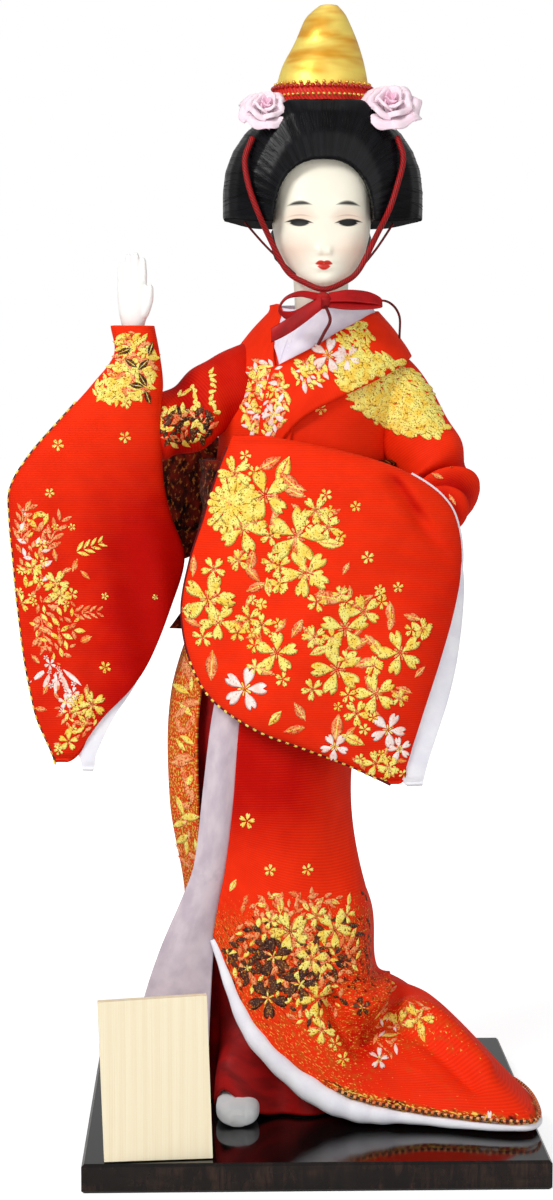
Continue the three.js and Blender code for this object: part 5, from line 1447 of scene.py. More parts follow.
@dataclass
class Skirts:
    """Underskirt, kimono skirt with its padded hem, and the white front lining."""

    under_rows: Rows = ((0.7, -3, 2, 25, 22.6), (12, -4, 1.6, 23, 21), (32, -6.5, 0.4, 21.2, 18.8),
                        (57, -8.5, -0.4, 21, 18.4), (82, -12.6, 0, 21, 18.6), (110, -11.6, 1, 22.2, 19),
                        (136, -7, 2, 18.6, 15.6), (149, -5, 2, 17.4, 14.4))
    arcs: Rows = ((157, -4, 2, 20.2, 17.2, -112, 224), (140, -6.4, 2, 21.8, 18.6, -110, 224),
                  (111, -11.8, 1, 25.6, 22.4, -105, 226), (83, -13.2, 0, 24.4, 22, -108, 226))
    foot_cover: tuple[float, float, float, float] = (-127, 15, 9.0, 7.6)
    knee: Rows = ((-22.8, -21.4, 66.5), (-12, -23.6, 58), (2, -22.4, 53), (12.5, -14.5, 53), (17.4, -1, 53),
                  (15, 11, 53), (7, 18.6, 53), (-6, 22.2, 53), (-22, 18, 53), (-32, 4, 54), (-29.5, -12, 56))
    shin: Rows = ((-23.9, -21.8, 61), (-12.6, -24.6, 47), (3, -24, 38), (15, -17, 36), (19, -2, 33),
                  (17.5, 11.5, 33), (9.5, 20, 36), (-5.5, 24.2, 38), (-24, 20, 38), (-34, 4, 38),
                  (-31.2, -12.5, 39))
    calf: Rows = ((-24.8, -22, 56.5), (-13, -25.6, 38), (4, -26.2, 24.5), (19.5, -21, 23), (30, -8, 27.5),
                  (31.6, 6, 27), (23, 21, 27), (-4, 27.5, 26), (-26, 22, 26), (-36, 4, 26), (-33, -13, 26))
    hem: Rows = ((-26, -22, 49.5), (-15, -27.4, 26), (6, -29.6, 9.6), (27, -31.6, 4.4), (57, -37, 3.2),
                 (53.6, 6, 3.2), (40, 34, 3.2), (0, 48, 3.2), (-34, 37, 3.2), (-43, 8, 3.2), (-37, -13, 3.2))
    hem_radii: Sequence[float] = (0.8, 2.3, 3.1, 1.5, 0.85, 0.9, 0.9, 0.9, 0.9, 0.9, 0.9)
    lining_rows: Rows = ((116, -24.5, -18.6, -15.5, -20.2), (104, -26.6, -19.2, -18, -20.4),
                         (90, -28.3, -20, -19.6, -20.2), (70, -30.6, -20.2, -21.6, -19.8),
                         (61, -33.4, -20.6, -23, -20), (46, -39.8, -21.2, -25.6, -20.6),
                         (32, -44.4, -20.4, -26.6, -21), (18, -47.4, -18.4, -27.2, -20.4),
                         (3, -48.6, -16, -28.4, -18.4))
    gold: Rows = ((-17, 79.8, 2.1), (-5.8, 51, 5.2), (6, 50.7, 4.7), (0, 43.5, 4.2), (1.5, 33.1, 4.7),
                  (2.5, 25.4, 3.7), (-11, 54, 2.4), (1.3, 54.5, 2.9), (9.3, 54, 2.4), (21.7, 31.2, 2.4),
                  (5.9, 21.6, 1.8), (8, 17.6, 1.8), (29, 25.3, 4.2), (23.9, 23.6, 3.7), (-11, 67, 1.6),
                  (-1.1, 66.7, 1.6))
    dark: Rows = ((-10.3, 44.4, 5.2), (-11.6, 33.7, 5.2), (-3.2, 37.1, 4.7), (-17.1, 41.5, 2.6),
                  (-22, 44.8, 2.1), (8.8, 42.2, 1.8), (13.2, 30.7, 2.4), (15, 57.3, 1.8), (16.1, 49.9, 1.8))
    white: Rows = ((17.6, 17.2, 2.4), (45.6, 3.3, 2.4))
    leaves: Rows = ((-20.7, 62.9, 2.6), (-13.1, 58, 2.4), (-8.4, 58.2, 3.7), (-9.7, 60.3, 2.6),
                    (-1.6, 57.4, 2.4), (2.1, 57.9, 2.4), (6.1, 57.7, 2.4), (10.2, 57.6, 2.4),
                    (21.1, 21.5, 3.7), (29.6, 21.2, 3.1))
    patches: tuple = (((Thread.DARK, Thread.GOLD, Thread.ROSE, Thread.DARK, Thread.ROSE),
                       -10, 45, (12.5, 10.5), 110, 3.0),
                      ((Thread.ROSE, Thread.GOLD, Thread.DARK, Thread.ROSE), 4.5, 46, (9, 9.5), 70, 2.8),
                      ((Thread.ROSE,), -6, 58, (14, 3.4), 34, 2.8),
                      ((Thread.GOLD, Thread.DARK, Thread.ROSE), 1, 33, (8, 8), 44, 2.6),
                      ((Thread.GOLD, Thread.ROSE), 25, 27.5, (7.5, 4.5), 30, 2.6),
                      ((Thread.ROSE, Thread.ROSE, Thread.WHITE), 20, 21.5, (3, 5), 16, 2.2),
                      ((Thread.ROSE, Thread.GOLD, Thread.ROSE), -31, 104, (4.5, 20), 44, 4.6),
                      ((Thread.ROSE, Thread.GOLD), -31, 74, (4.5, 16), 34, 4.4))
    creases: tuple = ((-4.4, 2.4, ((6, 32), (9, 25), (13.5, 20), (18.5, 25), (24, 31), (29, 34))),
                      (4.2, 2.8, ((14, 30), (18, 30.5), (24, 35.5), (31, 36.5))),
                      (-2.4, 1.9, ((22, 24), (31, 20), (42, 11))), (2.2, 2.2, ((24, 28), (35, 24), (46, 14))),
                      (-1.8, 1.7, ((26, 31), (37, 29), (48, 19))), (1.5, 1.8, ((16, 17), (28, 13), (40, 7))))
    columns: int = 220
    rows: int = 120

    def build(self) -> None:
        """Builds the four cloths."""
        self.underskirt()
        self.lining()
        grid = self.skirt_grid()
        self.hem_roll(grid)
        self.skirt(grid)

    def underskirt(self) -> None:
        """The straight red underskirt."""
        rows = smooth_rows(self.under_rows, 110)
        grid = ovals(rows, 200)
        angle = circle(200)
        h = rows[:, :1]
        low = smoothstep(h, 60, 2)
        grow_by = low * (0.7 * np.sin(angle * 13 + 0.6) + 0.4 * np.sin(angle * 7 + h * 0.05)) - 0.2
        way, wide, far, high = self.foot_cover
        turned = (np.degrees(angle) - 90 - way + 180) % 360 - 180
        grow_by = grow_by + far * bump(turned, 0, wide) * smoothstep(h, 28, 7)
        out = outward(angle - np.pi / 2)
        grid = grid + out * grow_by[..., None]
        grid[..., 2] += high * bump(turned / (wide * 0.85), 0, 1) ** 1.5 * smoothstep(h, 26, 0.7)
        piece = from_grid("underskirt_silk", lift(grid), wrap=True)
        piece = thicken(tidy(piece), 1.0)
        wear(Finishes.silk.dress(piece), Body.STAND, "red_silk", "red_underskirt")
        sheet(piece, (140, 155))

    def lining(self) -> None:
        """The white panel that opens down the front."""
        rows = smooth_rows(self.lining_rows, 110)
        t = np.linspace(0, 1, 48)[None, :]
        h, lx, ly, rx, ry = (rows[:, k, None] for k in range(5))
        fold = smoothstep(h, 90, 10) * (0.5 * np.sin(t * 9 + 0.4) * (1 - t)) + 0.25 * np.sin(h * 0.16 + t * 5)
        grid = np.stack([lx + (rx - lx) * t, ly + (ry - ly) * t - 1.6 * np.sin(np.pi * t) + fold * 0.6,
                         h + 0 * t], -1)
        piece = thicken(tidy(from_grid("front_lining_cotton", lift(grid), flip=True), outward=False), 0.8)
        wear(Finishes.shaded.dress(piece), Body.STAND, "white_cotton", "white_front_lining")
        sheet(piece, (17, 118))

    def skirt_grid(self) -> Grid:
        """Points of the skirt's outer face in millimetres, rows from waist to hem."""
        levels = []
        for h, x, y, rx, ry, start, end in self.arcs:
            a = np.radians(np.linspace(start, end, 11))
            levels.append(np.stack([x + rx * np.cos(a), y + ry * np.sin(a), np.full(11, h)], -1))
        levels += [np.array(k, float) for k in (self.knee, self.shin, self.calf, self.hem)]
        flat = centripetal(np.array(levels), self.columns)
        grid = np.swapaxes(centripetal(np.swapaxes(flat, 0, 1), self.rows), 0, 1)
        down = np.linspace(0, 1, self.rows)[:, None]
        around = np.linspace(0, 1, self.columns)[None, :]
        fold = 2.4 * (smoothstep(around, 0.36, 0.5) - smoothstep(around, 0.9, 1)) * down**2 \
            * (0.5 + 0.5 * np.sin(2 * np.pi * 9 * around))
        soft = 0.6 * smoothstep(down, 0.1, 0.6) * np.sin(2 * np.pi * (5 * around + 1.3 * down)) \
            * smoothstep(around, 0.02, 0.2) * smoothstep(down, 1.0, 0.85)
        out = np.stack([grid[..., 0] - 0.3 * grid[:1, :, 0], grid[..., 1], 0 * grid[..., 0]], -1)
        out /= np.linalg.norm(out, axis=-1, keepdims=True)
        return self.creased(grid + out * (fold + soft)[..., None], around, down)

    def creased(self, grid: Grid, around: np.ndarray, down: np.ndarray) -> Grid:
        """Presses the train's folds into the cloth.

        Args:
            grid: The skirt's points.
            around: Share of the way round for each column.
            down: Share of the way down for each row.

        Returns:
            The folded points.
        """
        normal = np.cross(np.gradient(grid, axis=0), np.gradient(grid, axis=1))
        normal /= np.maximum(np.linalg.norm(normal, axis=-1, keepdims=True), 1e-9)
        normal *= np.sign(normal[self.rows // 2, 40, 1]) * -1
        place = grid[..., [0, 2]]
        push = np.zeros(grid.shape[:2])
        for depth, width, line in self.creases:
            path = smooth_rows(line, 40)
            away = np.linalg.norm(place[:, :, None] - path[None, None], axis=-1).min(-1)
            push += depth * np.exp(-((away / width) ** 2))
        keep = smoothstep(around, 0.08, 0.14) * smoothstep(around, 0.46, 0.4) * smoothstep(down, 1.0, 0.94)
        return grid + normal * (push * keep)[..., None]

    def skirt(self, grid: Grid) -> None:
        """The figured skirt and what is woven on it."""
        h = grid[..., 2]
        around = np.linspace(0, 1, self.columns)[None, :] + 0 * h
        lower = smoothstep(h, 64, 52) * (1 - 0.85 * smoothstep(around, 0.34, 0.48)) \
            * (1 - 0.8 * smoothstep(h, 22, 14) * smoothstep(around, 0.2, 0.3))
        panel = 0.85 * smoothstep(around + 0.006 * np.sin(h * 0.35), 0.852, 0.872) \
            * smoothstep(h + 2 * np.sin(around * 90), 19, 28)
        front = smoothstep(around, 0.5, 0.42)
        away = np.linalg.norm(grid - grid[-1:], axis=-1)
        border = smoothstep(away, 3.2, 2.0) * smoothstep(around, 0.17, 0.21) * front
        gilded = np.clip(np.maximum(np.maximum(lower * 0.42, panel * 0.75), border * 0.75), 0, 1)
        inked = np.clip(np.maximum(np.maximum(panel * 0.2, 0.42 * lower * bump(h, 42, 14)), border * 0.5), 0,
                        1)
        length = np.linalg.norm(np.diff(grid, axis=1), axis=-1).sum(1).mean() / 10
        drop = np.linalg.norm(np.diff(grid, axis=0), axis=-1).sum(0).mean() / 10
        u, v = np.meshgrid(np.linspace(0, length, self.columns + 1), np.linspace(0, drop, self.rows))
        # Painted shade: darker on the upper skirt where the sleeves shade it, and in the pocket of the
        # train's fold.
        deep = 0.85 * smoothstep(h, 62, 90) * smoothstep(around, 0.24, 0.1) + 0.15 * smoothstep(h, 66, 90) \
            + 0.9 * bump(grid[..., 0], 13, 5) * bump(h, 22, 7) * front
        piece = from_grid("kimono_skirt_cloth", lift(grid), cut=np.stack([u, v], -1), flip=True,
                          masks={"gilded": gilded, "inked": inked, "deep": deep})
        piece = thicken(tidy(piece, outward=False), 0.9)
        wear(Finishes.brocade.dress(piece), Body.STAND, "brocade", "kimono_skirt")
        woven = Ornament(piece)
        for threads, x, height, half, count, size in self.patches:
            woven.patch(threads, x, height, half, count, size)
        for thread, table in ((Thread.GOLD, self.gold), (Thread.DARK, self.dark), (Thread.WHITE, self.white)):
            for x, height, radius in table:
                woven.blossom(thread, x, height, radius)
        for k, (x, height, size) in enumerate(self.leaves):
            woven.leaf(Thread.GOLD, x, height, size * 1.4, 0.5 + k * 1.3)
        extra = woven.wear(Body.STAND)
        sheet(piece, (170, 160))
        edge = lift(grid[-1] + np.array((0, -0.9, 0.9)))[int(self.columns * 0.2): int(self.columns * 0.5)]
        wear(cord_run("hem_dark_trim", [edge], Finishes.threads[Thread.DARK], 0.42), Body.STAND,
             "dark_brocade")
        trim = bead_row("hem_gold_trim", edge, Finishes.threads[Thread.ROSE], 1.7, (0.5, 0.5, 0.75))
        wear(trim, Body.STAND, "gold_brocade")

    def hem_roll(self, grid: Grid) -> None:
        """The padded white roll below the hem."""
        path = grid[-1]
        radius = smooth_rows(np.array(self.hem_radii)[:, None], len(path))[:, 0]
        gather = 1 + 0.05 * np.sin(np.arange(len(path)) * 0.9) + 0.04 * np.sin(np.arange(len(path)) * 0.37)
        centre = path + np.array((0, 0.4, 0))
        centre[:, 2] = np.maximum(path[:, 2] - radius - 0.3, radius + 0.3)
        tube = swept(centre, 20, radius * gather, radius * gather, (0, 0, 1))
        piece = solid("hem_roll_padding", lift(tube))
        wear(Finishes.cotton.dress(piece), Body.STAND, "white_cotton", "white_hem_roll")


@dataclass
class Torso:
    """Bodice, collar, lapels, obi and upper sleeves."""

    body: Rows = ((130, -8.2, 1.8, 23.4, 20), (140, -6.4, 2, 21.8, 18.6), (150, -4.8, 2, 20.6, 17.6),
                  (158, -4, 2, 20.2, 17.2), (172.8, -2, 1.5, 22.5, 18), (188.66, 1, 1.5, 25, 18.5),
                  (199.23, 3, 2, 23.5, 17), (207.16, 3.5, 3, 18.5, 13.5), (213.5, 3.8, 4, 13, 10.5))
    white: Rows = ((-118, 213.4, 196), (-90, 214, 201.5), (-55, 214.8, 206.4), (0, 215.4, 209.4),
                   (90, 215.4, 210.6), (180, 214.8, 209.4), (228, 213.8, 205), (246, 213.4, 197))
    left_lapel: Rows = ((-121, 198, 167), (-110, 200.6, 176), (-97, 203.6, 184.6), (-77, 208, 190.4),
                        (-45, 212, 197), (-15, 213.2, 201), (30, 213.6, 202.4), (97, 213.8, 204))
    right_lapel: Rows = ((94, 213.8, 204), (150, 214.6, 202.6), (196, 215, 200), (214, 214.8, 198),
                         (226, 210.6, 194.4), (233, 204.6, 190), (240, 199, 186), (250, 193, 182),
                         (259, 188, 178))
    wing: Rows = ((4.5, 27, 160, 3, 6), (14, 27, 163, 4, 12), (27, 25.5, 164, 3.6, 17),
                  (39, 23.4, 162, 1.8, 19))
    tail: Rows = ((151.6, -7, 2, 26.6), (146, -17, -3, 26.2), (136, -30, -12, 26), (126, -38, -22, 25.4))
    right_upper: Rows = ((-9, 2.5, 201.5, 6.4), (-17.5, 0, 194.8, 9.8), (-27, -3.6, 189, 9.2),
                         (-39, -8, 181.5, 7.8), (-43.5, -9.4, 179.5, 5.4))
    left_upper: Rows = ((15, 2.6, 201.5, 6.6), (21.5, 1, 192.6, 9.8), (29, -3.2, 178.6, 10),
                        (34.2, -7.6, 168, 9), (34.8, -13, 163, 7.8), (33, -17.6, 160.4, 6.6),
                        (30.8, -21.2, 160, 5.4))

    def build(self) -> None:
        """Builds the dressed torso."""
        Finishes.straw.dress(bpy.data.objects["straw_body"])
        for node in ("right_upper_arm", "left_upper_arm"):
            Finishes.wadding.dress(bpy.data.objects[node])
        self.bodice()
        self.strip("white_collar_band", self.white, 0.75, 0.5, Finishes.collar, "white_cotton",
                   "white_collar", 8)
        self.strip("left_lapel_band", self.left_lapel, 1.9, 0.6, Finishes.brocade, "gold_brocade",
                   "left_lapel", 12)
        self.strip("right_lapel_band", self.right_lapel, 1.2, 0.35, Finishes.brocade, "brocade",
                   "right_lapel", 11)
        self.obi()
        self.upper_sleeve("right", self.right_upper)
        self.upper_sleeve("left", self.left_upper)

    def at_height(self, height: np.ndarray) -> np.ndarray:
        """Rows [x, y, half width, half depth] of the body at heights."""
        table = smooth_rows(self.body, 200)
        return np.stack([np.interp(height, table[:, 0], table[:, k]) for k in range(1, 5)], -1)

    def bodice(self) -> None:
        """The red bodice over the straw body."""
        h = np.linspace(158, 213.5, 84)
        rows = np.column_stack([h, self.at_height(h)])
        grid = ovals(rows, 160)
        angle = circle(160, -90)
        crease = 0.35 * np.sin(h[:, None] * 0.5 + 3 * np.cos(angle)) * bump(h[:, None], 180, 14)
        out = outward(angle)
        masks = {"gilded": np.zeros(grid.shape[:2]), "inked": np.zeros(grid.shape[:2])}
        piece = from_grid("bodice_cloth", lift(grid + out * crease[..., None]), wrap=True, masks=masks)
        piece = thicken(tidy(piece), 1.0)
        wear(Finishes.brocade.dress(piece), Body.STAND, "brocade", "kimono_bodice")
        woven = Ornament(piece)
        self.figure(woven)
        extra = woven.wear(Body.STAND)
        sheet(piece, (140, 56))

    @staticmethod
    def figure(woven: Ornament) -> None:
        """What is woven over chest and left shoulder, laid on whichever cloth is there."""
        woven.patch((Thread.GOLD,), 21.4, 191.4, (17, 8.4), 230, 3.6, shape=Shape.QUILL, lean=0.52,
                    spread=0.7)
        woven.patch((Thread.GOLD,), 10.6, 207, (5.4, 4.2), 46, 2.8, shape=Shape.QUILL, lean=0.4, spread=1.2)
        woven.patch((Thread.GOLD, Thread.WHITE, Thread.GOLD), -0.4, 196.4, (4.6, 3.6), 26, 2.6)
        woven.patch((Thread.GOLD, Thread.WHITE, Thread.ROSE, Thread.GOLD), -12.4, 190, (6.4, 10.6), 110, 2.7)
        for thread, x, height, radius in ((Thread.WHITE, 4.4, 201.4, 4.6), (Thread.WHITE, 9.4, 200.8, 3.4),
                                          (Thread.GOLD, -1.6, 199.6, 3), (Thread.WHITE, -10, 186, 3),
                                          (Thread.GOLD, -14, 194.6, 3.2), (Thread.GOLD, 2.4, 187.5, 1.6)):
            woven.blossom(thread, x, height, radius)

    def strip(self, name: str, rows: Rows, off: float, thick: float, finish: Finish, slot: str, node: str,
              width: float) -> None:
        """A collar band laid round the body.

        Args:
            name: Name of the piece.
            rows: [angle, inner height, outer height].
            off: How far its face stands off the body.
            thick: Its thickness.
            finish: Its finish.
            slot: The slot's name; white_cotton strips get no ornament.
            node: The CAD node that it replaces.
            width: Cut width in millimetres.
        """
        table = smooth_rows(rows, 120)
        t = np.linspace(0, 1, 16)[None, :]
        h = table[:, 1:2] + (table[:, 2:3] - table[:, 1:2]) * t
        size = self.at_height(h)
        a = np.radians(table[:, :1]) + 0 * t
        crown = off + 0.08 * np.sin(np.pi * t)
        grid = np.stack([size[..., 0] + (size[..., 2] + crown) * np.cos(a),
                         size[..., 1] + (size[..., 3] + crown) * np.sin(a), h], -1)
        ones = np.ones(grid.shape[:2])
        masks = {"gilded": ones * 0, "inked": ones * 0}
        piece = from_grid(name, lift(grid), masks=masks)
        out = np.cross(grid[1, 0] - grid[0, 0], grid[0, 1] - grid[0, 0])
        if np.dot(out, grid[0, 0] - np.array((size[0, 0, 0], size[0, 0, 1], h[0, 0]))) > 0:
            piece.data.flip_normals()
        piece = thicken(tidy(piece, outward=False), thick)
        wear(finish.dress(piece), Body.STAND, slot, node)
        length = np.linalg.norm(np.diff(grid[:, 8], axis=0), axis=-1).sum()
        extra = []
        if slot != "white_cotton":
            woven = Ornament(piece)
            self.figure(woven)
            extra = woven.wear(Body.STAND)
        sheet(piece, (max(width, 10), round(float(length))),
              min(width / 10, 1))

    def obi(self) -> None:
        """The obi with its bow and tail."""
        h = np.linspace(143, 174, 60)
        size = self.at_height(h)
        size[:, 2:] += 3.0
        grid = ovals(np.column_stack([h, size]), 160)
        angle = circle(160, -90)
        tuck = 0.35 * np.sin((h[:, None] - 143) * 0.62) + 0.2 * np.sin(angle * 5 + h[:, None] * 0.2)
        out = outward(angle)
        masks = {"gilded": np.full(grid.shape[:2], 0.5), "inked": np.full(grid.shape[:2], 0.4)}
        band = thicken(tidy(from_grid("obi_band_cloth", lift(grid + out * tuck[..., None]), wrap=True,
                                      masks=masks)), 1.8)
        wear(Finishes.obi.dress(band), Body.STAND, "dark_brocade", "obi_band")
        sheet(band, (32, 142))
        for side, node in ((-1, "obi_right_wing"), (1, "obi_left_wing")):
            self.obi_wing(side, node)
        self.obi_knot()
        self.obi_tail()

    def obi_wing(self, side: int, node: str) -> None:
        """One padded loop of the obi's bow, gathered at the knot."""
        rows = smooth_rows(self.wing, 70)
        angle = circle(72)
        out, y, h, deep, tall = (rows[:, k, None] for k in range(5))
        part = np.linspace(0, 1, 70)[:, None]
        pleat = 0.7 * np.sin(angle * 7) * smoothstep(part, 0.9, 0.1) + 0.35 * np.sin(angle * 3 + part * 5)
        grid = np.stack([-2.5 + side * (out + 0 * angle),
                         y + (deep + pleat) * np.sign(np.sin(angle)) * np.abs(np.sin(angle)) ** 0.8,
                         h + (tall + 0.4 * pleat) * np.cos(angle)], -1)
        masks = {"gilded": np.full(grid.shape[:2], 0.5), "inked": np.full(grid.shape[:2], 0.4)}
        piece = solid(f"{node}_cloth", lift(grid), masks)
        wear(Finishes.obi.dress(piece), Body.STAND, "dark_brocade", node)

    def obi_knot(self) -> None:
        """The knot of the obi's bow."""
        x = np.linspace(-4.2, 4.2, 40)[:, None]
        angle = circle(56)
        swell = np.sqrt(np.clip(1 - (x / 4.6) ** 2, 0.05, 1)) * 0.35 + 0.65
        groove = 1 + 0.04 * np.sin(x * 4.2 + np.sin(angle * 2))
        grid = np.stack([-2.5 + x + 0 * angle, 27 + 4.4 * swell * groove * np.cos(angle),
                         160 + 7.9 * swell * groove * np.sin(angle)], -1)
        masks = {"gilded": np.full(grid.shape[:2], 0.5), "inked": np.full(grid.shape[:2], 0.4)}
        piece = solid("obi_knot_cloth", lift(grid), masks)
        wear(Finishes.obi.dress(piece), Body.STAND, "dark_brocade", "obi_knot")

    def obi_tail(self) -> None:
        """The short tail below the knot."""
        rows = smooth_rows(self.tail, 60)
        t = np.linspace(0, 1, 24)[None, :]
        h, start, end, y = (rows[:, k, None] for k in range(4))
        grid = np.stack([start + (end - start) * t, y + 0.5 * np.cos(t * 7) * smoothstep(h, 150, 135),
                         h - 2.5 * t * 0], -1)
        masks = {"gilded": np.full(grid.shape[:2], 0.5), "inked": np.full(grid.shape[:2], 0.4)}
        piece = thicken(tidy(from_grid("obi_tail_cloth", lift(grid), masks=masks), outward=False), 0.9, 0.0)
        wear(Finishes.obi.dress(piece), Body.STAND, "dark_brocade", "obi_tail")
        sheet(piece, (16, 34))

    def upper_sleeve(self, side: str, rows: Rows) -> None:
        """One sleeve from shoulder to elbow; its lower end turns towards the forearm."""
        table = smooth_rows(rows, 70)
        part = np.linspace(0, 1, 70)[:, None]
        angle = circle(96)
        radius = table[:, 3]
        flat = radius * (1 - 0.12 * smoothstep(part[:, 0], 0.4, 0.9))
        grid = swept(table[:, :3], 96, flat, radius, (0, 0.35, 1) if side == "right" else (0.5, 0, 1))
        centre = table[:, None, :3]
        out = grid - centre
        out /= np.linalg.norm(out, axis=-1, keepdims=True)
        # Painted shade in the deep mask: the left sleeve darker in the valleys of its elbow folds, the right
        # one dark all over where the raised sleeve shades it and darker still in its fold valleys.
        if side == "left":
            wave = np.sin(part * 32 + 2.2 * np.sin(angle + 0.6)) * bump(part, 0.6, 0.2)
            deep = smoothstep(part, 0.4, 0.54) * (0.55 - 0.55 * wave)
            size, first, last = 1.7, 30, 48
        else:
            wave = np.sin(part * 26 + 2.4 * np.sin(angle + 0.6)) * bump(part, 0.66, 0.2)
            deep = 0.75 - 0.3 * wave
            size, first, last = 0.9, 40, 62
        crease = size * wave + 0.3 * np.sin(part * 9 + angle * 2)
        grid = grid + out * crease[..., None]
        masks = {"gilded": 0 * deep, "inked": 0 * deep, "deep": deep}
        piece = thicken(tidy(from_grid(f"{side}_upper_sleeve_cloth", lift(grid), wrap=True, masks=masks)),
                        0.9)
        Finishes.brocade.dress(piece)
        woven = Ornament(piece)
        if side == "left":
            self.figure(woven)
            for x, height, turn in ((33, 170, 2.0), (36.5, 164, 2.6), (38, 172, 1.0)):
                woven.leaf(Thread.ROSE, x, height, 3.4, turn)
        else:
            woven.patch((Thread.DARK, Thread.ROSE, Thread.DARK, Thread.GOLD), -34, 183, (9, 5), 60, 3.2)
            for curve in (((-26, 197.5), (-25.4, 194), (-26, 190), (-24.6, 186.6)),
                          ((-37, 193), (-33.6, 191.4), (-31, 193), (-30.2, 189.6)),
                          ((-38, 187.4), (-33, 186.8), (-29.4, 188.4))):
                for x, height in smooth_rows(curve, 9):
                    woven.ring(Thread.GOLD, Shape.QUILL, x, height, 1, -1, 2, 1.3, x * 3)
        extra = woven.lay()
        for part_piece in [piece, *extra]:
            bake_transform(part_piece)
        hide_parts(f"{side}_upper_sleeve")
        sheet(piece, (54, 48 if side == "right" else 56))


@dataclass
class SleeveBag:
    """A hanging sleeve of two panels, sewn at the edges and open where arm and lining show."""

    name: str
    rows: Rows
    middle: Callable[[np.ndarray, np.ndarray], np.ndarray]
    open_left: tuple[float, float] | None = None
    open_right: tuple[float, float] | None = None
    open_top: bool = False
    gap: float = 1.6
    ripple: Callable[[np.ndarray, np.ndarray], np.ndarray] = lambda x, h: 0 * x
    down: int = 130
    across: int = 100

    def panel(self, front: bool) -> Grid:
        """One panel's points in millimetres.

        Args:
            front: True for the panel that faces the front.

        Returns:
            Array (down, across, 3).
        """
        table = smooth_rows(self.rows, self.down)
        h, left, right, half = (table[:, k, None] for k in range(4))
        s = np.linspace(0, 1, self.across)[None, :]
        x = (left + right) / 2 - (right - left) / 2 * np.cos(np.pi * s)
        low, high = table[0, 0], table[-1, 0]
        close = smoothstep(h, low, low + 3.0)
        if not self.open_top:
            close = close * smoothstep(h, high, high - 2.5)
        deep = half * np.sin(np.pi * s) ** 0.7 * close
        for span, edge in ((self.open_left, (1 - s) ** 8), (self.open_right, s**8)):
            if span:
                ramp = smoothstep(h, span[0], span[0] + 7) * (1 - smoothstep(h, span[1] - 7, span[1]))
                deep = deep + self.gap * edge * ramp * close
        y = self.middle(x, h) + (-deep if front else deep) + self.ripple(x, h)
        return np.stack([x, y, h + 0 * s], -1)

    def build(self, thick: float, masks: Callable[[np.ndarray, np.ndarray], Masks]) -> bpy.types.Object:
        """Sews the panels together and gives them their thickness.

        Args:
            thick: Cloth thickness in millimetres.
            masks: Makes the named masks from x and height.

        Returns:
            The object.
        """
        parts = []
        for front in (True, False):
            grid = self.panel(front)
            cut = grid[..., [0, 2]] / 10
            parts.append(from_grid(f"{self.name}_{front}", lift(grid), flip=not front, cut=cut,
                                   masks=masks(grid[..., 0], grid[..., 2])))
        piece = tidy(join(self.name, parts), outward=False, merge=2e-6)
        return thicken(piece, thick)


def no_masks(x: np.ndarray, h: np.ndarray) -> Masks:
    """Masks of a cloth without zones."""
    return {"gilded": 0 * x, "inked": 0 * x}


@dataclass
class Hand:
    """A porcelain hand with its fingers together."""

    palm: Rows = ((0, 0, 0, 3.3, 3.3), (5, 0, 0, 3.3, 3), (10, 0.2, -0.2, 4.4, 2.8),
                  (15.5, 0, -0.2, 4.7, 2.4), (19.5, -0.2, -0.1, 4.5, 1.9), (21, -0.2, 0, 3.6, 1.3))
    fingers: Rows = ((-3.5, 25.6), (-1.25, 28.4), (1.1, 28.8), (3.3, 27.2))
    thumb: Rows = ((3.2, -0.8, 9.5), (5, -1.6, 14), (5.4, -1.8, 19))

    def build(self, name: str, place: Matrix, size: float, voxel: float) -> bpy.types.Object:
        """Builds the hand as one skin.

        Args:
            name: Name of the piece.
            place: Where the wrist is, in metres.
            size: Scale of the hand.
            voxel: Size of the skin's cells in millimetres.

        Returns:
            The object.
        """
        parts = [solid(f"{name}_palm", ovals(smooth_rows(self.palm, 40), 40) * MM)]
        for k, (x, tip) in enumerate(self.fingers):
            path = smooth_rows([(x * 0.9, 0.1, 16), (x, 0.0, 20), (x * 1.0, -0.25, (20 + tip) / 2 + 1),
                                (x * 0.96, 0.15, tip)], 30)
            t = np.linspace(0, 1, 30)
            knuckle = 1.3 - 0.42 * t + 0.1 * bump(t, 0.5, 0.08)
            knuckle *= np.sqrt(np.clip(1 - np.clip((t - 0.88) / 0.125, 0, 1) ** 2, 0.04, 1))
            parts.append(solid(f"{name}_finger{k}", swept(path, 20, knuckle, knuckle, (0, 1, 0)) * MM))
        path = smooth_rows(self.thumb, 30)
        t = np.linspace(0, 1, 30)
        round_tip = np.sqrt(np.clip(1 - np.clip((t - 0.86) / 0.145, 0, 1) ** 2, 0.04, 1))
        thick = (1.7 - 0.65 * t) * round_tip
        parts.append(solid(f"{name}_thumb", swept(path, 20, thick, thick, (0, 1, 0)) * MM))
        piece = join(name, parts)
        piece.data.transform(place @ Matrix.Scale(size, 4))
        return rounded(piece, voxel, 3)


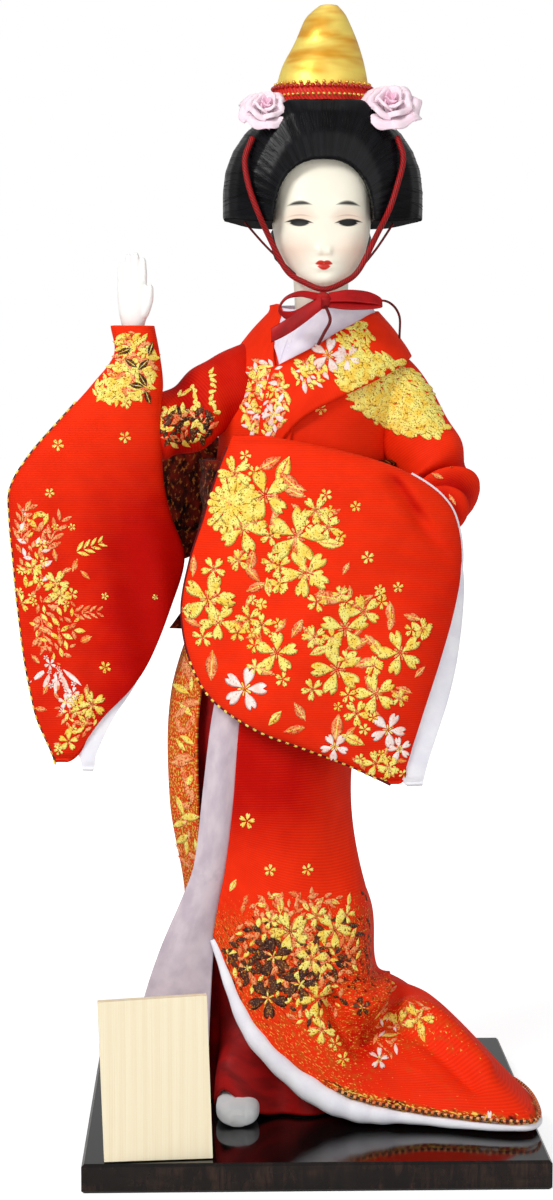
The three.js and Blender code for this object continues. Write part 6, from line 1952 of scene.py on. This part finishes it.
@dataclass
class RightArm:
    """The raised arm with its long sleeve."""

    wrist: tuple[float, float, float] = (-46.4, -15, 203.8)
    sleeve: Rows = ((94, -67.6, -65.2, 1.4), (97, -68.6, -61.6, 2), (105.7, -72.2, -55.3, 2.8),
                    (113.7, -74, -47.6, 3.2), (121.6, -75.4, -42.3, 3.4), (134.8, -77, -37, 3.7),
                    (148, -78.2, -33.2, 4), (158.5, -79, -36.4, 4.3), (166.8, -78.7, -38.4, 4.7),
                    (175.5, -73.5, -39, 5.1), (187.3, -63, -39.2, 5.4), (194, -57, -38.6, 5.4),
                    (201.5, -51.4, -39.4, 5.4), (209, -52.2, -40.8, 5.4))
    lining: Rows = ((91.8, -60.4, -57.6, 0.6), (97, -62, -56.4, 0.8), (105.7, -68, -52.2, 1),
                    (113.7, -71, -47, 1.2), (121.6, -72.8, -43, 1.4), (134.8, -74.4, -38.2, 1.6),
                    (147, -75.4, -35.4, 1.8))
    gold: Rows = ((-66.8, 142.1, 3.4), (-72.8, 146.1, 2.4), (-76, 136.6, 2.4), (-70.4, 152.1, 1.6),
                  (-65.8, 138.9, 2.6), (-64, 100, 2.6), (-57.6, 109.9, 3.7), (-54.1, 119.8, 1.6),
                  (-65.9, 178.2, 1.6), (-48.2, 189.1, 1.6), (-48.5, 180.2, 1.6), (-54, 138.7, 1),
                  (-66.9, 156.8, 1), (-62.5, 156.8, 1), (-40.9, 138.2, 0.8), (-68.2, 165.7, 1.3))
    white: Rows = ((-64.5, 110.6, 2.1), (-62.6, 113, 1.8), (-66.5, 116.5, 1.8), (-68.6, 120.5, 1.6))
    leaves: Rows = ((-61.8, 146.8, 3.1), (-59.2, 144.2, 2.6), (-75.5, 156, 3.1), (-67, 149.4, 2.6),
                    (-71.3, 108.5, 2.6), (-69.9, 113.8, 2.6), (-72.5, 121.8, 2.6), (-59.3, 127.1, 3.7),
                    (-65.9, 127.1, 2.6), (-69.8, 129.7, 2.6), (-73.9, 162.5, 2.6))
    dark: Rows = ((-46.8, 199.4, 2.2), (-43.6, 199, 0.8), (-42.6, 190.6, 2.8), (-48.4, 202.4, 1.2),
                  (-43.8, 195, 2.6), (-41.8, 203, 0.3), (-45.4, 193.6, 1.7))
    sprays: tuple = ((Thread.ROSE, -76, 152, 10, 0.1), (Thread.ROSE, -70, 150, 11, 0.5),
                     (Thread.ROSE, -71, 134, 10, 3.0), (Thread.GOLD, -62, 150, 8, 1.2),
                     (Thread.ROSE, -63, 134, 8, 1.5))
    patches: tuple = (((Thread.GOLD, Thread.GOLD, Thread.ROSE), -46.4, 199, (6.4, 8.4), 96, 3.0),
                      ((Thread.GOLD,), -50, 192.6, (6.4, 4), 50, 2.8),
                      ((Thread.ROSE, Thread.GOLD, Thread.ROSE, Thread.WHITE), -72.4, 151, (4.4, 12), 40, 2.8),
                      ((Thread.GOLD, Thread.ROSE), -67, 131, (6.6, 9), 44, 2.5),
                      ((Thread.ROSE, Thread.GOLD), -61, 107, (5.4, 6), 40, 2.4))

    @staticmethod
    def middle(x: np.ndarray, h: np.ndarray) -> np.ndarray:
        """Y of the sleeve's middle."""
        inner = 2.4 * smoothstep(x, -60, -34) * smoothstep(h, 180, 155)
        wave = 1.6 * np.clip((170 - h) / 76, 0, 1) * np.sin((x + 79) / 46 * 2 * np.pi)
        return -12.4 - 2.6 * smoothstep(h, 168, 204) + inner + wave

    @staticmethod
    def painted_shade_masks(x: np.ndarray, h: np.ndarray) -> Masks:
        """The cloth's masks, with painted shade towards the inner edge and the tip."""
        deep = smoothstep(h, 188, 150) * (0.4 + 0.7 * smoothstep(x, -66, -44))
        return {"gilded": 0 * x, "inked": 0 * x, "deep": deep}

    @staticmethod
    def ripple(x: np.ndarray, h: np.ndarray) -> np.ndarray:
        """Soft folds that hang from the elbow."""
        return 0.8 * np.sin((x + 0.25 * h) * 0.42) * smoothstep(h, 178, 140) * smoothstep(h, 95, 112)

    def build(self) -> None:
        """Builds sleeve, lining and hand."""
        Finishes.wadding.dress(bpy.data.objects["right_forearm"])
        bag = SleeveBag("right_sleeve_cloth", self.sleeve, self.middle, None, (86, 152), True,
                        ripple=self.ripple)
        piece = Finishes.brocade.dress(bag.build(0.8, self.painted_shade_masks))
        wear(piece, Body.RIGHT_ARM, "brocade", "right_sleeve")
        woven = Ornament(piece)
        for side in Side:
            woven.side = side
            for x, h, r in self.gold:
                (woven.cluster if r > 2 else woven.blossom)(Thread.GOLD, x, h, r)
            for x, h, r in self.white:
                woven.cluster(Thread.WHITE, x, h, r)
            for k, (x, h, size) in enumerate(self.leaves):
                woven.leaf(Thread.ROSE, x, h, size * 1.3, 0.4 + k * 1.9)
            for patch in self.patches:
                woven.patch(*patch)
            woven.ring(Thread.WHITE, Shape.LEAF, -67, 121, 5, 2.4, 6.6, 1.5, 2.3, 2.2)
            for x, h, turn in self.dark:
                woven.leaf(Thread.DARK, x, h, 3.8, turn, 0.16)
            for thread, x, h, size, turn in self.sprays:
                woven.spray(thread, x, h, size, turn if side is Side.FRONT else -turn)
        extra = woven.wear(Body.RIGHT_ARM)
        sheet(piece, (84, 100))
        inner = SleeveBag("right_lining_cotton", self.lining, self.middle, None, (80, 150), True, 0.5,
                          self.ripple)
        lining = Finishes.cotton.dress(inner.build(0.35, no_masks))
        wear(lining, Body.RIGHT_ARM, "white_cotton", "right_sleeve_lining")
        sheet(lining, (70, 52))
        edge = smooth_rows(self.sleeve, 150)
        path = np.stack([edge[:, 1] + 0.1,
                         self.middle(edge[:, 1], edge[:, 0]) + self.ripple(edge[:, 1], edge[:, 0]),
                         edge[:, 0]], -1)[:118]
        piping = cord_run("right_sleeve_piping", [lift(path)], Finishes.threads[Thread.DARK], 0.55)
        wear(piping, Body.RIGHT_ARM, "dark_brocade")
        dashes = bead_row("right_sleeve_stitches", lift(path + np.array((-0.3, -0.3, 0))),
                          Finishes.threads[Thread.GOLD], 2.6, (0.34, 0.34, 0.7))
        wear(dashes, Body.RIGHT_ARM, "gold_brocade")
        hand = Hand().build("right_hand_skin", Matrix.Translation(Vector(at(*self.wrist))), 0.84, 0.38)
        wear(Finishes.skin.dress(hand), Body.RIGHT_HAND, "porcelain", "right_hand")


@dataclass
class LeftArm:
    """The arm across the front with its wide figured sleeve."""

    sleeve: Rows = ((90, 20.4, 22.8, 1.4), (92, 16.4, 23.6, 1.8), (96, 8, 24.8, 2.4), (100, -2, 26, 2.8),
                    (105, -14.6, 27.6, 3.2), (112.5, -26, 30, 3.6), (122.5, -31.6, 33.2, 4),
                    (135.5, -33.8, 36.8, 4.4), (148.5, -31.6, 38.8, 5), (158.5, -28.4, 37.4, 5.6),
                    (164.5, -26.6, 34, 6), (169.5, -25, 27.6, 6), (174, -23.4, 18, 5.2),
                    (178, -21.8, 3, 3.6), (181, -20.6, -13, 1.6))
    lining: Rows = ((89.4, 24.8, 28.8, 0.7), (96, 16, 30.4, 0.9), (105, -10, 33.4, 1.2),
                    (112.5, -21, 35.8, 1.5), (122.5, -27, 38, 1.8), (135.5, -28.6, 39.4, 2.2),
                    (146, -27.4, 39.2, 2.5), (154, -26, 36.6, 2.4))
    gold: Rows = ((-18.1, 157.4, 6.6), (-4.6, 155.5, 7.7), (-2.2, 146.1, 6.6), (-26.8, 138.9, 7.1),
                  (-24.4, 133.4, 5.1), (-9.5, 125.5, 5.6), (6, 121, 7.1), (7.9, 131.7, 6.6),
                  (12.8, 136, 4.6), (22.3, 125.1, 6.1), (16.1, 114.5, 5.6), (11.1, 109.5, 3.6),
                  (16.3, 96, 3.6), (19.7, 94.9, 3.1), (0.2, 162.2, 3.8), (-12.6, 165.9, 6.6),
                  (-20, 171.4, 4.6), (3.4, 157.9, 3.6), (-16.6, 134.3, 3.6), (-13.3, 132.6, 3.1),
                  (10.4, 163.1, 1.5), (13.6, 150, 1.8), (16.8, 141.6, 1.5), (21.6, 142.1, 1.5))
    white: Rows = ((-17.6, 115.9, 5.6), (5.5, 100.7, 3.6), (19.4, 104.9, 4.6), (22.5, 99.7, 3.1))
    leaves: Rows = ((-8, 172, 5.1), (-6.2, 169.2, 4.6), (-11.3, 174, 4.1), (-10, 159, 3.6),
                    (3.8, 153.7, 4.1), (8.1, 147.3, 2.3), (-15.8, 145.9, 3.6), (-14.8, 142.3, 3.6),
                    (-11.7, 142.4, 3.1), (3.8, 139.8, 5.1), (-4.3, 131.9, 3.6), (-0.7, 129.8, 4.1),
                    (1.6, 126.1, 3.6), (19.6, 135.7, 3.6), (25.4, 134.3, 3.1), (27.2, 130.6, 2),
                    (16, 126.7, 4.1), (13.5, 122.6, 4.1), (-26.1, 121.6, 5.1), (-13, 121, 4.1),
                    (-9.9, 108.5, 3.1), (-3.5, 110.1, 3.6), (-4.8, 105.4, 3.6), (6.1, 105.7, 4.6),
                    (10.3, 102.5, 4.1), (27.6, 119.9, 2.5), (12.7, 95.8, 2.5))

    @staticmethod
    def middle(x: np.ndarray, h: np.ndarray) -> np.ndarray:
        """Y of the sleeve's middle."""
        return -33 + (177.5 - h) * 0.062 + 0.0055 * x**2 + 1.1 * np.clip((150 - h) / 60, 0, 1) * np.sin(x / 7)

    @staticmethod
    def painted_shade_masks(x: np.ndarray, h: np.ndarray) -> Masks:
        """The cloth's masks, with painted shade towards the outer edge and the hem and in the crease by the
        forearm.
        """
        crease = bump(x - 24.4 + (h - 165) * 0.7, 0, 1.6)
        deep = 0.42 * smoothstep(x, 12, 36) * smoothstep(h, 164, 145) + 0.25 * smoothstep(h, 125, 95) \
            + 0.8 * crease * smoothstep(h, 158, 163) * smoothstep(h, 173, 169)
        return {"gilded": 0 * x, "inked": 0 * x, "deep": deep}

    @staticmethod
    def ripple(x: np.ndarray, h: np.ndarray) -> np.ndarray:
        """Soft folds from the forearm down."""
        crease = bump(x - 24 + (h - 164) * 0.7, 0, 2.4)
        fold = 2.2 * crease * smoothstep(h, 146, 160) * smoothstep(h, 173, 168)
        return 0.6 * np.sin((x - 0.5 * h) * 0.21) * smoothstep(h, 165, 135) * smoothstep(h, 92, 110) + fold

    def build(self) -> None:
        """Builds sleeve, lining and hand."""
        Finishes.wadding.dress(bpy.data.objects["left_forearm"])
        bag = SleeveBag("left_sleeve_cloth", self.sleeve, self.middle, (138, 178), (84, 148),
                        ripple=self.ripple)
        piece = Finishes.brocade.dress(bag.build(0.8, self.painted_shade_masks))
        wear(piece, Body.LEFT_ARM, "brocade", "left_sleeve")
        woven = Ornament(piece)
        for x, h, r in self.gold:
            (woven.cluster if r > 3 else woven.blossom)(Thread.GOLD, x, h, r * 0.95)
        for x, h, r in self.white:
            woven.blossom(Thread.WHITE, x, h, r)
        woven.fan(Thread.GOLD, -21.2, 163.3, 7.6, petals=22)
        for k, (x, h, size) in enumerate(self.leaves):
            woven.leaf(Thread.ROSE if k % 4 else Thread.GOLD, x, h, size * 1.6, 0.4 + k * 1.9)
        extra = woven.wear(Body.LEFT_ARM)
        self.edges()
        sheet(piece, (140, 82))
        inner = SleeveBag("left_lining_cotton", self.lining, self.middle, None, (80, 152), True, 0.5,
                          self.ripple)
        lining = Finishes.cotton.dress(inner.build(0.35, no_masks))
        wear(lining, Body.LEFT_ARM, "white_cotton", "left_sleeve_lining")
        sheet(lining, (136, 56))
        place = Matrix.Translation(Vector(at(-10, -32.2, 169))) @ Matrix.Rotation(math.radians(-82), 4, "Y")
        hand = Hand().build("left_hand_skin", place, 0.48, 0.3)
        wear(Finishes.skin.dress(hand), Body.LEFT_ARM, "porcelain", "left_hand")

    def edge(self, column: int, low: float, high: float) -> Grid:
        """Points of one edge of the sleeve, in metres, between two heights."""
        rows = smooth_rows(self.sleeve, 260)
        rows = rows[(rows[:, 0] >= low) & (rows[:, 0] <= high)]
        x, h = rows[:, column], rows[:, 0]
        return lift(np.stack([x, self.middle(x, h) + self.ripple(x, h), h], -1))

    def edges(self) -> None:
        """The white turned edge above, and the piping with its stitches along the lower edge."""
        white = cord_run("left_sleeve_white_edge", [self.edge(2, 144, 171)], Finishes.cotton, 0.55)
        wear(white, Body.LEFT_ARM, "white_cotton")
        piping = cord_run("left_sleeve_piping", [self.edge(1, 90, 178)], Finishes.thin_cord, 0.5)
        wear(piping, Body.LEFT_ARM, "red_silk")
        trim = bead_row("left_sleeve_gold_trim", self.edge(1, 92, 122), Finishes.threads[Thread.GOLD], 2.2,
                        (0.6, 0.6, 0.9))
        wear(trim, Body.LEFT_ARM, "gold_brocade")


@dataclass
class Head:
    """The porcelain head on its neck."""

    rows: Rows = ((218.3, 3.2, -8.5, 2.6, 3), (220.5, 3.2, -7, 6.6, 8.2), (225.5, 3.2, -4.2, 10.2, 12.4),
                  (232.5, 3.2, -2.4, 12.5, 14.2), (239.5, 3.2, -1.4, 13.2, 15.4),
                  (247.5, 3.2, -0.8, 13, 14.8), (254.5, 3.2, 0, 11.2, 12.4), (259.5, 3.2, 1, 6.8, 7.6),
                  (261.5, 3.2, 1.4, 2.2, 2.6))

    def build(self) -> None:
        """Builds the head with its features."""
        Finishes.timber.dress(bpy.data.objects["neck_peg"])
        grid = ovals(smooth_rows(self.rows, 150), 180)
        x, y, h = grid[..., 0] - 3.2, grid[..., 1], grid[..., 2]
        front = smoothstep(-y, 2, 7)
        rise = 0.45 * bump(x, 0, 1.9) * bump(h, 228.6, np.where(h > 228.6, 3.2, 1.2))
        rise += 0.6 * bump(np.abs(x), 1.4, 0.8) * bump(h, 228.3, 1.0)
        rise -= 0.55 * bump(np.abs(x), 5.8, 3.2) * bump(h, 236.6, 2.4)
        rise += 0.4 * bump(np.abs(x), 5.8, 3.4) * bump(h, 240.6, 1.5)
        rise += 0.45 * bump(x, 0, 2.1) * bump(h, 225.6, 0.7) + 0.5 * bump(x, 0, 1.7) * bump(h, 224.1, 0.75)
        rise -= 0.35 * bump(x, 0, 2.4) * bump(h, 224.9, 0.35) + 0.3 * bump(x, 0, 2.0) * bump(h, 222.6, 0.8)
        rise += 0.55 * bump(x, 0, 3.2) * bump(h, 220.6, 1.6)
        rise += 0.5 * bump(np.abs(x), 7.2, 3.0) * bump(h, 229.5, 3.5)
        rise += 2.9 * np.clip(np.abs(x) / 11, 0, 1) ** 2 * smoothstep(h, 222, 231) * smoothstep(h, 261, 251)
        grid[..., 1] -= rise * front
        face = solid("head_skin", lift(grid))
        neck_rows = smooth_rows([(203, 3.4, 3.5, 7.6, 7.6), (208, 3.4, 3.4, 7.2, 7.2),
                                 (214, 3.3, 2.6, 7.0, 7.1), (222, 3.2, 0.5, 7.4, 8.0),
                                 (229, 3.2, 0, 8.0, 9.0)], 40)
        neck = solid("neck_skin", lift(ovals(neck_rows, 64)))
        union = face.modifiers.new("fuse", "BOOLEAN")
        union.operation = "UNION"
        union.solver = "EXACT"
        union.object = neck
        settle(face)
        mesh = neck.data
        bpy.data.objects.remove(neck)
        bpy.data.meshes.remove(mesh)
        tidy(face, outward=False)
        wear(Finishes.head.dress(face), Body.HEAD, "porcelain", "head")


@dataclass
class Wig:
    """Combed hair: the rolled front with its wings, the nape and the topknot."""


    def build(self) -> None:
        """Builds the hair."""
        front = self.combed("wig_front", "wig_front_hair", 0.5, 0.13)
        self.combed("wig_nape", "wig_nape_hair", 0.55, 0.13)
        self.combed("wig_topknot", "wig_topknot_hair", 0.5, 0.13)
        self.strands(front)

    def combed(self, node: str, name: str, voxel: float, depth: float) -> bpy.types.Object:
        """A softened copy of the CAD hair with comb furrows.

        Args:
            node: The CAD node.
            name: Name of the piece.
            voxel: Cell size of the skin in millimetres.
            depth: Depth of the furrows.

        Returns:
            The piece.
        """
        piece = rounded(node_copy(name, node), voxel, 4)
        points = points_of(piece)
        level = points[:, 2] / MM - BOARD_TOP
        points[:, 2] += 2.2 * MM * smoothstep(-points[:, 1] / MM, 8.5, 12.5) * smoothstep(level, 250, 263) \
            * (bump(points[:, 0] / MM, 3.6, 18) + 1.1 * bump(np.abs(points[:, 0] / MM - 3.6), 10.5, 5))
        off = np.abs(points[:, 0] / MM - WIG_DOME[0])
        points[:, 2] += 1.2 * MM * smoothstep(off, 17, WIG_DOME[3]) * smoothstep(level, 243, 236)
        normals = np.empty(len(points) * 3)
        piece.data.vertex_normals.foreach_get("vector", normals)
        x = points[:, 0] / MM - HAIR_CENTRE[0]
        h = points[:, 2] / MM - BOARD_TOP - HAIR_CENTRE[1]
        angle = np.arctan2(x, h)
        comb = np.sin(angle * 62 + 1.3 * np.sin(angle * 9)) * 0.6 + np.sin(angle * 131 + 2) * 0.4
        comb *= 1 - 0.8 * smoothstep(np.abs(x), 18, 24)
        set_points(piece, points + normals.reshape(-1, 3) * (comb * depth * MM * 0.5)[:, None])
        return wear(Finishes.hair.dress(piece), Body.HEAD, "hair", node)

    def strands(self, front: bpy.types.Object) -> None:
        """Fine locks that lie along the comb lines of the front."""
        tree = surface_of(front)
        x0, y0, h0, rx, ry, rz = WIG_DOME
        paths = []
        for k, turn in enumerate(np.linspace(-1.75, 1.75, 90)):
            path = []
            start = 0.62 + 0.03 * math.sin(k * 2.4)
            for r in np.linspace(start, 0.995, 26):
                a = turn * (1.04 + 0.02 * math.sin(k * 1.7)) + 0.012 * math.sin(r * 20 + k)
                point = Vector(at(x0 + rx * r * math.sin(a), y0 - ry * max(1 - r**3, 0) ** (1 / 3),
                                  h0 + rz * r * math.cos(a)))
                near, normal, _, gap = tree.find_nearest(point)
                if near is not None and gap < 1.6 * MM and near.z > (236.6 + BOARD_TOP) * MM:
                    path.append(np.array(near + normal * 0.02 * MM))
            if len(path) > 8:
                paths.append(np.array(path))
        locks = cord_run("wig_front_locks", paths, Finishes.hair, 0.09)
        wear(locks, Body.HEAD, "hair")


@dataclass
class Cap:
    """Gilt cap with its band, beads and ribbon roses."""

    rows: Rows = ((262.5, 3.4, -1, 12.2, 9.5), (270.5, 3.4, -1, 12.2, 9.5), (277, 3.7, -0.5, 11, 8.8),
                  (283.6, 4.5, 0.8, 8.4, 7.3), (289.6, 4.6, 2, 5.9, 5.7), (291.8, 4.9, 2.5, 4.4, 4.6),
                  (293.6, 5.2, 2.8, 2.5, 3.2))

    def build(self) -> None:
        """Builds cap, band, beads and roses."""
        self.cap()
        self.band()
        self.rose("right_rose", (-11.8, -11.5, 265), 6.6)
        self.rose("left_rose", (20.6, -10.5, 266), 7.8)

    def at_height(self, height: np.ndarray) -> np.ndarray:
        """Rows [x, y, half width, half depth] of the cap at heights."""
        table = smooth_rows(self.rows, 160)
        return np.stack([np.interp(height, table[:, 0], table[:, k]) for k in range(1, 5)], -1)

    def cap(self) -> None:
        """The folded card cap, open below."""
        h = np.linspace(262.6, 293.6, 110)
        grid = ovals(np.column_stack([h, self.at_height(h)]), 128)
        angle = circle(128, -90)
        level = h[:, None] - 1.8 * np.cos(angle)
        dent = 0.25 * bump(level, 287.4, 1.8) - 0.4 * bump(level, 283.6, 2.0)
        dent = dent * smoothstep(-np.sin(angle), 0.3, 0.9)
        out = outward(angle)
        grid = grid + out * dent[..., None]
        top = grid[-1]
        middle = top.mean(0)
        crown = np.array([middle + (top - middle) * s + np.array((0, 0, 0.25 * (1 - s)))
                          for s in (0.8, 0.5, 0.2, 0.02)])
        piece = thicken(tidy(from_grid("gilt_cap_card", lift(np.concatenate([grid, crown])), wrap=True)), 0.7)
        wear(Finishes.gilt.dress(piece), Body.HEAD, "gilt", "gilt_cap")

    def band(self) -> None:
        """The braided band with a row of beads at each edge."""
        h = np.linspace(262.6, 271.5, 40)
        size = self.at_height(h)
        size[:, 2:] += 0.4 + 0.1 * np.sin((h[:, None] - 262.6) * 2.1)
        grid = ovals(np.column_stack([h, size]), 160)
        piece = thicken(tidy(from_grid("cap_band_braid", lift(grid), wrap=True)), 0.8, 0.0)
        wear(Finishes.band.dress(piece), Body.HEAD, "red_cord", "cap_band")
        for name, height, finish, spacing, radius in (
                ("cap_band_red_beads", 271.4, Finishes.bead_red, 1.5, 0.62),
                ("cap_band_gilt_beads", 272.4, Finishes.bead_gold, 2.1, 0.5),
                ("cap_band_lower_beads", 269.2, Finishes.bead_gold, 1.4, 0.5)):
            row = self.at_height(np.array([height]))
            row[:, 2:] += 0.95 if height < 272 else 0.45
            path = ovals(np.column_stack([[height], row]), 160)[0]
            wear(bead_row(name, lift(path), finish, spacing, (radius, radius, radius), True), Body.HEAD,
                 "gilt")

    def rose(self, node: str, place: Sequence[float], radius: float) -> None:
        """A rose wound from ribbon, facing forward and up.

        Args:
            node: The CAD node that it replaces.
            place: Its middle.
            radius: Its radius.
        """
        turn = Matrix.Translation(Vector(at(*place))) @ Matrix.Rotation(math.radians(48), 4, "X")
        for ring, (count, out, tall, lean, finish) in enumerate((
                (3, 0.16, 0.66, 0.05, Finishes.bud), (4, 0.36, 0.64, 0.25, Finishes.rose),
                (5, 0.58, 0.52, 0.55, Finishes.rose), (6, 0.78, 0.3, 0.9, Finishes.rose))):
            petals = []
            for k in range(count):
                t = np.linspace(0, 1, 14)[:, None]
                s = np.linspace(-1, 1, 20)[None, :]
                spread = s * (0.66 if ring else 0.9) * (1.9 * np.pi / count)
                a = 2 * np.pi * k / count + ring * 0.7 + spread
                lift_by = tall * np.sin(t * np.pi * 0.6) * (1 - 0.3 * s**2)
                away = out * (0.4 + 0.6 * np.sin(t * np.pi * 0.5)) + lean * 0.3 * t**2 + 0.04 * s \
                    + 0.05 * t**2 * np.sin(s * 4.6 + k * 2.3 + ring)
                curl = -0.16 * smoothstep(t, 0.7,
                                          1.0) * lean + 0.06 * t**2 * np.sin(s * 5.2 + k * 1.7 + ring * 2)
                grid = np.stack([away * np.cos(a), away * np.sin(a), lift_by + curl - 0.2 + 0 * a],
                                -1) * radius
                petals.append(thicken(tidy(from_grid(f"{node}_petal", grid * MM), outward=False), 0.4, 0.0))
            if ring == 0:
                bud = join(f"{node}_bud", petals)
                bud.data.transform(turn)
                wear(finish.dress(bud), Body.HEAD, "pink_ribbon")
                outer = []
            else:
                outer += petals
        piece = join(f"{node}_ribbon", outer)
        piece.data.transform(turn)
        wear(Finishes.rose.dress(piece), Body.HEAD, "pink_ribbon", node)


@dataclass
class ChinCord:
    """Red cords under the chin and the bow at the throat."""

    bow: tuple[float, float, float] = (3.2, -17.6, 215.4)
    right_loop: Rows = ((-1.6, 1.0, 1.1), (-6, 1.8, 0.8), (-10, 0.6, 0.4), (-11.6, -2.6, 0.5), (-8, -4, 1.5),
                        (-4, -2.2, 1.8), (-1.6, -0.6, 1.4))
    left_loop: Rows = ((1.2, 0.9, 1.3), (6, 1.3, 1.7), (11, 0.9, 1.7), (14.2, 0, 1.2), (14.6, -0.9, 0.9),
                       (11, -0.9, 1.4), (6, -0.8, 1.6), (1.2, -0.6, 1.2))
    broad: Rows = ((2.4, -20.4, 216.4, 213.2), (-3, -21.2, 213, 209), (-7, -21.6, 210.4, 206.4),
                   (-10.6, -21.2, 208.2, 204.6))
    thin: Rows = ((3.4, -18.6, 214.4), (4.6, -21.2, 210.4), (3, -21.8, 207), (1.4, -21.6, 204))
    back_cords: tuple[Rows, ...] = (((-17.2, -8, 236.2), (-11.4, -9.6, 229.6), (-4, -11.6, 222.4)),
                                    ((21.8, -8, 236), (17.2, -9.6, 229.2), (11.6, -11.6, 222.4)),
                                    ((13, -17.8, 215), (19.4, -16.4, 215.4), (23, -13, 212),
                                     (23.4, -10, 206)))

    @staticmethod
    def on_wig(x: float, h: float) -> tuple[float, float, float]:
        """A point just off the hair's dome."""
        middle, depth, level, wide, deep, tall = WIG_DOME
        up = (h - level) / tall
        straight = math.sqrt(1 - max(up, -0.6) ** 2) if up < 0 else 1.0
        out = max(1 - math.hypot((x - middle) / wide * straight, up) ** 3, 0) ** (1 / 3)
        return (x, depth - deep * out - 1.9, h)

    def build(self) -> None:
        """Builds cord, bow and tails."""
        route = [self.on_wig(-15.2, 257.7), self.on_wig(-17.2, 252.1), self.on_wig(-16.4, 245.4),
                 self.on_wig(-14, 238.4), (-11, -14.2, 232.1), (-6.4, -13.4, 223.5), (-1.6, -14.8, 220.2),
                 (3.2, -16.2, 218.45), (8.2, -14.8, 220.2), (12.4, -13.4, 223.5), (16.8, -14.2, 232.1),
                 self.on_wig(19.8, 238.4), self.on_wig(22, 244.8), self.on_wig(23.8, 252.1),
                 self.on_wig(22.4, 257.9)]
        path = smooth_rows(route, 260)
        cord = solid("chin_cord_braid", lift(swept(path, 16, 0.75, 0.75, (0, 1, 0.05))))
        wear(Finishes.cord.dress(cord), Body.HEAD, "red_cord", "chin_cord")
        second = cord_run("second_chin_cords", [lift(smooth_rows(rows, 24)) for rows in self.back_cords],
                          Finishes.thin_cord, 0.32)
        wear(second, Body.HEAD, "red_cord")
        self.knot()
        self.loop("bow_right_loop", self.right_loop)
        self.loop("bow_left_loop", self.left_loop)
        self.tails()

    def knot(self) -> None:
        """The knot of the bow."""
        x0, y0, h0 = self.bow
        angle = circle(40)
        s = np.linspace(-1, 1, 30)[:, None]
        swell = np.sqrt(np.clip(1 - s**2, 0.02, 1)) * (1 + 0.06 * np.sin(angle * 5))
        grid = np.stack([x0 - 0.3 + 2.5 * s + 0 * angle, y0 + 2.0 * swell * np.cos(angle),
                         h0 + 2.2 * swell * np.sin(angle)], -1)
        piece = solid("bow_knot_satin", lift(grid))
        wear(Finishes.ribbon.dress(piece), Body.HEAD, "red_cord", "bow_knot")

    def loop(self, node: str, rows: Rows) -> None:
        """One loop of flat ribbon."""
        x0, y0, h0 = self.bow
        path = smooth_rows(rows, 90)
        t = np.linspace(-1, 1, 12)[None, :]
        width = path[:, 2:3]
        grid = np.stack([x0 + path[:, :1] + 0 * t, y0 - 0.6 + 0.5 * t * width,
                         h0 + path[:, 1:2] + 0.88 * t * width], -1)
        piece = thicken(tidy(from_grid(f"{node}_satin", lift(grid)), outward=False), 0.5, 0.0)
        wear(Finishes.ribbon.dress(piece), Body.HEAD, "red_cord", node)

    def tails(self) -> None:
        """The broad tail and the thin one."""
        rows = smooth_rows(self.broad, 50)
        t = np.linspace(0, 1, 10)[None, :]
        x, y, high, low = (rows[:, k, None] for k in range(4))
        grid = np.stack([x + 0 * t, y - 0.25 * np.sin(np.pi * t), low + (high - low) * t], -1)
        piece = thicken(tidy(from_grid("bow_broad_tail_satin", lift(grid)), outward=False), 0.5, 0.0)
        wear(Finishes.ribbon.dress(piece), Body.HEAD, "red_cord", "bow_broad_tail")
        path = smooth_rows(self.thin, 40)
        tail = solid("bow_thin_tail_cord", lift(swept(path, 12, 0.42, 0.42, (0, 1, 0.1))))
        wear(Finishes.thin_cord.dress(tail), Body.HEAD, "red_cord", "bow_thin_tail")


def main() -> None:
    """Builds the scene in order."""
    logging.basicConfig(level=logging.INFO, format="%(name)s: %(message)s")
    for part in (Stage(), Stand(), Skirts(), Torso(), RightArm(), LeftArm(), Head(), Wig(), Cap(),
                 ChinCord()):
        log.info("building %s", type(part).__name__)
        part.build()
    Ornament.clear()


if __name__ == "__main__":
    main()
